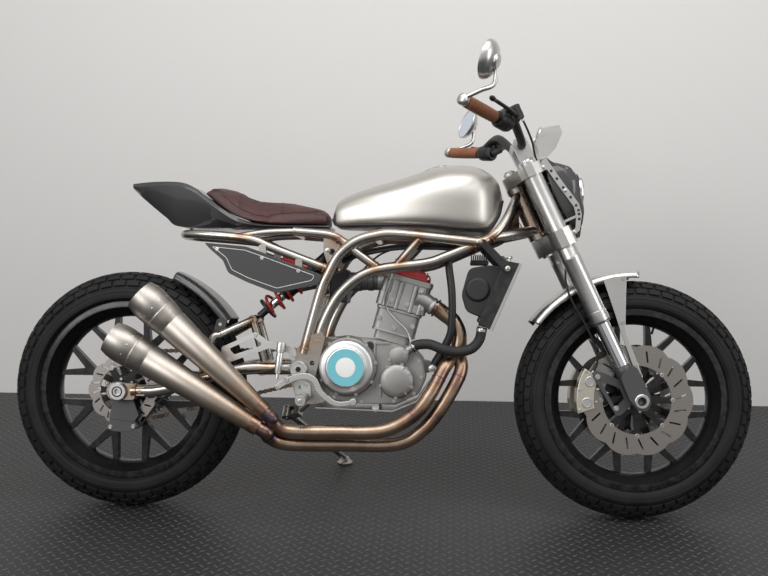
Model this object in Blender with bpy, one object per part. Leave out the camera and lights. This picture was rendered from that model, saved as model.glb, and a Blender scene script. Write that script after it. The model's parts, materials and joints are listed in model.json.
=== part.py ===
"""Flat track motorcycle with a single-cylinder engine, leaning on its side stand.

Metres, +X forward, +Y to the rider's left, +Z up. Every piece is modelled on the upright machine, whose
ground is at z = 0 under the wheels, and the empty "lean" tilts the whole machine onto its stand.
Pieces that turn with the fork are modelled in the fork's own frame: z runs up the steering axis, x is ahead
of it, and z = 0 is level with the front axle.
"""

import math

import bmesh
import bpy
from mathutils import Matrix, Vector

# Wheels and stance
WHEELBASE = 1.484
RIM_SEAT_RADIUS = 0.238
RIM_LIP = 0.024
RIM_DEPTH = 0.023
FRONT_TYRE_HEIGHT = 0.1055
REAR_TYRE_HEIGHT = 0.111
FRONT_TYRE_HALF_WIDTH = 0.067
REAR_TYRE_HALF_WIDTH = 0.074
FRONT_BEAD_RISE = 0.0145
REAR_BEAD_RISE = 0.013
FRONT_TYRE_RADIUS = RIM_SEAT_RADIUS + FRONT_TYRE_HEIGHT
REAR_TYRE_RADIUS = RIM_SEAT_RADIUS + REAR_TYRE_HEIGHT
RIM_FLANGE_RADIUS = RIM_SEAT_RADIUS + RIM_LIP
RIM_INNER_RADIUS = RIM_SEAT_RADIUS - RIM_DEPTH
FRONT_RIM_HALF_WIDTH = 0.054
REAR_RIM_HALF_WIDTH = 0.058
RIM_WALL = 0.008
WHEEL_STEPS = 28
HUB_STEPS = 12
CROWN_ANGLES = (-90, -63, -37, -10, 10, 37, 63, 90)
SPOKE_COUNT = 8
SPOKE_FORK_RADIUS = 0.129
SPOKE_WIDTH = 0.018
SPOKE_DEPTH = 0.026
LEAN = math.radians(10.0)
LEAN_PITCH = 0.000526
LEAN_SHIFT = 0.0478
ORIGIN_X = 0.7397
ORIGIN_Y = 0.2008
CLEARANCE = 0.0003
RUNNING_GAP = 0.006

# Steering
RAKE = math.radians(25.4)
STEER_REST = math.radians(3.0)
FORK_OFFSET = 0.047
LEG_AHEAD = 0.042
LEG_SPACING = 0.102
OUTER_TUBE_RADIUS = 0.0275
STANCHION_RADIUS = 0.0215
OUTER_TUBE_BOTTOM = 0.247
LEG_TOP = 0.752
FOOT_FRONT = 0.034
TOP_CLAMP_LOW = 0.702
TOP_CLAMP_HIGH = 0.736
BOTTOM_CLAMP_LOW = 0.482
BOTTOM_CLAMP_HIGH = 0.534
STEM_RADIUS = 0.0145
HEAD_TUBE_RADIUS = 0.030
AXLE_RADIUS = 0.0125
FRONT_AXLE_HALF = 0.132
DISC_RADIUS = 0.160
DISC_CENTRE_Y = 0.063
DISC_THICKNESS = 0.005
CALIPER_HALF_WIDTH = 0.0215
CALIPER_EAR = 0.009
PAD_GAP = 0.0052
BAR_RADIUS = 0.0125
GRIP_RADIUS = 0.0175
HOSE_RADIUS = 0.003
MIRROR_RADIUS = 0.0525
LAMP_PLACE = (0.118, 0, 0.628)
LAMP_RADIUS = 0.058
MASK_HALF_WIDTH = 0.098
MASK_WALL = 0.004
BAR_X = 0.057
BAR_Z = 0.802
GRIP_INNER = Vector((-0.012, 0.285, 0.872))
GRIP_OUTER = Vector((-0.084, 0.398, 0.928))
HEAD_LOW = BOTTOM_CLAMP_HIGH + 0.0015
HEAD_HIGH = TOP_CLAMP_LOW - 0.0015
HUB_FACE = DISC_CENTRE_Y - DISC_THICKNESS / 2 - CLEARANCE

# Frame
RAIL_RADIUS = 0.0155
STAY_RADIUS = 0.0125
RAIL_Y = 0.125
PANEL_Y = 0.1335
RADIATOR_HALF = 0.122
PIVOT_X = 0.525
PIVOT_Z = 0.422
PIVOT_RADIUS = 0.017
PIVOT_HALF = 0.150
SWING_ARM_Y = 0.118
SWING_ARM_RADIUS = 0.018
BRACE_RADIUS = 0.011
REAR_AXLE_HALF = 0.142
SHOCK_TOP = (0.600, 0.0, 0.762)
SHOCK_BOLT_RADIUS = 0.008
REAR_DISC_RADIUS = 0.105
REAR_DISC_Y = -0.078
REAR_HUB_FACE = abs(REAR_DISC_Y) - DISC_THICKNESS / 2 - CLEARANCE
CHAIN_Y = 0.0885
CHAIN_PITCH = 0.015875
REAR_TEETH = 42
DRIVE_TEETH = 15
CHAIN_HEIGHT = 0.014
CHAIN_WIDTH = 0.015
DRIVE_X = 0.607
DRIVE_Z = 0.432
DRIVE_RADIUS = CHAIN_PITCH * DRIVE_TEETH / (2 * math.pi) - CHAIN_HEIGHT / 2 - 0.0008

# Engine and exhaust
CLUTCH_X = 0.660
CLUTCH_Z = 0.430
CLUTCH_RADIUS = 0.078
CYLINDER_TILT = math.radians(15.0)
PUMP = Vector((0.807, -0.111, 0.464))
SPOUT_WAY = Vector((0.865, 0, 0.503)).normalized()
SPOUT_END = PUMP + SPOUT_WAY * 0.045
CASE_OUTLINE = [(0.572, 0.508), (0.560, 0.460), (0.575, 0.385), (0.615, 0.335), (0.700, 0.322), (0.800, 0.326),
                (0.862, 0.350), (0.884, 0.400), (0.876, 0.450), (0.842, 0.488), (0.740, 0.505), (0.640, 0.512)]
SILENCER_BIG_RADIUS = 0.0525
SILENCER_SMALL_RADIUS = 0.0235
SILENCER_WALL = 0.002
SILENCERS = (
    ((0.440, -0.200, 0.306), (0.088, -0.222, 0.630)),
    ((0.424, -0.205, 0.262), (0.008, -0.228, 0.510)),
)
HANGER_PLATE = 0.004
HANGER_BOSS = (0.316, 0.440)
HANGER_X = 0.903
HANGER_Z = 0.428
HANGER_RADIUS = 0.010
HEADER_RADIUS = 0.0225
PIPE_RADIUS = 0.0195

# Side stand
STAND_PIN_RADIUS = 0.0065
STAND_EYE_HALF = 0.011
STAND_EYE_RADIUS = 0.016
STAND_PIVOT = (0.450, 0.142, 0.268)
STAND_AXIS = Vector((0.04, 0.55, 0.83)).normalized()
STAND_FOOT = (0.604, 0.4152, 0.0724)
STAND_LEG_RADIUS = 0.009

# Rear hugger: the angles in degrees at which its strip starts and ends, and its gap to the tyre
HUGGER_START = 34
HUGGER_END = 68
HUGGER_GAP = 0.026

# The outlines of tank, seat and tail, as (x, height) and (x, half width) pairs.
TANK_TOP = [(0.606, 0.885), (0.626, 0.915), (0.689, 0.944), (0.803, 0.978), (0.861, 0.997), (0.922, 1.015),
            (0.975, 1.019), (1.023, 1.014), (1.064, 0.995), (1.090, 0.968), (1.102, 0.940)]
TANK_BOTTOM = [(0.606, 0.846), (0.626, 0.832), (0.700, 0.829), (0.860, 0.826), (0.985, 0.815),
               (1.050, 0.818), (1.070, 0.830), (1.090, 0.862), (1.102, 0.905)]
TANK_HALF = [(0.606, 0.062), (0.640, 0.080), (0.740, 0.112), (0.860, 0.134), (0.960, 0.137), (1.030, 0.122),
             (1.070, 0.092), (1.090, 0.062), (1.102, 0.034)]
SEAT_TOP = [(0.236, 0.936), (0.262, 0.946), (0.285, 0.940), (0.310, 0.922), (0.355, 0.900), (0.407, 0.888),
            (0.512, 0.886), (0.570, 0.886), (0.590, 0.874)]
COWL_TOP = [(0.008, 0.958), (0.087, 0.961), (0.167, 0.957), (0.209, 0.941), (0.236, 0.922), (0.300, 0.875),
            (0.353, 0.849), (0.432, 0.836), (0.600, 0.836)]
COWL_BOTTOM = [(0.008, 0.942), (0.061, 0.898), (0.115, 0.857), (0.158, 0.830), (0.300, 0.826),
               (0.600, 0.826)]
COWL_HALF = [(0.008, 0.050), (0.060, 0.074), (0.150, 0.104), (0.240, 0.114), (0.350, 0.110), (0.480, 0.098),
             (0.600, 0.080)]
SEAT_HALF = [(0.236, 0.098), (0.300, 0.112), (0.400, 0.112), (0.500, 0.098), (0.590, 0.074)]


def clear_scene():
    for item in list(bpy.data.objects):
        bpy.data.objects.remove(item, do_unlink=True)


def finish(name, colour, roughness, metallic):
    material = bpy.data.materials.new(name)
    material.use_nodes = True
    shader = material.node_tree.nodes["Principled BSDF"]
    shader.inputs["Base Color"].default_value = (*colour, 1.0)
    shader.inputs["Roughness"].default_value = roughness
    shader.inputs["Metallic"].default_value = metallic
    material.diffuse_color = (*colour, 1.0)
    return material


def turned(profile, steps, centre=(0, 0, 0)):
    """A profile of (y, radius) points turned about the Y axis through centre."""
    ring = all(radius > 1e-6 for _, radius in profile)
    verts = []
    rows = []
    for y, radius in profile:
        if radius < 1e-6:
            rows.append([len(verts)] * steps)
            verts.append((centre[0], centre[1] + y, centre[2]))
            continue
        row = []
        for step in range(steps):
            angle = 2 * math.pi * (step + 0.5) / steps
            row.append(len(verts))
            verts.append(
                (centre[0] + radius * math.cos(angle), centre[1] + y, centre[2] + radius * math.sin(angle))
            )
        rows.append(row)
    pairs = list(zip(rows, rows[1:]))
    if ring:
        pairs.append((rows[-1], rows[0]))
    faces = []
    for low, high in pairs:
        for step in range(steps):
            after = (step + 1) % steps
            corners = [low[step], low[after], high[after], high[step]]
            face = [corner for place, corner in enumerate(corners) if corner not in corners[:place]]
            if len(face) > 2:
                faces.append(face)
    return verts, faces


def tube(points, radius, sides=8, turn=0.0):
    """A round bar along points. The radius is one number, or one for each point."""
    points = [Vector(point) for point in points]
    radii = radius if isinstance(radius, (list, tuple)) else [radius] * len(points)
    directions = []
    for place in range(len(points)):
        before = points[max(place - 1, 0)]
        after = points[min(place + 1, len(points) - 1)]
        directions.append((after - before).normalized())
    side = directions[0].orthogonal().normalized()
    verts = []
    for place, point in enumerate(points):
        if place:
            bend = directions[place - 1].rotation_difference(directions[place])
            side = bend @ side
        other = directions[place].cross(side)
        for step in range(sides):
            angle = turn + 2 * math.pi * step / sides
            verts.append(tuple(point + radii[place] * (side * math.cos(angle) + other * math.sin(angle))))
    faces = [list(range(sides))[::-1]]
    for place in range(len(points) - 1):
        for step in range(sides):
            after = (step + 1) % sides
            low = place * sides
            high = low + sides
            faces.append([low + step, low + after, high + after, high + step])
    faces.append([(len(points) - 1) * sides + step for step in range(sides)])
    return verts, faces


def curve_through(points, pieces=4):
    """More points on a smooth curve through the given ones."""
    points = [Vector(point) for point in points]
    ends = [2 * points[0] - points[1]] + points + [2 * points[-1] - points[-2]]
    smooth = []
    for place in range(len(points) - 1):
        a, b, c, d = ends[place : place + 4]
        for step in range(pieces):
            t = step / pieces
            bend = 2 * a - 5 * b + 4 * c - d
            twist = 3 * b - a - 3 * c + d
            smooth.append(0.5 * (2 * b + (c - a) * t + bend * t**2 + twist * t**3))
    smooth.append(points[-1])
    return smooth


def plate(outline, low, high, axis="Y"):
    """An outline in (x, z), extruded along Y between low and high, or in (x, y) along Z."""
    count = len(outline)
    if axis == "Y":
        verts = [(a, level, b) for level in (low, high) for a, b in outline]
    elif axis == "Z":
        verts = [(a, b, level) for level in (low, high) for a, b in outline]
    else:
        verts = [(level, a, b) for level in (low, high) for a, b in outline]
    faces = [list(range(count)), list(range(2 * count - 1, count - 1, -1))]
    for step in range(count):
        after = (step + 1) % count
        faces.append([step, after, count + after, count + step])
    return verts, faces


def skin(sections):
    """A closed surface through equal loops of points, capped at both ends."""
    count = len(sections[0])
    verts = [tuple(point) for section in sections for point in section]
    faces = [list(range(count))[::-1]]
    for place in range(len(sections) - 1):
        for step in range(count):
            after = (step + 1) % count
            low = place * count
            high = low + count
            faces.append([low + step, low + after, high + after, high + step])
    faces.append([(len(sections) - 1) * count + step for step in range(count)])
    return verts, faces


def box(x, y, z, bevel=0.0):
    """A block between the pairs of limits, its edges rounded off by bevel."""
    mesh = bmesh.new()
    bmesh.ops.create_cube(mesh, size=1.0)
    size = Vector((x[1] - x[0], y[1] - y[0], z[1] - z[0]))
    middle = Vector(((x[0] + x[1]) / 2, (y[0] + y[1]) / 2, (z[0] + z[1]) / 2))
    for vert in mesh.verts:
        vert.co = Vector(a * b for a, b in zip(vert.co, size)) + middle
    if bevel:
        bmesh.ops.bevel(mesh, geom=mesh.edges[:], offset=bevel, segments=1, affect="EDGES")
    mesh.verts.index_update()
    verts = [tuple(vert.co) for vert in mesh.verts]
    faces = [[vert.index for vert in face.verts] for face in mesh.faces]
    mesh.free()
    return verts, faces


def hole(low, high, radius, steps, centre=(0, 0, 0)):
    """A cutter for a round hole along Y whose flats clear a pin of this radius, also when the pin turns."""
    reach = (radius + CLEARANCE) / math.cos(math.pi / steps)
    return turned([(low, 0), (low, reach), (high, reach), (high, 0)], steps, centre)


def moved(form, matrix):
    verts, faces = form
    return [tuple(matrix @ Vector(vert)) for vert in verts], faces


def across(form):
    """The mirror image on the machine's other side."""
    verts, faces = form
    return [(x, -y, z) for x, y, z in verts], [face[::-1] for face in faces]


def both(form):
    return [form, across(form)]


def arc(centre, radius, start, end, steps):
    """Points on an arc in a plane, with the angles in degrees."""
    points = []
    for step in range(steps + 1):
        angle = math.radians(start + (end - start) * step / steps)
        points.append((centre[0] + radius * math.cos(angle), centre[1] + radius * math.sin(angle)))
    return points


def along(table, x):
    """Reads a value at x between the table's (x, value) pairs, with a soft step at each."""
    for (x0, v0), (x1, v1) in zip(table, table[1:]):
        if x <= x1:
            t = max(0.0, (x - x0) / (x1 - x0))
            return v0 + (v1 - v0) * t
    return table[-1][1]


def mesh_object(name, form, material):
    mesh = bpy.data.meshes.new(name)
    mesh.from_pydata(form[0], [], form[1])
    work = bmesh.new()
    work.from_mesh(mesh)
    bmesh.ops.recalc_face_normals(work, faces=work.faces[:])
    work.to_mesh(mesh)
    work.free()
    mesh.shade_smooth()
    mesh.set_sharp_from_angle(angle=math.radians(35))
    item = bpy.data.objects.new(name, mesh)
    mesh.materials.append(material)
    bpy.context.scene.collection.objects.link(item)
    return item


def combine(item, forms, operation):
    """Joins forms to the object, or cuts them out of it, and keeps the result as its mesh."""
    helpers = []
    for form in forms:
        helper = mesh_object("helper", form, item.data.materials[0])
        helpers.append(helper)
        change = item.modifiers.new(operation.lower(), "BOOLEAN")
        change.operation = operation
        change.object = helper
        change.solver = "EXACT"
    graph = bpy.context.evaluated_depsgraph_get()
    mesh = bpy.data.meshes.new_from_object(item.evaluated_get(graph))
    item.modifiers.clear()
    item.data = mesh
    for helper in helpers:
        bpy.data.objects.remove(helper, do_unlink=True)
    mesh.shade_smooth()
    mesh.set_sharp_from_angle(angle=math.radians(35))


def piece(name, body, material, forms, cuts=()):
    """One sub-part: its forms joined, its cuts taken out, riding on the empty of its body."""
    item = mesh_object(name, forms[0], material)
    if len(forms) > 1:
        combine(item, forms[1:], "UNION")
    if cuts:
        combine(item, cuts, "DIFFERENCE")
    item.parent = body
    return item


def empty(name, parent, location, rotation=(0, 0, 0)):
    item = bpy.data.objects.new(name, None)
    item.empty_display_size = 0.05
    item.parent = parent
    item.location = location
    item.rotation_euler = rotation
    bpy.context.scene.collection.objects.link(item)
    return item


def fork_to_machine():
    """The matrix from the fork's frame to the upright machine's, wheels straight ahead."""
    foot = Vector((WHEELBASE, 0, FRONT_TYRE_RADIUS))
    ahead = Vector((math.cos(RAKE), 0, math.sin(RAKE)))
    return Matrix.Translation(foot - FORK_OFFSET * ahead) @ Matrix.Rotation(-RAKE, 4, "Y")


clear_scene()

TYRE = finish("tyre rubber", (0.035, 0.036, 0.038), 0.75, 0.0)
BLACK = finish("gloss black", (0.015, 0.015, 0.016), 0.25, 0.0)
SATIN_BLACK = finish("satin black", (0.03, 0.03, 0.032), 0.5, 0.0)
STEEL = finish("bare steel", (0.45, 0.43, 0.40), 0.35, 1.0)
ALUMINIUM = finish("polished aluminium", (0.75, 0.75, 0.74), 0.25, 1.0)
CAST = finish("cast aluminium", (0.42, 0.42, 0.41), 0.5, 0.9)
CHROME = finish("chrome", (0.8, 0.8, 0.82), 0.08, 1.0)
TANK_METAL = finish("brushed tank", (0.60, 0.59, 0.55), 0.35, 1.0)
LEATHER = finish("oxblood leather", (0.12, 0.03, 0.03), 0.55, 0.0)
TAN = finish("tan leather", (0.55, 0.20, 0.06), 0.6, 0.0)
CARBON = finish("carbon", (0.03, 0.03, 0.032), 0.3, 0.2)
RED = finish("red lacquer", (0.55, 0.02, 0.02), 0.35, 0.1)
TITANIUM = finish("brushed titanium", (0.55, 0.50, 0.44), 0.35, 1.0)
DISC_STEEL = finish("disc steel", (0.55, 0.53, 0.50), 0.3, 1.0)
RUBBER = finish("rubber", (0.02, 0.02, 0.02), 0.7, 0.0)

lean = empty("lean", None, (-ORIGIN_X, -ORIGIN_Y, 0))
rear_height = (REAR_TYRE_RADIUS - REAR_TYRE_HALF_WIDTH) * math.cos(LEAN) + REAR_TYRE_HALF_WIDTH
upright = Matrix.Translation((0, LEAN_SHIFT, rear_height)) @ Matrix.Rotation(-LEAN, 4, "X")
upright = upright @ Matrix.Translation((0, 0, -REAR_TYRE_RADIUS))
frame_body = empty("machine", lean, upright.to_translation(), (-LEAN, LEAN_PITCH, 0))
rear_wheel = empty("rear_wheel", frame_body, (0, 0, REAR_TYRE_RADIUS))
fork_place = fork_to_machine()
steering = empty("steering", frame_body, fork_place.to_translation(), (0, -RAKE, 0))
turned_fork = empty("turned_fork", steering, (0, 0, 0), (0, 0, STEER_REST))
fork_turn = Matrix.Rotation(LEAN_PITCH, 4, "Y") @ Matrix.Rotation(-LEAN, 4, "X")
fork_turn = fork_turn @ Matrix.Rotation(-RAKE, 4, "Y") @ Matrix.Rotation(STEER_REST, 4, "Z")
down = fork_turn.inverted() @ Vector((0, 0, -1))
front_wheel = empty("front_wheel", turned_fork, (FORK_OFFSET, 0, 0), (0, math.atan2(-down.x, -down.z), 0))


def tyre_profile(radius, half_width, rim_half_width, bead_rise):
    """The crown is an arch as high as the tyre stands over its bead, and the walls run down to the rim's lip."""
    seat = RIM_SEAT_RADIUS + CLEARANCE
    inside = rim_half_width - RIM_WALL - CLEARANCE
    arch = radius - RIM_FLANGE_RADIUS - bead_rise
    crown = []
    for angle in CROWN_ANGLES:
        reach = radius - arch * (1 - math.cos(math.radians(angle)))
        crown.append((half_width * math.sin(math.radians(angle)), reach / math.cos(math.pi / WHEEL_STEPS)))
    lower = [(rim_half_width + 0.004, RIM_FLANGE_RADIUS + 0.001), (inside, RIM_FLANGE_RADIUS + CLEARANCE)]
    return [(-y, r) for y, r in reversed([*lower, (inside, seat)])] + crown + [*lower, (inside, seat)]


def rim_profile(half_width):
    inside = half_width - RIM_WALL
    return [
        (-half_width, RIM_FLANGE_RADIUS),
        (-inside, RIM_FLANGE_RADIUS),
        (-inside, RIM_SEAT_RADIUS),
        (inside, RIM_SEAT_RADIUS),
        (inside, RIM_FLANGE_RADIUS),
        (half_width, RIM_FLANGE_RADIUS),
        (half_width, RIM_SEAT_RADIUS + 0.005),
        (0.030, RIM_INNER_RADIUS + 0.008),
        (0.0, RIM_INNER_RADIUS),
        (-0.030, RIM_INNER_RADIUS + 0.008),
        (-half_width, RIM_SEAT_RADIUS + 0.005),
    ]


def spoke(angle, hub_radius):
    """One Y-shaped spoke: a stem that splits into two arms on the way to the rim."""
    reach = RIM_INNER_RADIUS + 0.006
    split = math.radians(360 / SPOKE_COUNT / 4)
    half = SPOKE_WIDTH / 2
    arm = half * 0.8
    tips = []
    for side in (1, -1):
        middle = Vector((math.cos(side * split), math.sin(side * split))) * reach
        along_arm = (middle - Vector((SPOKE_FORK_RADIUS, 0))).normalized()
        square = Vector((-along_arm.y, along_arm.x))
        tips.append((middle + square * arm, middle - square * arm))
    stem = hub_radius - 0.014
    outline = [
        (stem, -half * 1.2),
        (SPOKE_FORK_RADIUS - 0.012, -half),
        tuple(tips[1][1]),
        tuple(tips[1][0]),
        (SPOKE_FORK_RADIUS + 0.022, 0),
        tuple(tips[0][1]),
        tuple(tips[0][0]),
        (SPOKE_FORK_RADIUS - 0.012, half),
        (stem, half * 1.2),
    ]
    turn = Matrix.Rotation(angle, 4, "Y")
    return moved(plate(outline, -SPOKE_DEPTH / 2, SPOKE_DEPTH / 2), turn)


def hub_profile(half_width, flange_radius, stub_half):
    bore = (AXLE_RADIUS + CLEARANCE) / math.cos(math.pi / HUB_STEPS)
    return [
        (-stub_half, bore),
        (stub_half, bore),
        (stub_half, 0.020),
        (half_width, 0.020),
        (half_width, flange_radius),
        (half_width - 0.024, flange_radius - 0.010),
        (-half_width + 0.024, flange_radius - 0.010),
        (-half_width, flange_radius),
        (-half_width, 0.020),
        (-stub_half, 0.020),
    ]


def wheel(name, body, half_width, hub):
    spokes = [spoke(2 * math.pi * (number + 0.5) / SPOKE_COUNT, 0.045) for number in range(SPOKE_COUNT)]
    piece(name, body, BLACK, [turned(rim_profile(half_width), WHEEL_STEPS), turned(hub, HUB_STEPS),
                              *spokes])


def wavy_disc(radius, low, high, inner, waves):
    """A brake disc whose edge swells and dips, as a plate in (x, z)."""
    steps = waves * 4
    outline = []
    for step in range(steps):
        angle = 2 * math.pi * step / steps
        edge = radius - 0.004 * (1 + math.cos(waves * angle))
        outline.append((edge * math.cos(angle), edge * math.sin(angle)))
    middle = [(low - 0.01, 0), (low - 0.01, inner), (high + 0.01, inner), (high + 0.01, 0)]
    return plate(outline, low, high), turned(middle, 20)


def brake_disc(name, body, centre_y, radius, inner, carrier_arms):
    """A floating disc with the carrier that bolts it to the hub's face."""
    low = centre_y - DISC_THICKNESS / 2
    high = centre_y + DISC_THICKNESS / 2
    disc, middle = wavy_disc(radius, low, high, inner, 10)
    ring = turned([(low, 0.0215), (high, 0.0215), (high, 0.040), (low, 0.040)], 14)
    item = mesh_object(name, disc, DISC_STEEL)
    combine(item, [middle], "DIFFERENCE")
    arms = []
    for number in range(carrier_arms):
        angle = 2 * math.pi * number / carrier_arms
        bar = box((0.030, inner + 0.006), (low + 0.001, high - 0.001), (-0.007, 0.007))
        arms.append(moved(bar, Matrix.Rotation(angle, 4, "Y")))
    combine(item, [ring, *arms], "UNION")
    item.parent = body


piece("front_tyre", front_wheel, TYRE, [
    turned(tyre_profile(FRONT_TYRE_RADIUS, FRONT_TYRE_HALF_WIDTH, FRONT_RIM_HALF_WIDTH, FRONT_BEAD_RISE),
           WHEEL_STEPS)])
piece("rear_tyre", rear_wheel, TYRE, [
    turned(tyre_profile(REAR_TYRE_RADIUS, REAR_TYRE_HALF_WIDTH, REAR_RIM_HALF_WIDTH, REAR_BEAD_RISE),
           WHEEL_STEPS)])
wheel("front_rim", front_wheel, FRONT_RIM_HALF_WIDTH, hub_profile(HUB_FACE, 0.045, 0.0715))
wheel("rear_rim", rear_wheel, REAR_RIM_HALF_WIDTH, hub_profile(REAR_HUB_FACE, 0.045, 0.1005))
brake_disc("front_disc_right", front_wheel, -DISC_CENTRE_Y, DISC_RADIUS, 0.098, 8)
brake_disc("front_disc_left", front_wheel, DISC_CENTRE_Y, DISC_RADIUS, 0.098, 8)
brake_disc("rear_disc", rear_wheel, REAR_DISC_Y, REAR_DISC_RADIUS, 0.070, 6)


def fork_leg(name, side):
    """An upside-down leg: fat tube above, chrome stanchion below, and a forged foot round the axle."""
    y = side * LEG_SPACING
    x = LEG_AHEAD
    profile = [
        (-0.012, 0.0),
        (-0.012, 0.016),
        (0.020, 0.023),
        (0.100, 0.024),
        (0.112, STANCHION_RADIUS),
        (OUTER_TUBE_BOTTOM - 0.004, STANCHION_RADIUS),
        (OUTER_TUBE_BOTTOM - 0.002, OUTER_TUBE_RADIUS - 0.001),
        (OUTER_TUBE_BOTTOM + 0.030, OUTER_TUBE_RADIUS + 0.001),
        (OUTER_TUBE_BOTTOM + 0.034, OUTER_TUBE_RADIUS - 0.001),
        (BOTTOM_CLAMP_LOW - 0.030, OUTER_TUBE_RADIUS),
        (LEG_TOP - 0.006, OUTER_TUBE_RADIUS),
        (LEG_TOP - 0.004, OUTER_TUBE_RADIUS - 0.006),
        (LEG_TOP, OUTER_TUBE_RADIUS - 0.007),
        (LEG_TOP, 0.0),
    ]
    upright_leg = Matrix.Translation((x, y, 0)) @ Matrix.Rotation(math.radians(90), 4, "X")
    leg = moved(turned(profile, 14), upright_leg)
    foot = [(x - 0.020, 0.085), (x - 0.024, 0.020), (x - 0.016, -0.020), (x + 0.006, -0.030),
            (x + 0.026, -0.018), (x + FOOT_FRONT, 0.010), (x + FOOT_FRONT, 0.090), (x + 0.020, 0.104)]
    inner = y - side * 0.0290
    outer = y + side * 0.0240
    lug = plate(foot, min(inner, outer), max(inner, outer))
    lug_x = x - 0.020
    bolt_plate = [(lug_x - 0.058, 0.128), (lug_x - 0.064, 0.116), (lug_x - 0.052, -0.012),
                  (lug_x - 0.040, -0.016),
                  (lug_x + 0.006, 0.000), (lug_x + 0.006, 0.070), (lug_x - 0.044, 0.124)]
    near = side * (DISC_CENTRE_Y + CALIPER_HALF_WIDTH + CLEARANCE)
    far = near + side * CALIPER_EAR
    caliper_ear = plate(bolt_plate, min(near, far), max(near, far))
    bore = hole(-0.2, 0.2, AXLE_RADIUS, 14, (FORK_OFFSET, 0, 0))
    piece(name, turned_fork, CHROME, [leg, lug, caliper_ear], [bore])


def leg_hole(side, extra=CLEARANCE):
    matrix = Matrix.Translation((LEG_AHEAD, side * LEG_SPACING, 0)) @ Matrix.Rotation(math.radians(90), 4,
        "X")
    radius = OUTER_TUBE_RADIUS + extra
    return moved(turned([(0.30, 0), (0.30, radius), (0.90, radius), (0.90, 0)], 14), matrix)


def clamp_outline(reach, waist):
    """Half of a yoke seen from above, mirrored across the machine's middle."""
    x = LEG_AHEAD
    right = [(-0.027, -0.016), (-0.012, -0.050), (x - reach, -LEG_SPACING)]
    right += [(a, b) for a, b in arc((x, -LEG_SPACING), reach, 205, 355, 4)]
    right += [(x + waist, -LEG_SPACING + 0.050), (x + waist - 0.006, -0.030)]
    return right + [(a, -b) for a, b in reversed(right)]


def yokes():
    top = plate(clamp_outline(0.036, 0.020), TOP_CLAMP_LOW, TOP_CLAMP_HIGH, "Z")
    bottom = plate(clamp_outline(0.037, 0.018), BOTTOM_CLAMP_LOW, BOTTOM_CLAMP_HIGH, "Z")
    upright_stem = Matrix.Rotation(math.radians(90), 4, "X")
    stem = moved(turned([(BOTTOM_CLAMP_LOW - 0.006, 0), (BOTTOM_CLAMP_LOW - 0.006, STEM_RADIUS),
                         (TOP_CLAMP_HIGH + 0.004, STEM_RADIUS), (TOP_CLAMP_HIGH + 0.004, 0.018),
                         (TOP_CLAMP_HIGH + 0.012, 0.018), (TOP_CLAMP_HIGH + 0.012, 0)], 12), upright_stem)
    risers = []
    for side in (1, -1):
        y = side * 0.048
        riser = [(BAR_X - 0.020, TOP_CLAMP_HIGH - 0.004), (BAR_X + 0.022, TOP_CLAMP_HIGH - 0.004),
                 (BAR_X + 0.022, BAR_Z + 0.014), (BAR_X + 0.012, BAR_Z + 0.022), (BAR_X - 0.012,
                     BAR_Z + 0.022),
                 (BAR_X - 0.022, BAR_Z + 0.010)]
        risers.append(plate(riser, y - 0.012, y + 0.012))
    pod = [(LEG_AHEAD + 0.010, TOP_CLAMP_HIGH - 0.006), (0.100, TOP_CLAMP_HIGH),
           (0.150, TOP_CLAMP_HIGH + 0.020),
           (0.186, TOP_CLAMP_HIGH + 0.052), (0.187, TOP_CLAMP_HIGH + 0.076), (0.138,
               TOP_CLAMP_HIGH + 0.090),
           (0.102, TOP_CLAMP_HIGH + 0.058), (0.098, TOP_CLAMP_HIGH + 0.020)]
    instrument = plate(pod, -0.036, 0.036)
    piece("fork_yokes", turned_fork, ALUMINIUM, [top, bottom, stem, *risers, instrument],
          [leg_hole(1), leg_hole(-1), bar_form(CLEARANCE)])


def bar_points(side):
    half = [
        (BAR_X, 0.0, BAR_Z),
        (BAR_X, 0.075, BAR_Z),
        (BAR_X - 0.002, 0.110, BAR_Z + 0.020),
        (BAR_X - 0.010, 0.175, BAR_Z + 0.072),
        (BAR_X - 0.024, 0.225, BAR_Z + 0.082),
        tuple(GRIP_INNER),
        tuple(GRIP_INNER.lerp(GRIP_OUTER, 0.3)),
        tuple(GRIP_OUTER),
    ]
    return [(x, side * y, z) for x, y, z in half]


def bar_form(extra=0.0):
    """The handlebar's tube, or with extra the hole that it passes through with that much room."""
    points = [*reversed(bar_points(-1)), *bar_points(1)[1:]]
    return tube(curve_through(points, 2), BAR_RADIUS + extra, 8)


def on_grip(side, share):
    point = GRIP_INNER.lerp(GRIP_OUTER, share)
    return Vector((point.x, side * point.y, point.z))


def grip(name, side):
    """A leather-wrapped grip round the last stretch of the bar."""
    ends = [on_grip(side, 0.06), on_grip(side, 0.5), on_grip(side, 0.995)]
    piece(name, turned_fork, TAN, [tube(ends, GRIP_RADIUS, 12)], [bar_form(3 * CLEARANCE)])


def mirror(name, side):
    """A round mirror on an arm that grows out of the ball at the bar's end."""
    end = on_grip(side, 1.0)
    outward = (on_grip(side, 1.0) - on_grip(side, 0.0)).normalized()
    ball = tube([end + outward * 0.0008, end + outward * 0.004, end + outward * 0.016,
                 end + outward * 0.024],
                [0.012, 0.0165, 0.0165, 0.008], 12)
    base = end + outward * 0.016
    elbow = base + Vector((0.090, side * 0.006, 0.0))
    top = elbow + Vector((0.026, side * 0.004, 0.046))
    arm = tube(curve_through([base, base + Vector((0.050, side * 0.012, -0.002)), elbow, top], 2), 0.006, 6)
    facing = Vector((-0.62, side * 0.12, 0.77)).normalized()
    back = top + facing * 0.016
    glass = tube([back - facing * 0.020, back, back + facing * 0.010],
                 [0.010, MIRROR_RADIUS - 0.008, MIRROR_RADIUS], 16)
    piece(name, turned_fork, ALUMINIUM, [ball, arm, glass])


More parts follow.
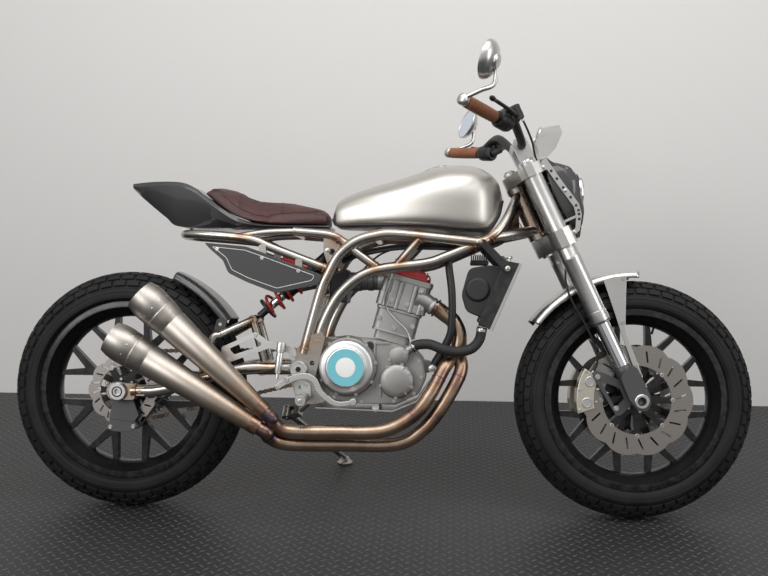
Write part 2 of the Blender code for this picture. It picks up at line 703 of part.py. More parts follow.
def lever(name, side):
    """The perch, switch housing, reservoir and lever inboard of a grip."""
    start = on_grip(side, -0.02)
    inner = on_grip(side, -0.42)
    direction = (start - inner).normalized()
    housing = tube([inner + direction * 0.002, inner + direction * 0.010, start - direction * 0.012,
                    start - direction * 0.002], [0.019, 0.024, 0.024, 0.020], 10)
    pivot = inner + Vector((0.030, side * 0.012, 0.004))
    body = tube([inner + direction * 0.012, pivot], [0.014, 0.012], 8)
    tip = on_grip(side, 0.92) + Vector((0.058, 0, -0.012))
    bend = on_grip(side, 0.10) + Vector((0.048, 0, -0.006))
    blade = tube(curve_through([pivot, bend, tip], 3), 0.0065, 6)
    reservoir = tube([pivot + Vector((0, 0, -0.006)), pivot + Vector((0.004, 0, 0.034))], 0.017, 12)
    piece(name, turned_fork, SATIN_BLACK, [housing, body, blade, reservoir], [bar_form(3 * CLEARANCE)])


def facing_ahead(centre):
    """The matrix that points a turned form's axis straight ahead from a place in the fork's frame."""
    ahead = Matrix.Rotation(RAKE, 4, "Y") @ Matrix.Rotation(math.radians(-90), 4, "Z")
    return Matrix.Translation(centre) @ ahead


def lamp():
    """The round headlamp, its bowl behind the mask."""
    bowl = turned([(-0.050, 0), (-0.050, 0.022), (-0.030, LAMP_RADIUS - 0.012), (-0.006, LAMP_RADIUS),
                   (0.048, LAMP_RADIUS), (0.052, LAMP_RADIUS - 0.006), (0.054, 0.0)], 20)
    piece("headlamp", turned_fork, BLACK, [moved(bowl, facing_ahead(LAMP_PLACE))])


def lamp_mask():
    """The number-board shell round the lamp, hollow behind and open in front of it."""
    stations = [
        (0.736, 0.060, 0.100, 0.120),
        (0.715, 0.082, 0.088, 0.142),
        (0.687, 0.094, 0.080, 0.168),
        (0.640, MASK_HALF_WIDTH, 0.076, 0.171),
        (0.583, 0.094, 0.078, 0.154),
        (0.545, 0.084, 0.084, 0.150),
        (0.515, 0.066, 0.090, 0.136),
        (0.500, 0.044, 0.096, 0.118),
    ]

    def shell(wall):
        sections = []
        for z, half, back, front in stations:
            width = half - wall
            nose = front - wall
            rear = back - 0.03 if wall else back
            swell = rear + 0.6 * (nose - rear)
            half_section = [(rear, -width), (swell, -width * 0.96), (nose - 0.008, -width * 0.7),
                            (nose, -width * 0.35)]
            height = z if not wall else 0.618 + (z - 0.618) * 0.965
            section = [(x, y, height) for x, y in half_section]
            sections.append(section + [(x, -y, h) for x, y, h in reversed(section)])
        return skin(sections)

    radius = LAMP_RADIUS + CLEARANCE
    opening = moved(turned([(-0.1, 0), (-0.1, radius), (0.2, radius), (0.2, 0)], 20),
                    facing_ahead(LAMP_PLACE))
    piece("lamp_mask", turned_fork, CARBON, [shell(0)], [shell(MASK_WALL), opening])


def lamp_bracket():
    """The drilled strips that carry lamp and mask, with the bar that ties them behind the lamp."""
    inner = MASK_HALF_WIDTH + CLEARANCE
    front = [(0.098, 0.735), (0.112, 0.655), (0.128, 0.578), (0.122, 0.545), (0.098, 0.508)]
    seat = LEG_AHEAD + 0.0364
    top_seat = LEG_AHEAD + 0.0356
    back = [(0.083, 0.503), (seat, 0.503), (seat, 0.516), (0.090, 0.519), (0.106, 0.550), (0.111, 0.576),
            (0.096, 0.652),
            (0.087, 0.704), (top_seat, 0.706), (top_seat, 0.722), (0.083, 0.733)]
    forms = both(plate([*front, *back], inner, inner + 0.004))
    forms.append(tube([(0.0742, -inner - 0.002, 0.5485), (0.0742, inner + 0.002, 0.5485)], 0.0036, 8))
    for side in (1, -1):
        low, high = sorted((side * inner, side * (inner + 0.004)))
        forms.append(plate([(0.0712, 0.545), (0.106, 0.545), (0.106, 0.552), (0.0712, 0.552)], low, high))
    piece("lamp_bracket", turned_fork, ALUMINIUM, forms)


def fender():
    """The front mudguard: a crowned strip of sheet round the tyre, with a stay to each leg's foot."""
    radius = FRONT_TYRE_RADIUS + 0.026
    sections = []
    steps = 12
    for step in range(steps + 1):
        angle = math.radians(64 + (118 - 64) * step / steps)
        section = []
        for layer, order in ((0.0025, 1), (0.0, -1)):
            rows = [(-0.074, -0.020), (-0.069, -0.006), (-0.038, 0.002), (0.038, 0.002), (0.069, -0.006),
                    (0.074, -0.020)]
            for y, rise in rows[::order]:
                reach = radius + rise + layer
                section.append((FORK_OFFSET + reach * math.cos(angle), y * (1 + layer * 6),
                                reach * math.sin(angle)))
        sections.append(section)
    stays = []
    for side in (1, -1):
        y = side * 0.0742
        seat = LEG_AHEAD + FOOT_FRONT + CLEARANCE
        outline = [(FORK_OFFSET + 0.122, 0.335), (FORK_OFFSET + 0.100, 0.345), (seat + 0.010, 0.200),
                   (seat, 0.100),
                   (seat, 0.052), (seat + 0.012, 0.052), (seat + 0.022, 0.195)]
        stays.append(plate(outline, y - 0.0018, y + 0.0018))
    piece("front_fender", turned_fork, ALUMINIUM, [skin(sections), *stays])


def caliper(name, body, centre, reach, angle, disc_y, half_width, disc_radius, material):
    """A brake caliper: a block astride the disc's edge, its slot cut by the disc's own size."""
    outline = []
    for radius, start, end in ((disc_radius + 0.016, angle - 22, angle + 22),
                               (disc_radius - reach, angle + 20, angle - 20)):
        outline += arc((centre[0], centre[1]), radius, start, end, 4)
    block = plate(outline, disc_y - half_width, disc_y + half_width)
    room = DISC_THICKNESS / 2 + PAD_GAP
    reach = disc_radius + RUNNING_GAP
    slot = turned([(disc_y - room, 0), (disc_y - room, reach), (disc_y + room, reach), (disc_y + room, 0)],
                  40,
                  (centre[0], 0, centre[1]))
    piece(name, body, material, [block], [slot])


fork_leg("fork_leg_right", -1)
fork_leg("fork_leg_left", 1)
yokes()
piece("handlebar", turned_fork, SATIN_BLACK, [bar_form()])
grip("grip_right", -1)
grip("grip_left", 1)
mirror("mirror_right", -1)
mirror("mirror_left", 1)
lever("brake_lever", -1)
lever("clutch_lever", 1)
lamp()
lamp_mask()
lamp_bracket()
fender()
caliper("front_caliper_right", turned_fork, (FORK_OFFSET, 0.0), 0.034, 146, -DISC_CENTRE_Y,
        CALIPER_HALF_WIDTH, DISC_RADIUS, CAST)
caliper("front_caliper_left", turned_fork, (FORK_OFFSET, 0.0), 0.034, 146, DISC_CENTRE_Y,
        CALIPER_HALF_WIDTH, DISC_RADIUS, CAST)
piece("front_axle", turned_fork, ALUMINIUM, [
    turned([(-FRONT_AXLE_HALF, 0), (-FRONT_AXLE_HALF, 0.017), (-LEG_SPACING - 0.0243, 0.017),
            (-LEG_SPACING - 0.0243, AXLE_RADIUS), (LEG_SPACING + 0.0243, AXLE_RADIUS),
            (LEG_SPACING + 0.0243, 0.017), (FRONT_AXLE_HALF, 0.017), (FRONT_AXLE_HALF, 0)],
           14, (FORK_OFFSET, 0, 0))])


def head_axis(height):
    """A point of the steering axis on the upright machine."""
    return fork_place @ Vector((0, 0, height))


def mirrored(points):
    return [(x, -y, z) for x, y, z in points]


def upper_rail():
    """From the swing-arm pivot up over the engine, under the tank's edge and in to the head."""
    head = head_axis(HEAD_LOW + 0.020)
    return [(0.537, RAIL_Y + 0.003, 0.466), (0.582, RAIL_Y, 0.639), (0.605, RAIL_Y, 0.696),
            (0.635, RAIL_Y, 0.750), (0.680, RAIL_Y, 0.786), (0.735, RAIL_Y, 0.804), (0.797, RAIL_Y, 0.809),
            (0.976, RAIL_Y - 0.003, 0.793), (1.032, RAIL_Y - 0.012, 0.789), (1.079, 0.088, 0.806),
            (head.x - 0.008, 0.012, head.z + 0.004)]


def lower_rail():
    """The inner arc, which leaves the pivot plate and meets the upper rail ahead of the tank."""
    y = RAIL_Y - 0.004
    return [(0.574, y, 0.492), (0.590, y, 0.550), (0.625, y, 0.621), (0.667, y, 0.668), (0.714, y, 0.697),
            (0.770, y, 0.712), (0.883, y, 0.727), (0.939, y, 0.746), (1.034, RAIL_Y - 0.014, 0.787)]


def stand_bracket():
    """The clevis that holds the side stand's eye, its pin, and the strut that carries it."""
    pivot = Vector(STAND_PIVOT)
    root = Vector((0.556, RAIL_Y - 0.0005, 0.336))
    inward = root - pivot
    inward = (inward - STAND_AXIS * inward.dot(STAND_AXIS)).normalized()
    turn = Matrix((inward, STAND_AXIS.cross(inward), STAND_AXIS)).transposed().to_4x4()
    place = Matrix.Translation(pivot) @ turn
    near = STAND_EYE_HALF + 0.001
    far = near + 0.006
    forms = [box((0.032, 0.050), (-0.0125, 0.0125), (-far + 0.0007, far - 0.0007))]
    for side in (1, -1):
        low, high = sorted((side * near, side * far))
        forms.append(box((0.0, 0.046), (-0.012, 0.012), (low, high)))
        forms.append(tube([(0, 0, low - 0.0004), (0, 0, high + 0.0004)], STAND_EYE_RADIUS, 12))
    forms.append(tube([(0, 0, -far - 0.005), (0, 0, far + 0.005)], STAND_PIN_RADIUS, 10))
    forms = [moved(form, place) for form in forms]
    return [*forms, tube([place @ Vector((0.042, 0, 0)), root], 0.011, 8)]


def frame():
    """The welded trellis: rails, head, braces, tail loop and the plates that hold the swing arm's pivot."""
    upright_axis = fork_place @ Matrix.Rotation(math.radians(90), 4, "X")
    head = moved(turned([(HEAD_LOW, 0), (HEAD_LOW, HEAD_TUBE_RADIUS), (HEAD_LOW + 0.016, HEAD_TUBE_RADIUS),
                         (HEAD_LOW + 0.020, HEAD_TUBE_RADIUS - 0.004),
                         (HEAD_HIGH - 0.020, HEAD_TUBE_RADIUS - 0.004),
                         (HEAD_HIGH - 0.016, HEAD_TUBE_RADIUS), (HEAD_HIGH, HEAD_TUBE_RADIUS),
                         (HEAD_HIGH, 0)], 14),
                 upright_axis)
    bore = moved(hole(HEAD_LOW - 0.1, HEAD_HIGH + 0.1, STEM_RADIUS, 12), upright_axis)
    forms = [head]
    forms += both(tube(upper_rail(), RAIL_RADIUS))
    forms += both(tube(lower_rail(), RAIL_RADIUS))
    top = head_axis(HEAD_HIGH - 0.024)
    forms += both(tube(curve_through([(top.x - 0.006, 0.014, top.z), (1.118, 0.062, 0.872),
                                      (1.086, 0.094, 0.822),
                                      (1.046, RAIL_Y - 0.016, 0.790)], 1), STAY_RADIUS, 6))
    forms += both(tube([(0.868, RAIL_Y, 0.800), (0.798, RAIL_Y - 0.004, 0.719)], STAY_RADIUS, 6))
    forms += both(tube(curve_through([(0.500, 0.112, 0.816), (0.606, 0.112, 0.806), (0.649, 0.114, 0.783),
                                      (0.692, 0.117, 0.750), (0.745, RAIL_Y - 0.006, 0.712)],
                                     1), STAY_RADIUS, 6))
    tail = [(0.606, RAIL_Y - 0.004, 0.704), (0.585, RAIL_Y - 0.005, 0.714), (0.440, RAIL_Y - 0.007, 0.768),
            (0.393, 0.117, 0.788),
            (0.336, 0.114, 0.798), (0.230, 0.100, 0.806), (0.178, 0.070, 0.808), (0.160, 0.0, 0.808)]
    forms.append(tube([*tail, *reversed(mirrored(tail[:-1]))], STAY_RADIUS, 6))
    forms += both(tube([(0.336, 0.113, 0.799), (0.420, 0.112, 0.812), (0.510, 0.112, 0.816)], 0.010))
    for x, z, y in ((0.583, 0.642, RAIL_Y), (0.960, 0.792, RAIL_Y)):
        forms.append(tube([(x, -y, z), (x, y, z)], STAY_RADIUS, 6))
    forms.append(tube([(0.735, -RAIL_Y, 0.803), (0.735, RAIL_Y, 0.803)], STAY_RADIUS, 6))
    forms.append(box((0.722, 0.748), (-0.030, 0.030), (0.800, 0.8283)))
    forms.append(box((0.946, 0.974), (-0.030, 0.030), (0.790, 0.8163)))
    forms.append(tube([(0.500, -0.112, 0.8152), (0.500, 0.112, 0.8152)], 0.010))
    forms.append(box((0.155, 0.175), (-0.020, 0.020), (0.808, 0.8290)))
    gusset = [(0.588, 0.806), (0.622, 0.803), (0.644, 0.760), (0.618, 0.712), (0.600, 0.722),
              (0.588, 0.760)]
    forms += both(plate(gusset, 0.1095, 0.1155))
    x, _, z = SHOCK_TOP
    forms.append(tube([(x, -0.1125, z), (x, 0.1125, z)], SHOCK_BOLT_RADIUS))
    forms += both(box((0.405, 0.425), (0.118, PANEL_Y - CLEARANCE), (0.735, 0.775)))
    forms += both(box((0.510, 0.530), (0.118, PANEL_Y - CLEARANCE), (0.700, 0.735)))
    radiator_tab = [(1.020, 0.797), (1.048, 0.797), (1.128, 0.715), (1.110, 0.700)]
    forms += both(plate(radiator_tab, RADIATOR_HALF + CLEARANCE, RADIATOR_HALF + 0.004))
    forms += stand_bracket()
    plate_outline = [(0.512, 0.470), (0.500, 0.430), (0.505, 0.380), (0.520, 0.335), (0.560, 0.322),
                     (0.600, 0.330), (0.590, 0.360), (0.572, 0.400), (0.584, 0.450), (0.598, 0.510),
                     (0.590, 0.530), (0.560, 0.520), (0.536, 0.500)]
    forms += both(plate(plate_outline, RAIL_Y - 0.002, RAIL_Y + 0.012))
    forms.append(tube([(0.545, -RAIL_Y - 0.004, 0.340), (0.545, RAIL_Y + 0.004, 0.340)], 0.012))
    pivot = hole(-0.3, 0.3, PIVOT_RADIUS, 14, (PIVOT_X, 0, PIVOT_Z))
    piece("frame", frame_body, STEEL, forms, [bore, pivot])


def outer_brace(extra):
    """The strut from the left beam over the chain to the shock's eye, or with extra its seat."""
    y = SWING_ARM_Y - 0.002
    points = [(0.238, y, 0.390), (0.268, y, 0.500), (0.290, y - 0.010, 0.516), (0.374, 0.052, 0.560)]
    return tube(points, BRACE_RADIUS + extra, 6)


def swing_arm():
    """Two beams from the pivot barrel to the axle, braced to the shock's lower eye, with pivot and axle."""
    y = SWING_ARM_Y
    forms = [turned([(-RAIL_Y + 0.0035, 0.0), (-RAIL_Y + 0.0035, 0.026), (RAIL_Y - 0.0035, 0.026),
                     (RAIL_Y - 0.0035, 0.0)], 14, (PIVOT_X, 0, PIVOT_Z))]
    beam = [(0.505, y - 0.018, PIVOT_Z), (0.440, y - 0.006, 0.421), (0.344, y, 0.416), (0.136, y, 0.358),
            (0.0365, y, 0.350)]
    forms += both(tube(beam, SWING_ARM_RADIUS))
    ends = [(0.048, 0.372), (-0.020, 0.374), (-0.034, 0.360), (-0.034, 0.338), (-0.020, 0.324),
            (0.048, 0.326)]
    forms += both(plate(ends, y - 0.012, y + 0.012))
    forms.append(tube([(0.415, -y, PIVOT_Z - 0.002), (0.415, y, PIVOT_Z - 0.002)], 0.020))
    forms += both(outer_brace(0.0))
    forms += both(tube([(0.415, 0.052, PIVOT_Z), (0.374, 0.052, 0.560)], BRACE_RADIUS, 6))
    forms.append(tube([(0.374, -0.060, 0.560), (0.374, 0.060, 0.560)], 0.013))
    axle = hole(-0.3, 0.3, AXLE_RADIUS, 14, (0, 0, REAR_TYRE_RADIUS))
    pivot = hole(-0.3, 0.3, PIVOT_RADIUS, 14, (PIVOT_X, 0, PIVOT_Z))
    piece("swing_arm", frame_body, STEEL, forms, [axle, pivot])
    piece("swing_arm_pivot", frame_body, ALUMINIUM, [
        turned([(-PIVOT_HALF, 0), (-PIVOT_HALF, 0.024), (-RAIL_Y - 0.0125, 0.024),
                (-RAIL_Y - 0.0125, PIVOT_RADIUS), (RAIL_Y + 0.0125, PIVOT_RADIUS),
                (RAIL_Y + 0.0125, 0.024), (PIVOT_HALF, 0.024), (PIVOT_HALF, 0)],
               14, (PIVOT_X, 0, PIVOT_Z))])
    face = SWING_ARM_Y + 0.012 + CLEARANCE
    piece("rear_axle", frame_body, ALUMINIUM, [
        turned([(-REAR_AXLE_HALF, 0), (-REAR_AXLE_HALF, 0.026), (-face, 0.028), (-face, AXLE_RADIUS),
                (face, AXLE_RADIUS),
                (face, 0.024), (REAR_AXLE_HALF, 0.022), (REAR_AXLE_HALF, 0)], 14, (0, 0,
                    REAR_TYRE_RADIUS))])


frame()
swing_arm()


def engine():
    """The crankcase with its round covers, the spout for the hose and the lug for the hanger's bolt."""
    y_right = -0.098
    y_left = 0.074
    lower = plate(CASE_OUTLINE, y_right, y_left)
    notch_outer = DRIVE_RADIUS + CHAIN_HEIGHT + 0.006
    notch = turned([(CHAIN_Y - CHAIN_WIDTH / 2 - 0.008, 0), (CHAIN_Y - CHAIN_WIDTH / 2 - 0.008,
                                                             notch_outer),
                    (0.2, notch_outer), (0.2, 0)], 18, (DRIVE_X, 0, DRIVE_Z))
    sprocket = turned([(CHAIN_Y - CHAIN_WIDTH / 2 - 0.008 + CLEARANCE, 0),
                       (CHAIN_Y - CHAIN_WIDTH / 2 - 0.008 + CLEARANCE, 0.012), (CHAIN_Y - 0.003, 0.012),
                       (CHAIN_Y - 0.003, DRIVE_RADIUS - CLEARANCE),
                       (CHAIN_Y + 0.003, DRIVE_RADIUS - CLEARANCE),
                       (CHAIN_Y + 0.003, 0.012), (CHAIN_Y + 0.012, 0.012), (CHAIN_Y + 0.012, 0)],
                      16, (DRIVE_X, 0, DRIVE_Z))
    flywheel = turned([(y_left - 0.01, 0.066), (y_left + 0.020, 0.064), (y_left + 0.042, 0.056),
                       (y_left + 0.046, 0.048),
                       (y_left + 0.046, 0), (y_left - 0.01, 0)][::-1], 20, (0.785, 0, 0.415))
    rim = turned([(-0.112, 0), (-0.112, CLUTCH_RADIUS + 0.006), (-0.09, CLUTCH_RADIUS + 0.010), (-0.09, 0)],
                 24,
                 (CLUTCH_X, 0, CLUTCH_Z))
    pump = turned([(-0.132, 0), (-0.132, 0.024), (-0.126, 0.029), (-0.09, 0.030), (-0.09, 0)], 16,
                  (PUMP.x, 0, PUMP.z))
    small = turned([(-0.138, 0), (-0.138, 0.040), (-0.130, 0.049), (-0.09, 0.050), (-0.09, 0)], 18,
                   (0.803, 0, 0.392))
    lug = plate([(HANGER_X - 0.043, HANGER_Z - 0.024), (HANGER_X + 0.002, HANGER_Z - 0.014),
                 (HANGER_X + 0.014, HANGER_Z - 0.007),
                 (HANGER_X + 0.014, HANGER_Z + 0.007), (HANGER_X + 0.002,
                                                        HANGER_Z + 0.014), (HANGER_X - 0.043,
                                                            HANGER_Z + 0.024)],
                -0.022, 0.022)
    bolt = hole(-0.1, 0.1, HANGER_RADIUS, 12, (HANGER_X, 0, HANGER_Z))
    piece("crankcase", frame_body, CAST, [lower, rim, pump, small, flywheel, lug,
                                          tube([PUMP, SPOUT_END], 0.0115, 10)], [notch, bolt])
    piece("drive_sprocket", frame_body, STEEL, [sprocket])


def clutch_cover():
    """The round cover on the right, with a raised outer ring and a domed middle."""
    base = -0.112 - CLEARANCE
    profile = [(base, 0), (base, CLUTCH_RADIUS), (-0.138, CLUTCH_RADIUS), (-0.150, CLUTCH_RADIUS - 0.010),
               (-0.153, 0.056), (-0.158, 0.050), (-0.160, 0.030), (-0.162, 0)]
    piece("clutch_cover", frame_body, ALUMINIUM, [turned(profile, 24, (CLUTCH_X, 0, CLUTCH_Z))])


def cylinder_frame():
    return Matrix.Translation((0.778, -0.010, 0.4905)) @ Matrix.Rotation(CYLINDER_TILT, 4, "Y")


EXHAUST_PORT = cylinder_frame() @ Vector((0.094, -0.050, 0.142))
EXHAUST_WAY = (EXHAUST_PORT - cylinder_frame() @ Vector((0.040, -0.050, 0.155))).normalized()
INTAKE_PORT = cylinder_frame() @ Vector((-0.086, 0.0, 0.168))


def cylinder():
    """The barrel in its water jacket and the head above it, leaning forward on the crankcase."""
    forms = [box((-0.052, 0.052), (-0.056, 0.056), (-0.022, 0.205), 0.010)]
    forms.append(box((-0.063, 0.062), (-0.065, 0.063), (0.036, 0.099), 0.012))
    forms.append(box((-0.072, 0.074), (-0.070, 0.066), (0.108, 0.196), 0.008))
    place = cylinder_frame()
    forms = [moved(form, place) for form in forms]
    forms.append(tube([EXHAUST_PORT - EXHAUST_WAY * 0.055, EXHAUST_PORT], 0.026, 12))
    forms.append(tube([INTAKE_PORT + Vector((0.050, 0, 0)), INTAKE_PORT], 0.025, 12))
    piece("cylinder", frame_body, CAST, forms,
          [plate([(x, z + CLEARANCE) for x, z in CASE_OUTLINE], -0.2, 0.2)])
    cover = box((-0.064, 0.066), (-0.060, 0.056), (0.196 + CLEARANCE + 0.009, 0.232), 0.008)
    piece("valve_cover", frame_body, RED, [moved(cover, place)])


def intake():
    """The throttle body behind the head and the filter box that it breathes from."""
    mouth = INTAKE_PORT - Vector((CLEARANCE, 0, 0))
    back = Vector((0.640, mouth.y, mouth.z))
    front_face = [(0.652, -0.055, 0.610), (0.652, 0.055, 0.610), (0.652, 0.055, 0.712),
                  (0.652, -0.055, 0.712)]
    rear_face = [(0.602, -0.070, 0.620), (0.602, 0.070, 0.620), (0.602, 0.070, 0.690),
                 (0.602, -0.070, 0.690)]
    forms = [tube([mouth, mouth.lerp(back, 0.5), back], [0.024, 0.028, 0.028], 12),
             skin([rear_face, front_face])]
    piece("intake", frame_body, SATIN_BLACK, forms)


def superellipse(half_width, bottom, top, power, steps):
    """A rounded cross-section in (y, z), flatter at the bottom."""
    middle = bottom + (top - bottom) * 0.42
    points = []
    for step in range(steps):
        angle = 2 * math.pi * (step + 0.5) / steps
        c, s = math.cos(angle), math.sin(angle)
        rise = (top - middle) if s > 0 else (middle - bottom)
        shape = power if s > 0 else 5.0
        y = half_width * math.copysign(abs(c) ** (2 / shape), c)
        z = middle + rise * math.copysign(abs(s) ** (2 / shape), s)
        points.append((y, z))
    return points


def tank():
    """The fuel tank, lofted through rounded sections from its tail to its nose."""
    sections = []
    for x in (0.6035, 0.608, 0.622, 0.650, 0.700, 0.760, 0.830, 0.900, 0.960, 1.010, 1.045, 1.070, 1.088,
              1.0985, 1.103):
        near_end = 0.55 if x in (0.6035, 1.103) else 1.0
        top = along(TANK_TOP, x)
        bottom = along(TANK_BOTTOM, x)
        middle = (top + bottom) / 2
        top = middle + (top - middle) * near_end
        bottom = middle + (bottom - middle) * near_end
        half = along(TANK_HALF, x) * near_end
        sections.append([(x, y, z) for y, z in superellipse(half, bottom, top, 2.5, 20)])
    piece("fuel_tank", frame_body, TANK_METAL, [skin(sections)])


def seat():
    """A plain closed form of the padded seat: its underside follows the cowl that it sits on."""
    sections = []
    for x in (0.2365, 0.245, 0.262, 0.285, 0.310, 0.355, 0.407, 0.460, 0.512, 0.560, 0.580, 0.594):
        low = along(COWL_TOP, x) + 2 * CLEARANCE
        top = max(along(SEAT_TOP, x), low + 0.016)
        half = along(SEAT_HALF, x)
        edge = low + (top - low) * 0.55
        crown = top - 0.006
        half_section = [(half - 0.006, low), (half, low + (edge - low) * 0.5), (half - 0.004, edge),
                        (half * 0.8, crown),
                        (half * 0.4, top)]
        section = [(x, -y, z) for y, z in half_section] + [(x, y, z) for y, z in reversed(half_section)]
        sections.append(section)
    piece("seat", frame_body, LEATHER, [skin(sections)])


def tail_cowl():
    """The carbon tail: a kicked-up number-board tail that runs forward as the tray under the seat."""
    sections = []
    for x in (0.008, 0.035, 0.061, 0.087, 0.115, 0.158, 0.186, 0.209, 0.236, 0.268, 0.300, 0.353, 0.432,
              0.515, 0.600):
        low = along(COWL_BOTTOM, x)
        top = along(COWL_TOP, x)
        half = along(COWL_HALF, x)
        edge = top - min(0.012, (top - low) * 0.4)
        half_section = [(half * 0.72, low), (half * 0.94, low + (edge - low) * 0.45), (half, edge),
                        (half * 0.93, top),
                        (half * 0.4, top)]
        section = [(x, -y, z) for y, z in half_section] + [(x, y, z) for y, z in reversed(half_section)]
        sections.append(section)
    piece("tail_cowl", frame_body, CARBON, [skin(sections)])


def side_panel(name, side):
    outline = [(0.247, 0.780), (0.368, 0.770), (0.420, 0.752), (0.589, 0.690), (0.579, 0.664),
               (0.457, 0.637),
               (0.370, 0.669), (0.318, 0.694), (0.302, 0.730), (0.265, 0.761)]
    inner = side * PANEL_Y
    outer = side * (PANEL_Y + 0.006)
    piece(name, frame_body, CARBON, [plate(outline, min(inner, outer), max(inner, outer))])


def shock():
    """The coil-over unit between the swing arm's brace and the frame, with its spring as a real coil."""
    low = Vector((0.374, 0.0, 0.560))
    high = Vector(SHOCK_TOP)
    axis = (high - low).normalized()
    side = Vector((0, 1, 0))
    other = axis.cross(side)
    eye = 0.015
    body = tube([low + axis * 0.0135, low + axis * 0.045, low + axis * 0.0451, low + axis * 0.052,
                 low + axis * 0.0521, low + axis * 0.110, low + axis * 0.1101, high - axis * 0.070,
                 high - axis * 0.0699, high - axis * 0.060, high - axis * 0.0599, high - axis * 0.004],
                [0.011, 0.011, 0.034, 0.034, 0.012, 0.012, 0.022, 0.022, 0.034, 0.034, 0.018, 0.018], 12)
    top_eye = turned([(-0.016, 0), (-0.016, eye), (0.016, eye), (0.016, 0)], 14, tuple(high))
    bolt = hole(-0.1, 0.1, SHOCK_BOLT_RADIUS, 10, tuple(high))
    piece("shock_body", frame_body, SATIN_BLACK, [body, top_eye], [bolt])
    start = low + axis * (0.052 + 0.0047)
    length = (high - axis * 0.070 - start).length - 0.0047
    turns = 5
    wire = []
    steps = turns * 9
    for step in range(steps + 1):
        angle = 2 * math.pi * step / 9
        point = start + axis * (length * step / steps)
        wire.append(point + 0.0305 * (side * math.cos(angle) + other * math.sin(angle)))
    piece("shock_spring", frame_body, RED, [tube(wire, 0.0042, 5)])


def pipe_route(second):
    """The centre line of one of the twin pipes, from the header down and back under the engine."""
    if second:
        route = [(0.979, -0.074, 0.470), (0.986, -0.092, 0.430), (0.968, -0.110, 0.383),
                 (0.927, -0.122, 0.313), (0.878, -0.128, 0.255), (0.806, -0.132, 0.215),
                 (0.650, -0.140, 0.211), (0.500, -0.168, 0.214), (0.452, -0.190, 0.235)]
    else:
        route = [(0.969, -0.068, 0.470), (0.938, -0.110, 0.432), (0.899, -0.142, 0.358),
                 (0.853, -0.160, 0.300), (0.770, -0.168, 0.256), (0.640, -0.172, 0.250),
                 (0.500, -0.184, 0.252), (0.462, -0.194, 0.280)]
    return route


def exhaust():
    """Header, the twin pipes that it splits into, and a conical silencer on each."""
    start = EXHAUST_PORT + EXHAUST_WAY * CLEARANCE
    header = [start, start + EXHAUST_WAY * 0.014, (0.936, -0.060, 0.583), (0.962, -0.062, 0.562),
              (0.979, -0.066, 0.520),
              (0.975, -0.070, 0.466)]
    forms = [tube(header, HEADER_RADIUS, 10)]
    ends = []
    for second, (small, big) in enumerate(SILENCERS):
        direction = (Vector(big) - Vector(small)).normalized()
        seat = Vector(small) - direction * 0.0005
        route = [*pipe_route(second), tuple(seat - direction * 0.028), tuple(seat)]
        ends.append(tube(route, PIPE_RADIUS, 10))
    forms += ends
    piece("exhaust_pipes", frame_body, TITANIUM, forms)
    for name, (small, big) in zip(("silencer_upper", "silencer_lower"), SILENCERS):
        small = Vector(small)
        big = Vector(big)
        length = (big - small).length
        a = SILENCER_SMALL_RADIUS
        b = SILENCER_BIG_RADIUS
        wall = SILENCER_WALL
        profile = [(0, 0.0), (0, a), (0.030, a), (0.034, a + 0.001), (0.14, a + 0.0085),
                   (length - 0.115, b - 0.006),
                   (length - 0.075, b - 0.001), (length - 0.040, b), (length - 0.018, b - 0.002), (length,
                       b - 0.007),
                   (length, b - 0.007 - wall), (length - 0.018, b - 0.004 - wall), (length - 0.060,
                       b - 0.003 - wall),
                   (length - 0.060, 0.0)]
        piece(name, frame_body, TITANIUM, [moved(turned(profile, 16), silencer_place(small, big))])


def radiator():
    """The radiator with its end tanks and fan shroud, and the hose that loops back to the engine."""
    corners = [(1.104, 0.738), (1.154, 0.728), (1.072, 0.536), (1.032, 0.560)]
    core = plate(corners, -RADIATOR_HALF, RADIATOR_HALF)
    shroud = [(1.060, 0.725), (1.106, 0.720), (1.046, 0.573), (1.000, 0.590), (0.985, 0.640),
              (1.005, 0.715)]
    forms = [core, plate(shroud, -0.100, 0.085)]
    neck = tube([(1.050, -0.105, 0.572), (1.044, -0.105, 0.549)], 0.0125, 10)
    forms.append(neck)
    piece("radiator", frame_body, SATIN_BLACK, forms)
    hose = [(1.0436, -0.105, 0.5475), (1.036, -0.105, 0.512), (1.014, -0.112, 0.487),
            (0.975, -0.1235, 0.478), (0.935, -0.1235, 0.484), (0.895, -0.114, 0.497),
            SPOUT_END + SPOUT_WAY * 0.017, SPOUT_END + SPOUT_WAY * 0.0005]
    piece("radiator_hose", frame_body, RUBBER, [tube(hose, 0.0145, 10)])


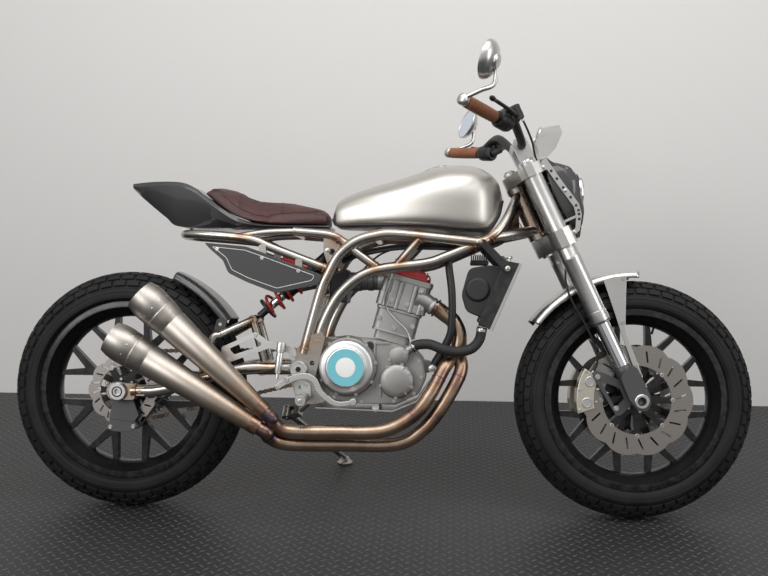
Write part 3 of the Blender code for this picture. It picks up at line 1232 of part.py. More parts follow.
def hugger():
    """The carbon shield over the front of the rear tyre, a crowned strip between the swing arm's beams."""
    radius = REAR_TYRE_RADIUS + HUGGER_GAP
    sections = []
    for step in range(9):
        angle = math.radians(HUGGER_START + (HUGGER_END - HUGGER_START) * step / 8)
        half = 0.084 - 0.030 * (step / 8) ** 2
        section = []
        for layer, order in ((0.003, 1), (0.0, -1)):
            for share, drop in ((-1.0, 0.026), (-0.85, 0.008), (-0.4, 0.0), (0.4, 0.0), (0.85, 0.008),
                                (1.0, 0.026))[::order]:
                reach = radius - drop + layer
                section.append((reach * math.cos(angle), share * (half + layer),
                                REAR_TYRE_RADIUS + reach * math.sin(angle)))
        sections.append(section)

    def on_strip(angle, drop):
        reach = radius - drop
        turn = math.radians(angle)
        return reach * math.cos(turn), REAR_TYRE_RADIUS + reach * math.sin(turn)

    arm = [(0.252, 0.482), (0.274, 0.482), on_strip(HUGGER_START - 1.2, 0.013),
           on_strip(HUGGER_START + 2.4, 0.009),
           on_strip(HUGGER_START + 3.4, 0.0275)]
    arms = both(plate(arm, 0.0845, 0.0885))
    tabs = both(box((0.254, 0.271), (0.086, 0.112), (0.484, 0.496)))
    piece("rear_hugger", frame_body, CARBON, [skin(sections), *arms, *tabs], both(outer_brace(CLEARANCE)))


def silencer_shape(extra=0.0):
    """The outer profile of a silencer from its small end to its mouth, grown all round by extra."""
    small, big = (Vector(end) for end in SILENCERS[0])
    length = (big - small).length
    a = SILENCER_SMALL_RADIUS + extra
    b = SILENCER_BIG_RADIUS + extra
    return [(0.0, 0.0), (0.0, a), (0.030, a), (0.034, a + 0.001), (0.14, a + 0.0085),
            (length - 0.115, b - 0.006),
            (length - 0.115, 0.0)]


def silencer_place(small, big):
    return Matrix.Translation(Vector(small)) @ (Vector(big) - Vector(small)).to_track_quat("Y",
        "Z").to_matrix().to_4x4()


def exhaust_hanger():
    """The bright triangular plate that bolts to the pivot plate and carries the upper silencer on a boss."""
    outer = -(RAIL_Y + 0.012 + CLEARANCE)
    inner = outer - HANGER_PLATE
    outline = [(0.300, 0.446), (0.303, 0.482), (0.400, 0.526), (0.438, 0.500), (0.504, 0.486),
               (0.516, 0.478), (0.519, 0.462), (0.514, 0.446), (0.503, 0.446), (0.496, 0.468),
               (0.439, 0.480), (0.330, 0.440), (0.318, 0.428)]
    window = [(0.330, 0.470), (0.326, 0.478), (0.396, 0.510), (0.418, 0.493), (0.414, 0.487),
              (0.340, 0.461)]
    x, z = HANGER_BOSS
    boss = tube([(x, outer - 0.001, z), (x, -0.190, z)], 0.0095, 10)
    seat = moved(turned(silencer_shape(CLEARANCE / math.cos(math.pi / 16)), 16),
                 silencer_place(*SILENCERS[0]))
    piece("exhaust_hanger", frame_body, ALUMINIUM, [plate(outline, inner, outer), boss],
          [plate(window, inner - 0.01, outer + 0.01), seat])


def rear_caliper():
    """The rear caliper, hung below the axle on a bracket between the wheel's spacer and the swing arm."""
    centre = (0, REAR_TYRE_RADIUS)
    block = []
    for radius, start, end in ((REAR_DISC_RADIUS + 0.015, 248, 296), (REAR_DISC_RADIUS - 0.034, 294, 250)):
        block += arc(centre, radius, start, end, 4)
    low = -(SWING_ARM_Y - 0.012) + CLEARANCE
    high = low + 0.0045
    far = REAR_DISC_Y + CALIPER_HALF_WIDTH
    ring = arc(centre, 0.024, 30, 210, 6)
    bracket = [*ring, (-0.034, REAR_TYRE_RADIUS - 0.082), (0.040, REAR_TYRE_RADIUS - 0.090),
               (0.054, REAR_TYRE_RADIUS - 0.070)]
    room = DISC_THICKNESS / 2 + PAD_GAP
    reach = REAR_DISC_RADIUS + RUNNING_GAP
    slot = turned([(REAR_DISC_Y - room, 0), (REAR_DISC_Y - room, reach), (REAR_DISC_Y + room, reach),
                   (REAR_DISC_Y + room, 0)],
                  40, (0, 0, REAR_TYRE_RADIUS))
    bore = hole(-0.2, 0.2, AXLE_RADIUS, 14, (0, 0, REAR_TYRE_RADIUS))
    piece("rear_caliper", frame_body, CAST, [plate(block, low + 0.002, far), plate(bracket, low, high)],
          [slot, bore])


def front_brake_hose():
    """The braided hose from the brake lever's cup, down between the legs and round to the right caliper."""
    route = [(0.0565, -0.2495, 0.8450), (0.0568, -0.2485, 0.8330), (0.0590, -0.2350, 0.8080),
             (0.0640, -0.1950, 0.7800),
             (0.0700, -0.1350, 0.7660), (0.0740, -0.0900, 0.7500), (0.0748, -0.0770, 0.7200), (0.0720,
                 -0.0700, 0.6850),
             (0.0640, -0.0520, 0.6300), (0.0625, -0.0430, 0.5700), (0.0625, -0.0420, 0.5100), (0.0590,
                 -0.0450, 0.4700),
             (0.0380, -0.0600, 0.4450), (0.0120, -0.0740, 0.4100), (-0.0020, -0.0835, 0.3700), (-0.0040,
                 -0.0865, 0.3250),
             (0.0010, -0.0870, 0.2700), (0.0020, -0.0860, 0.2150), (-0.0030, -0.0830, 0.1720), (-0.0140,
                 -0.0795, 0.1430),
             (-0.0288, -0.0775, 0.1298), (-0.0390, -0.0775, 0.12405)]
    curve = bpy.data.curves.new("front_brake_hose", "CURVE")
    curve.dimensions = "3D"
    curve.bevel_depth = HOSE_RADIUS
    curve.bevel_resolution = 2
    curve.use_fill_caps = True
    points = curve_through(route, 3)
    spline = curve.splines.new("POLY")
    spline.points.add(len(points) - 1)
    for spot, point in zip(spline.points, points):
        spot.co = (*point, 1.0)
    curve.materials.append(RUBBER)
    item = bpy.data.objects.new("front_brake_hose", curve)
    bpy.context.scene.collection.objects.link(item)
    item.parent = turned_fork


def footrest(name, side):
    """A folding peg on the bracket that bolts to the frame's pivot plate."""
    face = side * (RAIL_Y + 0.012 + CLEARANCE)
    bracket_far = face + side * 0.010
    outline = [(0.536, 0.392), (0.512, 0.385), (0.520, 0.336), (0.548, 0.330), (0.562, 0.345),
               (0.560, 0.380)]
    bracket = plate(outline, min(face, bracket_far), max(face, bracket_far))
    peg = tube([(0.548, face + side * 0.004, 0.346), (0.548, side * 0.178, 0.346),
                (0.5481, side * 0.1781, 0.346),
                (0.548, side * 0.262, 0.344)], [0.010, 0.010, 0.015, 0.014], 8)
    piece(name, frame_body, ALUMINIUM, [bracket, peg])


def foot_levers():
    """The rear brake pedal on the right and the gear lever on the left, each on its own boss."""
    y = -0.196
    pedal = [(0.470, y, 0.372), (0.500, y, 0.392), (0.543, y, 0.407), (0.575, y, 0.398), (0.598, y, 0.360),
             (0.640, y, 0.332),
             (0.690, y, 0.336)]
    boss = tube([(0.500, -RAIL_Y - 0.0125, 0.396), (0.500, -RAIL_Y - 0.030, 0.396),
                 (0.500, y - 0.004, 0.396)], 0.009, 8)
    pad = tube([(0.688, y + 0.020, 0.338), (0.688, y - 0.022, 0.338)], 0.010, 8)
    piece("brake_pedal", frame_body, ALUMINIUM, [tube(curve_through(pedal, 2), 0.0075, 6), boss, pad])
    y = 0.160
    shift = [(0.628, y, 0.372), (0.680, y, 0.362), (0.740, y, 0.352), (0.752, y + 0.004, 0.352),
             (0.752, y + 0.050, 0.352)]
    spindle = tube([(0.628, 0.0745, 0.372), (0.628, y + 0.008, 0.372)], 0.009, 8)
    piece("gear_lever", frame_body, ALUMINIUM, [tube(shift, 0.0065, 6), spindle])


def skid_plate():
    """The folded plate under the crankcase."""
    outline = [(0.566, 0.306), (0.790, 0.300), (0.862, 0.330), (0.898, 0.386), (0.8945, 0.3875),
               (0.858, 0.3335),
               (0.789, 0.304), (0.566, 0.310)]
    supports = [box((x - 0.010, x + 0.010), (y - 0.010, y + 0.010), (0.303, 0.3229)) for x,
                y in ((0.740, 0.060), (0.740, -0.060))]
    piece("skid_plate", frame_body, ALUMINIUM, [plate(outline, -0.085, 0.080), *supports])


def hangers():
    """The black struts from the rails down to the front of the engine, with the plate that ties them."""
    strut = [(0.944, 0.0930, 0.758), (0.948, 0.0930, 0.715), (0.957, 0.1005, 0.640), (0.957, 0.1005, 0.550),
             (0.944, 0.096, 0.500), (HANGER_X, 0.086, HANGER_Z)]
    forms = both(tube(strut, 0.011, 6))
    forms.append(tube([(HANGER_X, -0.088, HANGER_Z), (HANGER_X, 0.088, HANGER_Z)], HANGER_RADIUS, 8))
    piece("engine_hanger", frame_body, SATIN_BLACK, forms)


def side_stand():
    """The leg on the left: it swings back and up round its pivot bolt, and a foot plate lies on the ground."""
    pivot = Vector(STAND_PIVOT)
    foot = Vector(STAND_FOOT)
    to_ground = (frame_body.matrix_basis.to_3x3()).inverted() @ Vector((0, 0, 1))
    leg_end = foot + to_ground * 0.016
    reach = STAND_AXIS * STAND_EYE_HALF
    eye = tube([pivot - reach, pivot + reach], STAND_EYE_RADIUS, 12)
    leg = tube([pivot, pivot.lerp(leg_end, 0.5), leg_end], STAND_LEG_RADIUS, 8)
    pad = tube([foot + to_ground * 0.0, foot + to_ground * 0.005, foot + to_ground * 0.022],
               [0.026, 0.026, 0.012], 12)
    bore = moved(hole(-0.1, 0.1, STAND_PIN_RADIUS, 12),
                 Matrix.Translation(pivot) @ STAND_AXIS.to_track_quat("Y", "Z").to_matrix().to_4x4())
    return [eye, leg, pad], bore


def chain():
    """The drive chain as one loop round both sprockets."""
    drive = CHAIN_PITCH * DRIVE_TEETH / (2 * math.pi)
    driven = CHAIN_PITCH * REAR_TEETH / (2 * math.pi)
    dx = DRIVE_X
    dz = DRIVE_Z - REAR_TYRE_RADIUS
    distance = math.hypot(dx, dz)
    tilt = math.degrees(math.atan2(dz, dx))
    wrap = math.degrees(math.acos((driven - drive) / distance))

    def loop(offset):
        points = arc((0, REAR_TYRE_RADIUS), driven + offset, tilt + wrap, tilt + 360 - wrap, 20)
        points += arc((DRIVE_X, DRIVE_Z), drive + offset, tilt - wrap, tilt + wrap, 8)
        return points

    half = CHAIN_HEIGHT / 2
    outer = loop(half)
    inner = loop(-half)
    count = len(outer)
    verts = []
    for y in (CHAIN_Y - CHAIN_WIDTH / 2, CHAIN_Y + CHAIN_WIDTH / 2):
        verts += [(x, y, z) for x, z in outer] + [(x, y, z) for x, z in inner]
    faces = []
    for step in range(count):
        after = (step + 1) % count
        a, b, c, d = step, after, count + after, count + step
        e, f, g, h = (corner + 2 * count for corner in (a, b, c, d))
        faces += [[a, b, c, d], [e, h, g, f], [a, e, f, b], [d, c, g, h]]
    piece("drive_chain", frame_body, STEEL, [(verts, faces)])
    radius = driven - half - RUNNING_GAP
    low = CHAIN_Y - 0.003
    rim = plate(arc((0, 0), radius, 0, 360, 28)[:-1], low, CHAIN_Y + 0.003)
    item = mesh_object("rear_sprocket", rim, STEEL)
    combine(item, [turned([(low - 0.01, 0), (low - 0.01, radius - 0.024), (low + 0.02, radius - 0.024),
                           (low + 0.02, 0)], 20)],
            "DIFFERENCE")
    ring = turned([(REAR_HUB_FACE + CLEARANCE, 0.0215), (CHAIN_Y + 0.003, 0.0215), (CHAIN_Y + 0.003, 0.040),
                   (REAR_HUB_FACE + CLEARANCE, 0.040)], 14)
    arms = []
    for number in range(5):
        bar = box((0.034, radius - 0.018), (low + 0.0005, CHAIN_Y + 0.0025), (-0.009, 0.009))
        arms.append(moved(bar, Matrix.Rotation(2 * math.pi * number / 5, 4, "Y")))
    combine(item, [ring, *arms], "UNION")
    item.parent = rear_wheel


clutch_cover()
engine()
cylinder()
shock()
exhaust()
radiator()
chain()
hugger()
exhaust_hanger()
rear_caliper()
front_brake_hose()
footrest("footrest_right", -1)
footrest("footrest_left", 1)
foot_levers()
skid_plate()
hangers()
intake()
tank()
seat()
tail_cowl()
side_panel("side_panel_right", -1)
side_panel("side_panel_left", 1)

stand_joint = empty("side_stand_axis", frame_body, STAND_PIVOT,
                    STAND_AXIS.to_track_quat("Z", "X").to_euler())
stand_forms, stand_bore = side_stand()
to_local = (Matrix.Translation(Vector(STAND_PIVOT)) @ STAND_AXIS.to_track_quat("Z",
    "X").to_matrix().to_4x4()).inverted()
piece("side_stand", stand_joint, STEEL, [moved(form, to_local) for form in stand_forms],
      [moved(stand_bore, to_local)])
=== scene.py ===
# %% [markdown]
# # A flat track motorcycle, dressed for its portrait
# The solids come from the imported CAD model. This lesson puts the finish on them: it rebuilds the round and
# soft pieces as fine surfaces, gives every piece a material with its own grain, and adds the small trim.
# Everything is in metres, +X forward, +Y to the rider's left and +Z up.

# %% Load the fixed frame
import json
import math

import bmesh
import bpy
import numpy as np
from mathutils import Matrix, Vector
from mathutils.bvhtree import BVHTree


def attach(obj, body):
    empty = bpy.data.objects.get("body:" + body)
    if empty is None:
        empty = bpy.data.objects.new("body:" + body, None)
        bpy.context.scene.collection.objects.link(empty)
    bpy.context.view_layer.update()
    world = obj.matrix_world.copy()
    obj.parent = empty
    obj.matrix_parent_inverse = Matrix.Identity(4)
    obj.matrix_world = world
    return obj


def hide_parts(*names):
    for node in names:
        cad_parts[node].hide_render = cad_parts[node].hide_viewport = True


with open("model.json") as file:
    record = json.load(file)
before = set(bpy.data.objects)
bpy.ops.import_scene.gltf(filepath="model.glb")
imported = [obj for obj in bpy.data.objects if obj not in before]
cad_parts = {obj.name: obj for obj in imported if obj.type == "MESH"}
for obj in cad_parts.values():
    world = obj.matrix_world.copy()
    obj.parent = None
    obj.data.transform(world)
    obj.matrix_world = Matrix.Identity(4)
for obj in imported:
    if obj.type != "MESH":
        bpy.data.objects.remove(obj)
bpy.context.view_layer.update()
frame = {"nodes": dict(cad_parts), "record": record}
BODY_OF = {node: body for body, nodes in frame["record"]["behaviour"]["bodies"].items() for node in nodes}

# %% [markdown]
# The machine leans ten degrees on its side stand. All its pieces are easier to think of upright, so each
# is worked out in the upright machine's own coordinates (x = 0 at the rear axle, z = 0 under the wheels)
# and one matrix leans it over. A second matrix, for the pieces on the fork, has z running up the steering
# axis.

# %% Where the upright machine and the fork stand
ORIGIN_X, ORIGIN_Y = 0.7397, 0.2008
LEAN, LEAN_PITCH = math.radians(10.0), 0.000526
RAKE, STEER_REST = math.radians(25.4), math.radians(3.0)
WHEELBASE, FORK_OFFSET = 1.484, 0.047
FRONT_RADIUS, REAR_RADIUS = 0.3435, 0.349

upright = Matrix.Translation((0, 0.0478, 0.34482)) @ Matrix.Rotation(-LEAN, 4, "X")
lean_turn = Matrix.Rotation(LEAN_PITCH, 4, "Y") @ Matrix.Rotation(-LEAN, 4, "X")
under_hub = (upright @ Matrix.Translation((0, 0, -REAR_RADIUS))).to_translation()
machine_at = under_hub - Vector((ORIGIN_X, ORIGIN_Y, 0))
MACHINE = Matrix.Translation(machine_at) @ lean_turn
head_foot = Vector((WHEELBASE, 0, FRONT_RADIUS)) - FORK_OFFSET * Vector((math.cos(RAKE), 0, math.sin(RAKE)))
STRAIGHT_FORK = Matrix.Translation(head_foot) @ Matrix.Rotation(-RAKE, 4, "Y")
FORK = MACHINE @ STRAIGHT_FORK @ Matrix.Rotation(STEER_REST, 4, "Z")
fork_down = FORK.to_3x3().inverted() @ Vector((0, 0, -1))
wheel_spin = math.atan2(-fork_down.x, -fork_down.z)
FRONT_WHEEL = FORK @ Matrix.Translation((FORK_OFFSET, 0, 0)) @ Matrix.Rotation(wheel_spin, 4, "Y")
REAR_WHEEL = MACHINE @ Matrix.Translation((0, 0, REAR_RADIUS))
print("front hub at", [round(v, 3) for v in FRONT_WHEEL.to_translation()])

# %% [markdown]
# The camera was found from the photograph: the two wheels' ellipses give its distance, height and tilt. It
# goes in first, so that every later piece can be judged from the same place as the photograph.

# %% Camera
CAMERA_PLACE = (0.9597 - ORIGIN_X, -2.9009 - ORIGIN_Y, 1.134)
CAMERA_DOWN, CAMERA_TURN = 9.17, 3.88
SENSOR_WIDTH = 36.0
FOCAL_PIXELS, PHOTO_WIDTH = 1028.2, 768

camera_data = bpy.data.cameras.new("camera")
camera_data.sensor_width = SENSOR_WIDTH
camera_data.lens = FOCAL_PIXELS / PHOTO_WIDTH * SENSOR_WIDTH
camera = bpy.data.objects.new("camera", camera_data)
camera.location = CAMERA_PLACE
camera.rotation_euler = (math.radians(90 - CAMERA_DOWN), 0, math.radians(CAMERA_TURN))
bpy.context.scene.collection.objects.link(camera)
bpy.context.scene.camera = camera

# %% [markdown]
# A surface is a grid of points, the value of a function of two parameters. `grid` joins neighbours into
# quads and can wrap either way round, so a ring, a tube and a sheet are one idea. Working on whole arrays
# keeps it quick: there is no loop over vertices.

# %% Surfaces from grids of points
def grid(points, wrap_rows=False, wrap_columns=False, caps=False):
    """Quads between neighbours in a (rows, columns, 3) array. Wrapping joins the last to the first."""
    rows, columns = points.shape[:2]
    index = np.arange(rows * columns).reshape(rows, columns)
    ends = [index[0][::-1].tolist(), index[-1].tolist()]
    if wrap_rows:
        index = np.vstack([index, index[:1]])
    if wrap_columns:
        index = np.hstack([index, index[:, :1]])
    quads = np.stack([index[:-1, :-1], index[:-1, 1:], index[1:, 1:], index[1:, :-1]], -1).reshape(-1, 4)
    return points.reshape(-1, 3), quads.tolist() + (ends if caps else [])


def unit(vectors):
    """Each vector divided by its length."""
    return vectors / np.linalg.norm(vectors, axis=-1, keepdims=True)


def angles(count):
    """Equal steps once round, in radians."""
    return np.linspace(0, 2 * math.pi, count, endpoint=False)


def spot_round(centre, radius, angle, y):
    """The point at an angle and a distance from the line along Y through centre."""
    return centre[0] + radius * math.cos(angle), y, centre[2] + radius * math.sin(angle)


def hoop(radius, y, count):
    """A circle of points about the Y axis."""
    angle = angles(count)
    return np.column_stack([radius * np.cos(angle), y + 0 * angle, radius * np.sin(angle)])


def smooth_path(points, count, closed=False):
    """A curve through the points: each stretch is a cubic, its slope half the step between neighbours."""
    points = np.asarray(points, float)
    if closed:
        ends = np.vstack([points[-1], points, points[:2]])
    else:
        ends = np.vstack([2 * points[0] - points[1], points, 2 * points[-1] - points[-2]])
    stretches = len(ends) - 3
    place = np.linspace(0, stretches, count, endpoint=not closed)
    start = np.minimum(place.astype(int), stretches - 1)
    t = (place - start)[:, None]
    a, b, c, d = (ends[start + step] for step in range(4))
    return 0.5 * (2 * b + (c - a) * t + (2 * a - 5 * b + 4 * c - d) * t**2 + (3 * b - a - 3 * c + d) * t**3)


def smooth_table(table):
    """A function that reads a value off the smooth curve through (x, value) pairs."""
    x, value = smooth_path(table, 40 * len(table)).T
    return lambda at: np.interp(at, x, value)


def pipe(points, radius, sides=24, closed=False, caps=True):
    """A circle carried along a path, square to it: point = path + radius (side cos a + up sin a)."""
    points = np.asarray(points, float)
    radii = np.broadcast_to(radius, len(points))[:, None, None]
    ahead = np.roll(points, -1, 0) - np.roll(points, 1, 0) if closed else np.gradient(points, axis=0)
    ahead = unit(ahead)
    flat_way = np.linalg.svd(points - points.mean(0) + 1e-9)[2][-1]
    if len(points) < 3 or np.abs(ahead @ flat_way).max() > 0.95:
        flat_way = np.eye(3)[np.argmin(np.abs(ahead[0]))]
    side = unit(np.cross(ahead, flat_way))
    up = np.cross(side, ahead)
    angle = angles(sides)[None, :, None]
    ring = points[:, None] + radii * (side[:, None] * np.cos(angle) + up[:, None] * np.sin(angle))
    return grid(ring, closed, True, caps and not closed)


def bent(points, radius, count=48, sides=24):
    return pipe(smooth_path(points, count), radius, sides)


def rod(x, places, z, radius, sides):
    """A straight pipe across the machine through the given places in Y."""
    return pipe([(x, y, z) for y in places], radius, sides)


def cross_tube(x, half, z, radius, count=9, sides=28):
    return bent([(x, -half, z), (x, 0, z), (x, half, z)], radius, count, sides)


def turned(profile, steps=64, centre=(0, 0, 0), closed=False):
    """A profile of (y, radius) pairs turned about the Y axis: x = r cos a, z = r sin a."""
    y, radius = np.asarray(profile, float).T[:, :, None]
    angle = angles(steps)[None]
    points = np.stack([radius * np.cos(angle), y + 0 * angle, radius * np.sin(angle)], -1)
    return grid(points + np.array(centre), closed, True)


def plate(outline, low, high):
    """An outline in (x, z) drawn out along Y from low to high."""
    outline = np.asarray(outline, float)
    flat = np.zeros((2, len(outline), 3))
    flat[:, :, 0], flat[:, :, 2] = outline[:, 0], outline[:, 1]
    flat[0, :, 1], flat[1, :, 1] = low, high
    return grid(flat, False, True, True)


def rounded(corners, radius, steps=4):
    """The outline with each corner turned into an arc-like curve that starts radius away from it."""
    corners = np.asarray(corners, float)
    before = unit(np.roll(corners, 1, 0) - corners)
    after = unit(np.roll(corners, -1, 0) - corners)
    t = np.linspace(0, 1, steps + 1)[None, :, None]
    start, end = (corners + radius * way for way in (before, after))
    curve = (1 - t) ** 2 * start[:, None] + 2 * t * (1 - t) * corners[:, None] + t**2 * end[:, None]
    return curve.reshape(-1, 2)


def box(x, y, z, corner=0.0):
    outline = [(x[0], z[0]), (x[1], z[0]), (x[1], z[1]), (x[0], z[1])]
    return plate(rounded(outline, corner) if corner else outline, y[0], y[1])


def placed(form, matrix):
    matrix = np.array(matrix)
    return form[0] @ matrix[:3, :3].T + matrix[:3, 3], form[1]


def mirrored(form):
    return form[0] * np.array([1, -1, 1]), [face[::-1] for face in form[1]]


def both(*forms):
    """Each form, and its mirror image across the machine's middle plane."""
    return [side for form in forms for side in (form, mirrored(form))]


STAND_UP = Matrix.Rotation(math.pi / 2, 4, "X")


def slab(x, y, z, corner):
    """A rounded rectangle in (x, y), drawn out along Z."""
    return placed(box(x, (-z[1], -z[0]), y, corner), Matrix.Rotation(-math.pi / 2, 4, "X"))


def column(profile, x=0.0, y=0.0, steps=48):
    """A profile of (height, radius) pairs turned about the vertical through (x, y)."""
    return placed(turned(profile, steps), Matrix.Translation((x, y, 0)) @ STAND_UP)


def pointing(centre, way):
    """The matrix that lays a turned form's axis along a direction, with its origin at centre."""
    turn = Vector((0, 1, 0)).rotation_difference(Vector(way))
    return Matrix.Translation(Vector(centre)) @ turn.to_matrix().to_4x4()


def aimed(profile, steps, centre, way):
    """A turned profile whose axis starts at centre and runs along a direction."""
    return placed(turned(profile, steps), pointing(centre, way))


def ring_of(form, count, start=0.0, centre=(0, 0, 0)):
    """Copies of a form spaced evenly about the Y axis through centre."""
    there = Matrix.Translation(Vector(centre))
    turns = [Matrix.Rotation(start + 2 * math.pi * n / count, 4, "Y") for n in range(count)]
    return [placed(form, there @ turn @ there.inverted()) for turn in turns]


def bolt(centre, way, radius, height=None, hexagon=False):
    """A socket cap or a hexagon head on a washer, sunk a little into what it holds."""
    tall = height or radius * 0.9
    if hexagon:
        head = turned([(tall * 0.2, 0), (tall * 0.2, radius), (tall, radius), (tall * 1.1, radius * 0.85),
                (tall * 1.1, 0)], 6)
    else:
        head = turned([(0, 0), (0, radius), (tall * 0.85, radius), (tall, radius * 0.88),
                (tall, radius * 0.55), (tall * 0.4, radius * 0.5), (tall * 0.4, 0)], 20)
    washer = turned([(-0.0015, 0), (-0.0015, radius * 1.25), (tall * 0.22, radius * 1.25),
            (tall * 0.22, 0)], 20)
    return [placed(form, pointing(centre, way)) for form in (head, washer)]


def bolts(centres, way, radius, height=None, hexagon=False):
    return [form for centre in centres for form in bolt(centre, way, radius, height, hexagon)]


def side_bolts(centres, radius, height=None, hexagon=False):
    """Outward bolts on both sides of the machine, from the centres of those on the left."""
    made = []
    for side in (1, -1):
        made += bolts([(x, side * y, z) for x, y, z in centres], (0, side, 0), radius, height, hexagon)
    return made


# %% [markdown]
# A flat sheet with holes is easiest as a filled curve: Blender fills between an outer outline and the
# holes inside it, and draws the sheet out to its thickness. The brake discs, sprocket and drilled strips
# use it.

# %% Sheets with holes, and finished pieces
def cut_sheet(outlines, low, high):
    """The area inside the first outline and outside the others, in (x, z), drawn out along Y."""
    curve = bpy.data.curves.new("sheet", "CURVE")
    curve.dimensions = "2D"
    curve.fill_mode = "BOTH"
    curve.extrude = (high - low) / 2
    for outline in outlines:
        spline = curve.splines.new("POLY")
        spline.points.add(len(outline) - 1)
        flat = np.column_stack([outline, np.zeros(len(outline)), np.ones(len(outline))])
        spline.points.foreach_set("co", flat.ravel())
        spline.use_cyclic_u = True
    holder = bpy.data.objects.new("sheet", curve)
    mesh = bpy.data.meshes.new_from_object(holder)
    points = np.zeros(len(mesh.vertices) * 3)
    mesh.vertices.foreach_get("co", points)
    points = points.reshape(-1, 3)[:, [0, 2, 1]] + np.array([0, (low + high) / 2, 0])
    faces = [list(face.vertices) for face in mesh.polygons]
    bpy.data.objects.remove(holder)
    bpy.data.curves.remove(curve)
    bpy.data.meshes.remove(mesh)
    return points, faces


def circle(x, z, radius, count=24):
    angle = angles(count)
    return np.column_stack([x + radius * np.cos(angle), z + radius * np.sin(angle)])


BEVEL_LIMIT, BEVEL_STEPS = 40, 2
MERGE_NEAR, MERGE_CAD = 1e-6, 1e-5


def finish(item, body, material, sharp, bevel, replaces):
    """What every piece gets: shading, material, rounded edges, its body and the nodes it stands for."""
    mesh = item.data
    mesh.materials.clear()
    mesh.materials.append(material)
    mesh.shade_smooth()
    mesh.set_sharp_from_angle(angle=math.radians(sharp))
    bpy.context.scene.collection.objects.link(item)
    if bevel:
        change = item.modifiers.new("rounded edges", "BEVEL")
        change.width = bevel
        change.segments = BEVEL_STEPS
        change.limit_method = "ANGLE"
        change.angle_limit = math.radians(BEVEL_LIMIT)
        change.harden_normals = True
    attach(item, body)
    if replaces:
        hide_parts(*replaces)
    return item


def piece(name, body, material, forms, place=MACHINE, bevel=0.0, sharp=35, replaces=(), heat=None):
    """Joins forms into one object whose place is in its mesh, with its faces turned outward."""
    points, faces, count = [], [], 0
    for form_points, form_faces in forms:
        points.append(form_points)
        faces += [[corner + count for corner in face] for face in form_faces]
        count += len(form_points)
    points = np.vstack(points)
    mesh = bpy.data.meshes.new(name)
    mesh.from_pydata(placed((points, 0), place)[0], [], faces)
    if heat is not None:
        mesh.attributes.new("heat_tint", "FLOAT", "POINT").data.foreach_set("value", heat(points))
    work = bmesh.new()
    work.from_mesh(mesh)
    bmesh.ops.remove_doubles(work, verts=work.verts, dist=MERGE_NEAR)
    bmesh.ops.recalc_face_normals(work, faces=work.faces)
    work.to_mesh(mesh)
    work.free()
    return finish(bpy.data.objects.new(name, mesh), body, material, sharp, bevel, replaces)


def dressed(node, material, bevel=0.0008, sharp=35):
    """A fine copy of a CAD node whose shape is right: corners merged, flats joined, edges rounded."""
    mesh = frame["nodes"][node].data.copy()
    work = bmesh.new()
    work.from_mesh(mesh)
    bmesh.ops.remove_doubles(work, verts=work.verts, dist=MERGE_CAD)
    bmesh.ops.dissolve_limit(work, angle_limit=math.radians(1), verts=work.verts, edges=work.edges)
    work.to_mesh(mesh)
    work.free()
    return finish(bpy.data.objects.new(node + "_dressed", mesh), BODY_OF[node], material, sharp, bevel,
        (node,))


# %% [markdown]
# Real surfaces vary: brushed metal is streaked, castings are pitted, leather is pebbled and carbon cloth
# is woven. Each such effect is one node group with named inputs, so that a single weave or grain serves
# every piece that has it. A group gives only what changes over the surface, and the material's own sockets
# hold the plain numbers.

# %% Node groups
def node(tree, kind, settings=None, **inputs):
    """Adds a node with its options. inputs are numbers, vectors or sockets, by name or as n0, n1."""
    made = tree.nodes.new("ShaderNode" + kind)
    for key, value in (settings or {}).items():
        setattr(made, key, value)
    for key, value in inputs.items():
        socket = made.inputs[int(key[1:]) if key[1:].isdigit() else key.replace("_", " ")]
        if isinstance(value, bpy.types.NodeSocket):
            tree.links.new(value, socket)
        else:
            socket.default_value = value
    return made


def group(name, inputs, build):
    """A node group: inputs are {name: default}; build(tree, inputs, coordinates) gives {name: socket}."""
    tree = bpy.data.node_groups.new(name, "ShaderNodeTree")
    for title, value in inputs.items():
        kind = "NodeSocketVector" if isinstance(value, tuple) else "NodeSocketFloat"
        tree.interface.new_socket(title, in_out="INPUT", socket_type=kind).default_value = value
    entry = tree.nodes.new("NodeGroupInput")
    where = tree.nodes.new("ShaderNodeTexCoord").outputs["Object"]
    made = build(tree, entry.outputs, where)
    leave = tree.nodes.new("NodeGroupOutput")
    for title, socket in made.items():
        kind = {"VALUE": "NodeSocketFloat", "RGBA": "NodeSocketColor",
            "VECTOR": "NodeSocketVector"}[socket.type]
        tree.interface.new_socket(title, in_out="OUTPUT", socket_type=kind)
        tree.links.new(socket, leave.inputs[title])
    return tree


def maths(tree, operation, *values):
    """One arithmetic node: its operation, then its numbers or sockets in order."""
    return node(tree, "Math", {"operation": operation},
        **{f"n{k}": value for k, value in enumerate(values)}).outputs[0]


def noise(tree, where, scale, detail):
    return node(tree, "TexNoise", Vector=where, Scale=scale, Detail=detail).outputs[0]


def ranged(tree, value, low, high, to_low=0.0, to_high=1.0):
    """The value carried from the span low to high onto the span to_low to to_high, and held inside it."""
    return node(tree, "MapRange", n0=value, n1=low, n2=high, n3=to_low, n4=to_high).outputs[0]


def blended(tree, share, low, high):
    return node(tree, "Mix", {"data_type": "FLOAT"}, n0=share, n2=low, n3=high).outputs[0]


def tinted(tree, share, low, high):
    return node(tree, "Mix", {"data_type": "RGBA"}, n0=share, n6=low, n7=high).outputs[2]


def bumped(tree, height, strength, distance=0.001):
    return node(tree, "Bump", Strength=strength, Distance=distance, Height=height).outputs["Normal"]


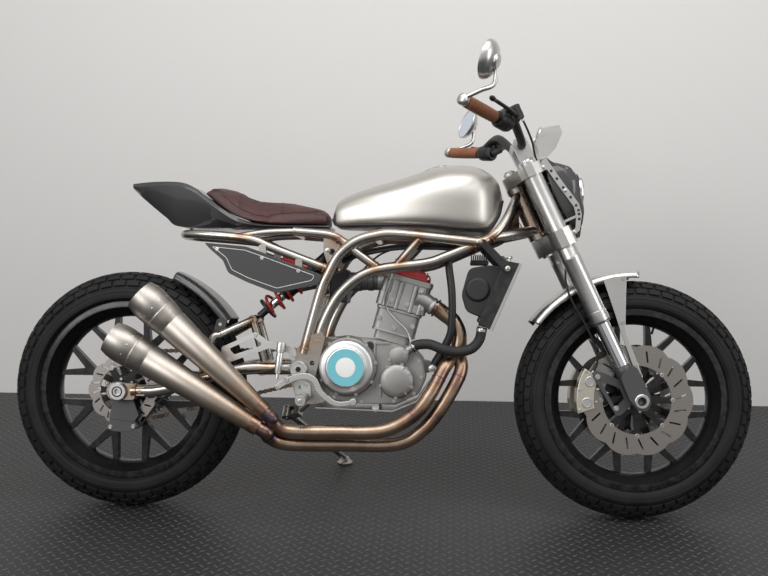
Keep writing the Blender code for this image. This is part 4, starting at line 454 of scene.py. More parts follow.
def brushed(tree, given, where):
    """Streaks along one way, from noise stretched along it, over slow clouds."""
    along = node(tree, "Mapping", Vector=where, Scale=given["Stretch"]).outputs[0]
    streaks = noise(tree, along, 1.0, 4.0)
    total = maths(tree, "MULTIPLY_ADD", noise(tree, where, 9.0, 3.0), 0.6, streaks)
    return {"Roughness": ranged(tree, total, 0.4, 1.2, given["Smooth"], given["Rough"]),
        "Normal": bumped(tree, streaks, given["Depth"], 0.0004)}


def grain(tree, given, where):
    """Fine pits over slow clouds, as on castings and sprayed coats."""
    pits = noise(tree, where, given["Scale"], 3.0)
    total = maths(tree, "MULTIPLY_ADD", pits, 0.35, noise(tree, where, 14.0, 4.0))
    return {"Roughness": ranged(tree, total, 0.45, 0.95, given["Smooth"], given["Rough"]),
        "Normal": bumped(tree, pits, given["Depth"])}


def weave(tree, given, where):
    """Two-over-two twill: the warp is on top where (column + row) mod 4 is under 2. Tows are half round. The
    warp tows are painted lighter: a painted sheen for how each tow direction reflects.
    """
    slant = node(tree, "Mapping", Vector=where, Rotation=given["Turn"], Scale=given["Tows"])
    part = node(tree, "SeparateXYZ", Vector=slant.outputs[0]).outputs
    total = maths(tree, "ADD", *(maths(tree, "FLOOR", part[axis]) for axis in (0, 2)))
    warp = maths(tree, "LESS_THAN", maths(tree, "FLOORED_MODULO", total, 4.0), 2.0)
    height = blended(tree, warp, *(maths(tree, "PINGPONG", part[axis], 0.5) for axis in (0, 2)))
    # The lighter colour on the top tows is painted sheen, not a second fibre colour.
    return {"Color": tinted(tree, warp, (0.009, 0.009, 0.0095, 1), (0.042, 0.042, 0.044, 1)),
        "Normal": bumped(tree, height, 0.5, 0.0006), "Roughness": ranged(tree, height, 0.0, 1.0, 0.5, 0.3)}


def hide(tree, given, where):
    """Leather: pebbles from the distance to cell edges, larger folds from noise, darker in the valleys."""
    wander = node(tree, "TexNoise", Vector=where, Scale=45.0, Detail=3.0).outputs["Color"]
    astray = node(tree, "Mix", {"data_type": "VECTOR"}, n0=0.02, n4=where, n5=wander).outputs[1]
    cells = node(tree, "TexVoronoi", {"feature": "DISTANCE_TO_EDGE"}, Vector=astray, Scale=given["Scale"])
    folds = noise(tree, where, 22.0, 5.0)
    height = maths(tree, "MULTIPLY_ADD", folds, 1.5, ranged(tree, cells.outputs["Distance"], 0.0, 0.25))
    return {"Color": tinted(tree, ranged(tree, height, 0.5, 1.9), given["Valley"], given["Hill"]),
        "Roughness": ranged(tree, folds, 0.0, 1.0, 0.42, 0.62),
        "Normal": bumped(tree, height, given["Depth"], 0.0006)}


def heated(tree, given, where):
    """The colours that heat leaves on bare metal, from straw through bronze and purple to blue."""
    heat = node(tree, "Attribute", {"attribute_name": "heat_tint"}).outputs["Fac"]
    patch = ranged(tree, noise(tree, where, 38.0, 4.0), 0.35, 0.65, 0.75, 1.2)
    ramp = node(tree, "ValToRGB", n0=maths(tree, "MULTIPLY", heat, patch))
    stops = ramp.color_ramp.elements
    stops[0].color = (0.42, 0.395, 0.365, 1)
    stops[1].color = (0.1, 0.09, 0.13, 1)
    bronzes = ((0.25, (0.43, 0.335, 0.255)), (0.5, (0.33, 0.215, 0.145)), (0.78, (0.19, 0.115, 0.1)))
    for place, colour in bronzes:
        stops.new(place).color = (*colour, 1)
    return {"Color": ramp.outputs[0]}


def rubber(tree, given, where):
    """Dusty black rubber: pale in patches, with a fine mottled bump."""
    dust = noise(tree, where, 11.0, 6.0)
    return {"Color": tinted(tree, ranged(tree, dust, 0.35, 0.75), given["Clean"], given["Dusty"]),
        "Roughness": ranged(tree, dust, 0.0, 1.0, 0.55, 0.85),
        "Normal": bumped(tree, noise(tree, where, 400.0, 2.0), given["Depth"], 0.0005)}


def worn_and_highlit(tree, given, where):
    """Where edges stick out the coating is lighter, in broken patches: partly rubbed wear, partly a painted
    highlight along the edges.
    """
    # Pointiness lightens each convex edge: a painted edge highlight, broken up by the wear patches.
    edge = ranged(tree, node(tree, "NewGeometry").outputs["Pointiness"], 0.52, 0.6)
    patch = ranged(tree, noise(tree, where, 60.0, 5.0), 0.42, 0.62)
    return {"Color": tinted(tree, maths(tree, "MULTIPLY", edge, patch), given["Coat"], given["Rubbed_and_lit"])}


BRUSHED = group("brushed", {"Stretch": (30.0, 400.0, 400.0), "Smooth": 0.2, "Rough": 0.4, "Depth": 0.15},
    brushed)
GRAIN = group("grain", {"Scale": 900.0, "Smooth": 0.3, "Rough": 0.5, "Depth": 0.2}, grain)
WEAVE = group("twill_weave", {"Tows": (460.0, 460.0, 460.0), "Turn": (0.0, 0.0, 0.0)}, weave)
HIDE = group("leather_hide", {"Scale": 320.0, "Depth": 0.5, "Valley": (0.05, 0.01, 0.01),
        "Hill": (0.15, 0.03, 0.03)}, hide)
HEATED = group("heat_tint", {}, heated)
RUBBER = group("dusty_rubber", {"Clean": (0.006, 0.006, 0.0065), "Dusty": (0.016, 0.016, 0.017),
        "Depth": 0.2}, rubber)
WORN_AND_HIGHLIT = group("worn_and_highlit_edges", {"Coat": (0.008, 0.008, 0.0085), "Rubbed_and_lit": (0.045, 0.044, 0.043)}, worn_and_highlit)
print("node groups", [tree.name for tree in bpy.data.node_groups])

# %% [markdown]
# A material is then a Principled shader with its plain values and the groups that vary them. `effects`
# lists each group with the values it takes here and the sockets that its outputs feed.

# %% Materials
def material(name, colour, roughness, metallic=0.0, effects=(), **values):
    made = bpy.data.materials.new(name)
    made.use_nodes = True
    tree = made.node_tree
    shader = tree.nodes["Principled BSDF"]
    settings = {"Base Color": (*colour, 1), "Roughness": roughness, "Metallic": metallic}
    settings.update({key.replace("_", " "): value for key, value in values.items()})
    for key, value in settings.items():
        shader.inputs[key].default_value = value
    for effect, given, feeds in effects:
        used = tree.nodes.new("ShaderNodeGroup")
        used.node_tree = effect
        for key, value in given.items():
            used.inputs[key].default_value = value
        for output in feeds:
            socket = {"Color": "Base Color"}.get(output, output)
            tree.links.new(used.outputs[output], shader.inputs[socket])
    return made


def metal(name, colour, smooth, rough, depth=0.12, stretch=(25.0, 300.0, 300.0), tint=(), **values):
    streaks = (BRUSHED, {"Stretch": stretch, "Smooth": smooth, "Rough": rough, "Depth": depth},
        ("Roughness", "Normal"))
    return material(name, colour, rough, 1.0, (streaks, *tint), **values)


def coated(name, colour, smooth, rough, depth=0.12, scale=900.0, more=(), **values):
    pits = (GRAIN, {"Scale": scale, "Smooth": smooth, "Rough": rough, "Depth": depth},
        ("Roughness", "Normal"))
    return material(name, colour, rough, values.pop("metallic", 0.0), (pits, *more), **values)


def leather(name, valley, hill, scale=320.0, depth=0.5):
    skin = (HIDE, {"Valley": valley, "Hill": hill, "Scale": scale, "Depth": depth},
        ("Color", "Roughness", "Normal"))
    return material(name, hill, 0.55, 0.0, (skin,), Coat_Weight=0.12, Coat_Roughness=0.35)


# Gloss and satin black take their lighter edges from this group: rubbed wear with a painted highlight.
RUBBED_AND_HIGHLIT = ((WORN_AND_HIGHLIT, {}, ("Color",)),)
TINTED = ((HEATED, {}, ("Color",)),)
TYRE = material("tyre", (0.02, 0.02, 0.021), 0.7, 0, ((RUBBER, {}, ("Color", "Roughness", "Normal")),),
    Specular_IOR_Level=0.3)
GLOSS = coated("gloss_black", (0.007, 0.007, 0.0075), 0.2, 0.36, 0.05, 500.0, RUBBED_AND_HIGHLIT, Coat_Weight=0.15,
    Coat_Roughness=0.1, Specular_IOR_Level=0.3)
SATIN = coated("satin_black", (0.02, 0.02, 0.021), 0.36, 0.55, 0.2, 1200.0, RUBBED_AND_HIGHLIT)
STEEL = metal("bare_steel", (0.42, 0.395, 0.365), 0.2, 0.4, 0.1, tint=TINTED, Coat_Weight=0.7,
    Coat_Roughness=0.06)
POLISHED = metal("polished_aluminium", (0.64, 0.635, 0.62), 0.24, 0.4, 0.025)
MACHINED = metal("machined_aluminium", (0.7, 0.7, 0.7), 0.36, 0.5, 0.03)
CAST = coated("cast_aluminium", (0.36, 0.355, 0.345), 0.38, 0.62, 0.45, 700.0, metallic=0.9)
CHROME = metal("hard_chrome", (0.83, 0.83, 0.85), 0.04, 0.1, 0.02)
TANK = metal("tank_metal", (0.6, 0.58, 0.54), 0.32, 0.48, 0.1, (14.0, 260.0, 420.0), Coat_Weight=0.25,
    Coat_Roughness=0.25)
SEAT = leather("seat_leather", (0.018, 0.005, 0.005), (0.07, 0.016, 0.014))
TAN = leather("grip_leather", (0.14, 0.045, 0.018), (0.34, 0.125, 0.045), 420.0)
CARBON = material("carbon_weave", (0.02, 0.02, 0.02), 0.4, 0.0,
    ((WEAVE, {}, ("Color", "Normal", "Roughness")),), Coat_Weight=0.8, Coat_Roughness=0.05)
RED = coated("red_lacquer", (0.5, 0.012, 0.014), 0.22, 0.42, 0.1, 500.0, Coat_Weight=0.5,
    Coat_Roughness=0.1)
TITANIUM = metal("brushed_titanium", (0.42, 0.38, 0.33), 0.22, 0.42, 0.15, (300.0, 22.0, 22.0), tint=TINTED)
DISC = metal("disc_steel", (0.35, 0.325, 0.305), 0.22, 0.4, 0.12, (300.0, 20.0, 300.0))
HOSE = coated("hose_rubber", (0.016, 0.016, 0.017), 0.5, 0.8, 0.25, 600.0)
DARK_CAST = coated("fork_foot", (0.1, 0.1, 0.105), 0.36, 0.55, 0.35, 900.0, metallic=0.6)
CONE = metal("silencer_skin", (0.42, 0.395, 0.365), 0.34, 0.5, 0.12, (260.0, 20.0, 20.0), tint=TINTED)
NICKEL = metal("nickel_plate", (0.7, 0.66, 0.56), 0.28, 0.44, 0.08)
# Near-black: real soot inside the silencers, and painted shade at the bottom of bores and sockets.
SOOT_AND_SHADE = coated("soot_and_painted_shade", (0.012, 0.011, 0.01), 0.8, 0.95, 0.3, 900.0)
FOAM = coated("black_plastic", (0.018, 0.018, 0.019), 0.42, 0.6, 0.3, 1500.0)
ZINC = metal("bright_bolts", (0.6, 0.59, 0.565), 0.24, 0.4, 0.03)
BRAID = metal("braided_line", (0.5, 0.5, 0.5), 0.3, 0.5, 0.3, (900.0, 900.0, 900.0))
BADGE = coated("badge_cyan", (0.16, 0.5, 0.58), 0.2, 0.35, 0.05, 600.0, Coat_Weight=0.6)
BADGE_WHITE = coated("badge_white", (0.82, 0.82, 0.8), 0.25, 0.4, 0.05, 600.0, Coat_Weight=0.4)
GLASS = material("lamp_glass", (0.95, 0.97, 1.0), 0.02, 0.0, (), Transmission_Weight=1.0, IOR=1.45)
MIRROR = material("mirror_glass", (0.72, 0.8, 0.92), 0.02, 1.0)
print("materials", len(bpy.data.materials))

# %% [markdown]
# The set is a pale painted wall behind a dark rubber floor. The floor's chequer is one short bar in each
# square, turned a quarter from one square to the next. Large soft lights make the long even highlights
# that show the shape of metal, and the dark floor is what gives the tubes their dark lower edges.

# %% Floor, wall and light
WALL_Y = 1.02
FLOOR_SQUARE = 0.026
BAR_LONG, BAR_SHORT = 0.46, 0.16


def chequer(tree, given, where):
    """height = 1 - (long axis / 0.46)^2 - (short axis / 0.16)^2 in each square, floored at zero."""
    slant = node(tree, "Mapping", Vector=where, Rotation=(0, 0, math.pi / 4), Scale=given["Squares"])
    part = node(tree, "SeparateXYZ", Vector=slant.outputs[0]).outputs
    spot = [maths(tree, "SUBTRACT", maths(tree, "FRACT", part[axis]), 0.5) for axis in (0, 1)]
    total = maths(tree, "ADD", *(maths(tree, "FLOOR", part[axis]) for axis in (0, 1)))
    quarter = maths(tree, "FLOORED_MODULO", total, 2.0)
    squares = []
    for ways, reach in ((spot, BAR_LONG), (spot[::-1], BAR_SHORT)):
        share = maths(tree, "DIVIDE", blended(tree, quarter, *ways), reach)
        squares.append(maths(tree, "MULTIPLY", share, share))
    far = maths(tree, "ADD", *squares)
    bar = node(tree, "Math", {"operation": "SUBTRACT", "use_clamp": True}, n0=1.0, n1=far).outputs[0]
    # The raised bars are painted lighter than the rubber round them: a painted highlight on their tops.
    return {"Color": tinted(tree, bar, (0.022, 0.022, 0.023, 1), (0.085, 0.085, 0.087, 1)),
        "Roughness": ranged(tree, bar, 0.0, 1.0, 0.5, 0.26),
        "Normal": bumped(tree, bar, given["Depth"], 0.006)}


def sheet(name, corners, look):
    mesh = bpy.data.meshes.new(name)
    mesh.from_pydata(corners, [], [(0, 1, 2, 3)])
    mesh.materials.append(look)
    item = bpy.data.objects.new(name, mesh)
    bpy.context.scene.collection.objects.link(item)


def soft_light(name, place, target, size, power):
    light = bpy.data.lights.new(name, "AREA")
    light.shape = "RECTANGLE"
    light.size, light.size_y = size
    light.energy = power
    item = bpy.data.objects.new(name, light)
    item.location = place
    item.rotation_euler = (Vector(target) - Vector(place)).to_track_quat("-Z", "Y").to_euler()
    bpy.context.scene.collection.objects.link(item)


CHEQUER = group("chequer_plate", {"Squares": (1 / FLOOR_SQUARE, 1 / FLOOR_SQUARE, 1.0), "Depth": 1.0},
    chequer)
FLOOR_RUBBER = material("floor_rubber", (0.03, 0.03, 0.031), 0.45, 0.0,
    ((CHEQUER, {}, ("Color", "Roughness", "Normal")),))
WALL_PAINT = coated("wall_paint", (0.71, 0.695, 0.68), 0.6, 0.8, 0.05, 40.0)
# Seen from behind the wall is clear, so that it doesn't hide the far side in other views.
wall_tree = WALL_PAINT.node_tree
wall_back = node(wall_tree, "NewGeometry").outputs["Backfacing"]
wall_front = maths(wall_tree, "SUBTRACT", 1.0, wall_back)
wall_tree.links.new(wall_front, wall_tree.nodes["Principled BSDF"].inputs["Alpha"])
sheet("studio_floor", [(-9, -7, 0), (9, -7, 0), (9, WALL_Y, 0), (-9, WALL_Y, 0)], FLOOR_RUBBER)
sheet("studio_wall", [(-9, WALL_Y, 0), (9, WALL_Y, 0), (9, WALL_Y, 6), (-9, WALL_Y, 6)], WALL_PAINT)
soft_light("overhead", (0.2, -1.3, 3.1), (0, -0.1, 0.4), (3.6, 1.8), 66)
soft_light("camera_side", (-2.4, -3.4, 2.2), (0, 0, 0.5), (2.0, 1.6), 54)
soft_light("front_strip", (3.2, -1.6, 1.6), (0.3, 0, 0.5), (0.8, 2.2), 22)
world = bpy.data.worlds.new("studio")
world.use_nodes = True
world.node_tree.nodes["Background"].inputs["Color"].default_value = (0.84, 0.83, 0.82, 1)
world.node_tree.nodes["Background"].inputs["Strength"].default_value = 0.62
bpy.context.scene.world = world
bpy.context.scene.view_settings.view_transform = "Standard"

# %% [markdown]
# A flat track tyre is a smooth carcass with rows of square blocks over its crown. The blocks are one
# height over the carcass, a product of two waves with steep walls, so the whole tyre is a single closed
# surface. Every second row is moved half a block round, as on the real tread.

# %% Tyres
ROWS = 7
TREAD_EDGE = 66
TREAD_DEPTH = 0.006
ACROSS = ((0.0, 0), (0.09, 0), (0.13, 1), (0.5, 1), (0.87, 1), (0.91, 0))
AROUND = ((0.0, 0), (0.13, 0), (0.18, 1), (0.5, 1), (0.95, 1))


def tyre(name, place, radius, half, rim_half, blocks, node):
    """point(a, b): at angle a on the crown arc, sunk by depth (1 - across(a) around(b)) square to it."""
    edges = np.linspace(-TREAD_EDGE, TREAD_EDGE, ROWS + 1)
    rows = []
    for number, (low, high) in enumerate(zip(edges, edges[1:])):
        rows += [(low + (high - low) * share, rise, number % 2 / 2, 1) for share, rise in ACROSS]
    rows.append((TREAD_EDGE, 0, 0, 1))
    wall = [(69, 0.1), (73, 0.9), (76, 1.0), (78, 1.0), (78.6, 1.18), (80, 1.18), (80.6, 1.0), (85, 1.0),
        (90, 1.0)]
    rows = [(-a, rise, 0, 0) for a, rise in reversed(wall)] + rows + [(a, rise, 0, 0) for a, rise in wall]
    angle, rise, shift, is_tread = (np.array(value)[:, None] for value in zip(*rows))
    angle = np.radians(angle)
    round_share = np.array([number + share for number in range(blocks) for share, _ in AROUND])[None]
    round_rise = np.tile([value for _, value in AROUND], blocks)[None]
    sunk = TREAD_DEPTH * (1 - rise * np.where(is_tread, round_rise, 1))
    turn = 2 * math.pi * (round_share + shift) / blocks
    y = (half - sunk) * np.sin(angle) + 0 * turn
    reach = radius - half + (half - sunk) * np.cos(angle)
    bead = [(half - 0.002, radius - half - 0.006), (half - 0.005, 0.2685), (rim_half + 0.006, 0.2648),
        (rim_half + 0.002, 0.2629), (rim_half - 0.008, 0.2624), (rim_half - 0.009, 0.245)]
    bead_y, bead_reach = (np.array(value)[:, None] + 0 * turn[:1] for value in zip(*bead))
    y = np.vstack([-bead_y[::-1], y, bead_y])
    reach = np.vstack([bead_reach[::-1], reach, bead_reach])
    turn = np.vstack([np.tile(turn[:1], (len(bead), 1)), turn, np.tile(turn[-1:], (len(bead), 1))])
    form = grid(np.stack([reach * np.cos(turn), y, reach * np.sin(turn)], -1), True, True)
    piece(name, BODY_OF[node], TYRE, [form], place, sharp=30, replaces=(node,))


tyre("front_tyre_treaded", FRONT_WHEEL, FRONT_RADIUS, 0.067, 0.054, 52, "front_tyre")
tyre("rear_tyre_treaded", REAR_WHEEL, REAR_RADIUS, 0.074, 0.058, 48, "rear_tyre")

# %% [markdown]
# The wheels are gloss black castings: a rim with two flanges, a hub, and eight spokes that fork like a Y.
# A turned profile with rounded shoulders makes the rim, and flat Y outlines with a rounded edge the
# spokes.

# %% Rims
def spoke_outline():
    reach, half = 0.221, 0.009
    split = math.radians(11.25)
    tips = []
    for side in (1, -1):
        middle = np.array([math.cos(side * split), math.sin(side * split)]) * reach
        way = unit(middle - np.array([0.129, 0.0]))
        square = np.array([-way[1], way[0]]) * half * 0.8
        tips.append((middle + square, middle - square))
    outline = [(0.031, -0.0108), (0.117, -half), tips[1][1], tips[1][0], (0.151, 0), tips[0][1], tips[0][0],
        (0.117, half), (0.031, 0.0108)]
    return rounded(outline, 0.004, 3)


def rim(name, node, place, half, hub_half, stub):
    lip = [(-half, 0.26), (-half + 0.001, 0.2618), (-half + 0.003, 0.2622), (-half + 0.007, 0.2618),
        (-half + 0.008, 0.26), (-half + 0.008, 0.2385)]
    shell = lip + [(-y, r) for y, r in reversed(lip)] + [(half, 0.243), (half - 0.006, 0.2395),
        (0.034, 0.2245), (0.026, 0.2185), (0.01, 0.215), (-0.01, 0.215), (-0.026, 0.2185), (-0.034, 0.2245),
        (-half + 0.006, 0.2395), (-half, 0.243)]
    hub = [(-stub, 0.0128), (stub, 0.0128), (stub, 0.02), (hub_half, 0.02), (hub_half, 0.043),
        (hub_half - 0.002, 0.045), (hub_half - 0.01, 0.045), (hub_half - 0.016, 0.037),
        (-hub_half + 0.016, 0.037), (-hub_half + 0.01, 0.045), (-hub_half + 0.002, 0.045),
        (-hub_half, 0.043), (-hub_half, 0.02), (-stub, 0.02)]
    piece(name, BODY_OF[node], GLOSS, [turned(shell, 128, closed=True), turned(hub, 48, closed=True)],
        place, sharp=40, replaces=(node,))
    spokes = ring_of(plate(spoke_outline(), -0.013, 0.013), 8, math.pi / 8)
    piece(name + "_spokes", BODY_OF[node], GLOSS, spokes, place, bevel=0.0025)
    lips = [pipe(hoop(0.2608, side * (half - 0.004), 128), 0.0022, 8, closed=True) for side in (1, -1)]
    valve = column([(0.196, 0), (0.196, 0.0035), (0.218, 0.0035), (0.222, 0.005), (0.2225, 0)], steps=12)
    piece(name + "_lips", BODY_OF[node], GLOSS, [*lips, placed(valve, Matrix.Rotation(0.3, 4, "Y"))], place)


rim("front_rim_cast", "front_rim", FRONT_WHEEL, 0.054, 0.0602, 0.0715)
rim("rear_rim_cast", "rear_rim", REAR_WHEEL, 0.058, 0.0752, 0.1005)

# %% [markdown]
# The brake discs have a wavy edge and rows of slots that let gas and water out from under the pads. A
# black carrier holds each one by silver buttons, so that the hot steel ring can grow without bending.

# %% Brake discs
FRONT_DISC_Y = 0.063


def slot_outline(radius, angle, length, half, lean):
    """A slot with round ends, its middle at (radius, angle), turned by lean from the radial direction."""
    ends = np.concatenate([np.linspace(-90, 90, 6), np.linspace(90, 270, 6)])
    x = np.concatenate([np.full(6, length / 2), np.full(6, -length / 2)]) + half * np.cos(np.radians(ends))
    z = half * np.sin(np.radians(ends))
    c, s = math.cos(lean), math.sin(lean)
    x, z = radius + c * x - s * z, s * x + c * z
    return np.column_stack([x * math.cos(angle) - z * math.sin(angle),
            x * math.sin(angle) + z * math.cos(angle)])


def brake_disc(name, node, place, y, radius, inner, arms, waves):
    angle = angles(240)
    edge = radius - 0.0095 * (1 - np.abs(np.cos(waves * angle / 2)) ** 0.8)
    outer = np.column_stack([edge * np.cos(angle), edge * np.sin(angle)])
    middle, width = (radius - 0.006 + inner) / 2, radius - inner
    turns = [2 * math.pi * (n + 0.25) / (2 * waves) for n in range(2 * waves)]
    cuts = [slot_outline(middle, turn, width * 0.46, 0.0026, 0.35) for turn in turns]
    ring = cut_sheet([outer, circle(0, 0, inner, 96), *cuts], y - 0.0025, y + 0.0025)
    piece(name, BODY_OF[node], DISC, [ring], place, bevel=0.0004, replaces=(node,))
    reach = inner + 0.004
    arm = [(0.03, -0.014), (reach - 0.016, -0.0085), (reach, -0.0125), (reach, 0.0125),
        (reach - 0.016, 0.0085), (0.03, 0.014)]
    arm = plate(rounded(arm, 0.003, 3), y - 0.002, y + 0.002)
    boss = turned([(y - 0.0024, 0.022), (y + 0.0024, 0.022), (y + 0.0024, 0.04), (y - 0.0024, 0.04)], 64,
        closed=True)
    piece(name + "_carrier", BODY_OF[node], GLOSS, [boss, *ring_of(arm, arms)], place, bevel=0.0006)
    side = math.copysign(1, y)
    button = turned([(-0.0034, 0), (-0.0034, 0.0062), (0.003, 0.0062), (0.0036, 0.0055), (0.0036, 0.0032),
            (0.002, 0.003), (0.002, 0)], 20)
    there = Matrix.Translation((inner + 0.003, y, 0)) @ Matrix.Scale(side, 4, (0, 1, 0))
    buttons = ring_of(placed(button, there), arms)
    head = bolt((0, 0, 0), (0, 1, 0), 0.0042)[0]
    screws = ring_of(placed(head, pointing((0.033, y + side * 0.0022, 0), (0, side, 0))), 6, 0.3)
    piece(name + "_buttons", BODY_OF[node], ZINC, [*buttons, *screws], place)


brake_disc("front_disc_right_ring", "front_disc_right", FRONT_WHEEL, -FRONT_DISC_Y, 0.16, 0.098, 8, 10)
brake_disc("front_disc_left_ring", "front_disc_left", FRONT_WHEEL, FRONT_DISC_Y, 0.16, 0.098, 8, 10)
brake_disc("rear_disc_ring", "rear_disc", REAR_WHEEL, -0.078, 0.105, 0.07, 6, 10)

# %% [markdown]
# The fork is upside-down: fat silver tubes above, with machined collars, and slim chrome tubes below that
# run into dark forged feet. Each is a turned profile, with small steps where the real one has seals and
# rings.

# %% Fork legs
LEG_X, LEG_Y = 0.042, 0.102


def fork_leg(name, side):
    y = side * LEG_Y
    outer = [(0.2455, 0.0216), (0.243, 0.0225), (0.243, 0.0262), (0.245, 0.0272), (0.252, 0.0285),
        (0.268, 0.0285), (0.269, 0.027), (0.2705, 0.027), (0.2715, 0.0285), (0.279, 0.0285),
        (0.281, 0.0268), (0.3, 0.027), (0.44, 0.0275), (0.442, 0.0282), (0.449, 0.0282), (0.451, 0.0275),
        (0.7455, 0.0275), (0.7475, 0.0262), (0.7485, 0.0215), (0.752, 0.0205), (0.752, 0.012),
        (0.75, 0.011), (0.75, 0.0)]
    piece(name + "_outer", "steering", POLISHED, [column([(0.2455, 0), *outer], LEG_X, y, 64)], FORK,
        sharp=25)
    inner = [(0.098, 0), (0.098, 0.0215), (0.245, 0.0215), (0.245, 0.0)]
    piece(name + "_inner", "steering", CHROME, [column(inner, LEG_X, y, 64)], FORK)
    sleeve = [(-0.012, 0), (-0.012, 0.014), (-0.006, 0.019), (0.02, 0.0232), (0.096, 0.024), (0.103, 0.024),
        (0.107, 0.0225), (0.112, 0.022), (0.112, 0.0)]
    foot = rounded([(LEG_X - 0.02, 0.085), (LEG_X - 0.024, 0.02), (LEG_X - 0.016, -0.02),
            (LEG_X + 0.006, -0.03), (LEG_X + 0.026, -0.018), (LEG_X + 0.034, 0.01), (LEG_X + 0.034, 0.09),
            (LEG_X + 0.02, 0.104)], 0.007, 3)
    lug_x = LEG_X - 0.02
    ear = [(lug_x - 0.058, 0.128), (lug_x - 0.064, 0.116), (lug_x - 0.052, -0.012), (lug_x - 0.04, -0.016),
        (lug_x + 0.006, 0.0), (lug_x + 0.006, 0.07), (lug_x - 0.044, 0.124)]
    window = [(lug_x - 0.05, 0.094), (lug_x - 0.0445, 0.01), (lug_x - 0.01, 0.022), (lug_x - 0.01, 0.056)]
    low, high = sorted((side * 0.0848, side * 0.0938))
    inside, outside = sorted((y - side * 0.029, y + side * 0.024))
    opening = circle(FORK_OFFSET, 0, 0.0129, 32)
    forms = [column(sleeve, LEG_X, y, 48), cut_sheet([foot, opening], inside, outside),
        cut_sheet([rounded(ear, 0.005, 3), rounded(window, 0.005, 3)], low, high)]
    piece(name + "_foot", "steering", DARK_CAST, forms, FORK, bevel=0.0022, replaces=(name,))
    pinch = bolts([(LEG_X + 0.0335, y - side * 0.012, 0.03), (LEG_X + 0.0335, y + side * 0.01, 0.03)],
        (1, 0, 0), 0.0045)
    ears = bolts([(lug_x - 0.053, high if side > 0 else low, 0.11),
            (lug_x - 0.043, high if side > 0 else low, 0.008)], (0, side, 0), 0.0062)
    cap = bolts([(LEG_X, y, 0.7495)], (0, 0, 1), 0.0098, 0.004, True)
    piece(name + "_bolts", "steering", ZINC, [*pinch, *ears, *cap], FORK)
    ring_path = np.column_stack([circle(LEG_X, 0, 0.0272, 64)[:, 0], circle(LEG_X, y, 0.0272, 64)[:, 1],
            np.full(64, 0.2485)])
    piece(name + "_seal", "steering", HOSE, [pipe(ring_path, 0.0016, 10, closed=True)], FORK)


fork_leg("fork_leg_right", -1)
fork_leg("fork_leg_left", 1)
axle = [(-0.118, 0), (-0.118, 0.0118), (-0.1305, 0.0118), (-0.132, 0.013), (-0.132, 0.0185),
    (-0.1305, 0.0205), (-0.1263, 0.0205), (-0.1263, 0.0124), (0.1263, 0.0124), (0.1263, 0.0205),
    (0.1305, 0.0205), (0.132, 0.0185), (0.132, 0.013), (0.1305, 0.0118), (0.118, 0.0118), (0.118, 0)]
piece("front_axle_turned", "steering", ZINC, [turned(axle, 48, (FORK_OFFSET, 0, 0))], FORK,
    replaces=("front_axle",))
# A near-black disc at the bottom of each axle bore: painted shade in the hollow.
bores = [turned([(side * 0.1182, 0), (side * 0.1182, 0.0116), (side * 0.1186, 0.0116), (side * 0.1186, 0)],
        32, (FORK_OFFSET, 0, 0)) for side in (1, -1)]
piece("front_axle_bore", "steering", SOOT_AND_SHADE, bores, FORK)

# %% [markdown]
# The yokes clamp the two legs and carry the bars. Their shape in the CAD is right, so they are dressed:
# the flats are joined and the edges rounded, and the clamp bolts go on as trim.

# %% Yokes, with their bolts and the instrument
dressed("fork_yokes", POLISHED, 0.0015)
clamp_bolts = []
for side in (1, -1):
    clamp_bolts += bolts([(0.058, side * 0.059, z) for z in (0.712, 0.726)], (1, side * 0.35, 0), 0.0045)
    clamp_bolts += bolts([(0.056, side * 0.06, z) for z in (0.492, 0.508, 0.524)], (1, side * 0.35, 0),
        0.0045)
    clamp_bolts += bolts([(x, side * 0.048, 0.8235) for x in (0.049, 0.065)], (0, 0, 1), 0.0038)
clamp_bolts += bolts([(0, 0, 0.747)], (0, 0, 1), 0.013, 0.006, True)
piece("yoke_bolts", "steering", ZINC, clamp_bolts, FORK)
dial_way = Vector((-0.66, 0, 0.75)).normalized()
dial_at = Vector((0.126, 0, 0.809))
bezel = [(0.0, 0), (0.0, 0.03), (0.008, 0.03), (0.01, 0.028), (0.01, 0.0255), (0.006, 0.025), (0.006, 0)]
piece("dial_bezel", "steering", POLISHED, [aimed(bezel, 48, dial_at, dial_way)], FORK, sharp=30)
face = [(0.0062, 0), (0.0066, 0.0248), (0.007, 0.0248), (0.007, 0)]
piece("dial_face", "steering", GLOSS, [aimed(face, 48, dial_at, dial_way)], FORK)

# %% [markdown]
# The bars are one bent tube: a smooth curve through the same points as the CAD's. The grips are wrapped in
# tan leather, so their outline swells a little and carries a low spiral ridge where the wrap overlaps.

# %% Handlebar, grips and bar-end mirrors
BAR_X, BAR_Z = 0.057, 0.802
GRIP_INNER, GRIP_OUTER = np.array([-0.012, 0.285, 0.872]), np.array([-0.084, 0.398, 0.928])


def on_grip(side, share):
    """A point of a grip's middle line, from its inner end at 0 to its outer end at 1."""
    return (GRIP_INNER + (GRIP_OUTER - GRIP_INNER) * share) * np.array([1, side, 1])


half_bar = np.array([(BAR_X, 0.0, BAR_Z), (BAR_X, 0.04, BAR_Z), (BAR_X, 0.078, BAR_Z + 0.001),
        (BAR_X - 0.002, 0.11, BAR_Z + 0.02), (BAR_X - 0.01, 0.175, BAR_Z + 0.07),
        (BAR_X - 0.024, 0.225, BAR_Z + 0.081), GRIP_INNER, on_grip(1, 0.3), on_grip(1, 0.65), GRIP_OUTER])
bar_line = np.vstack([half_bar[::-1] * np.array([1, -1, 1]), half_bar[1:]])
piece("handlebar_tube", "steering", SATIN, [bent(bar_line, 0.0124, 160, 32)], FORK, replaces=("handlebar",))


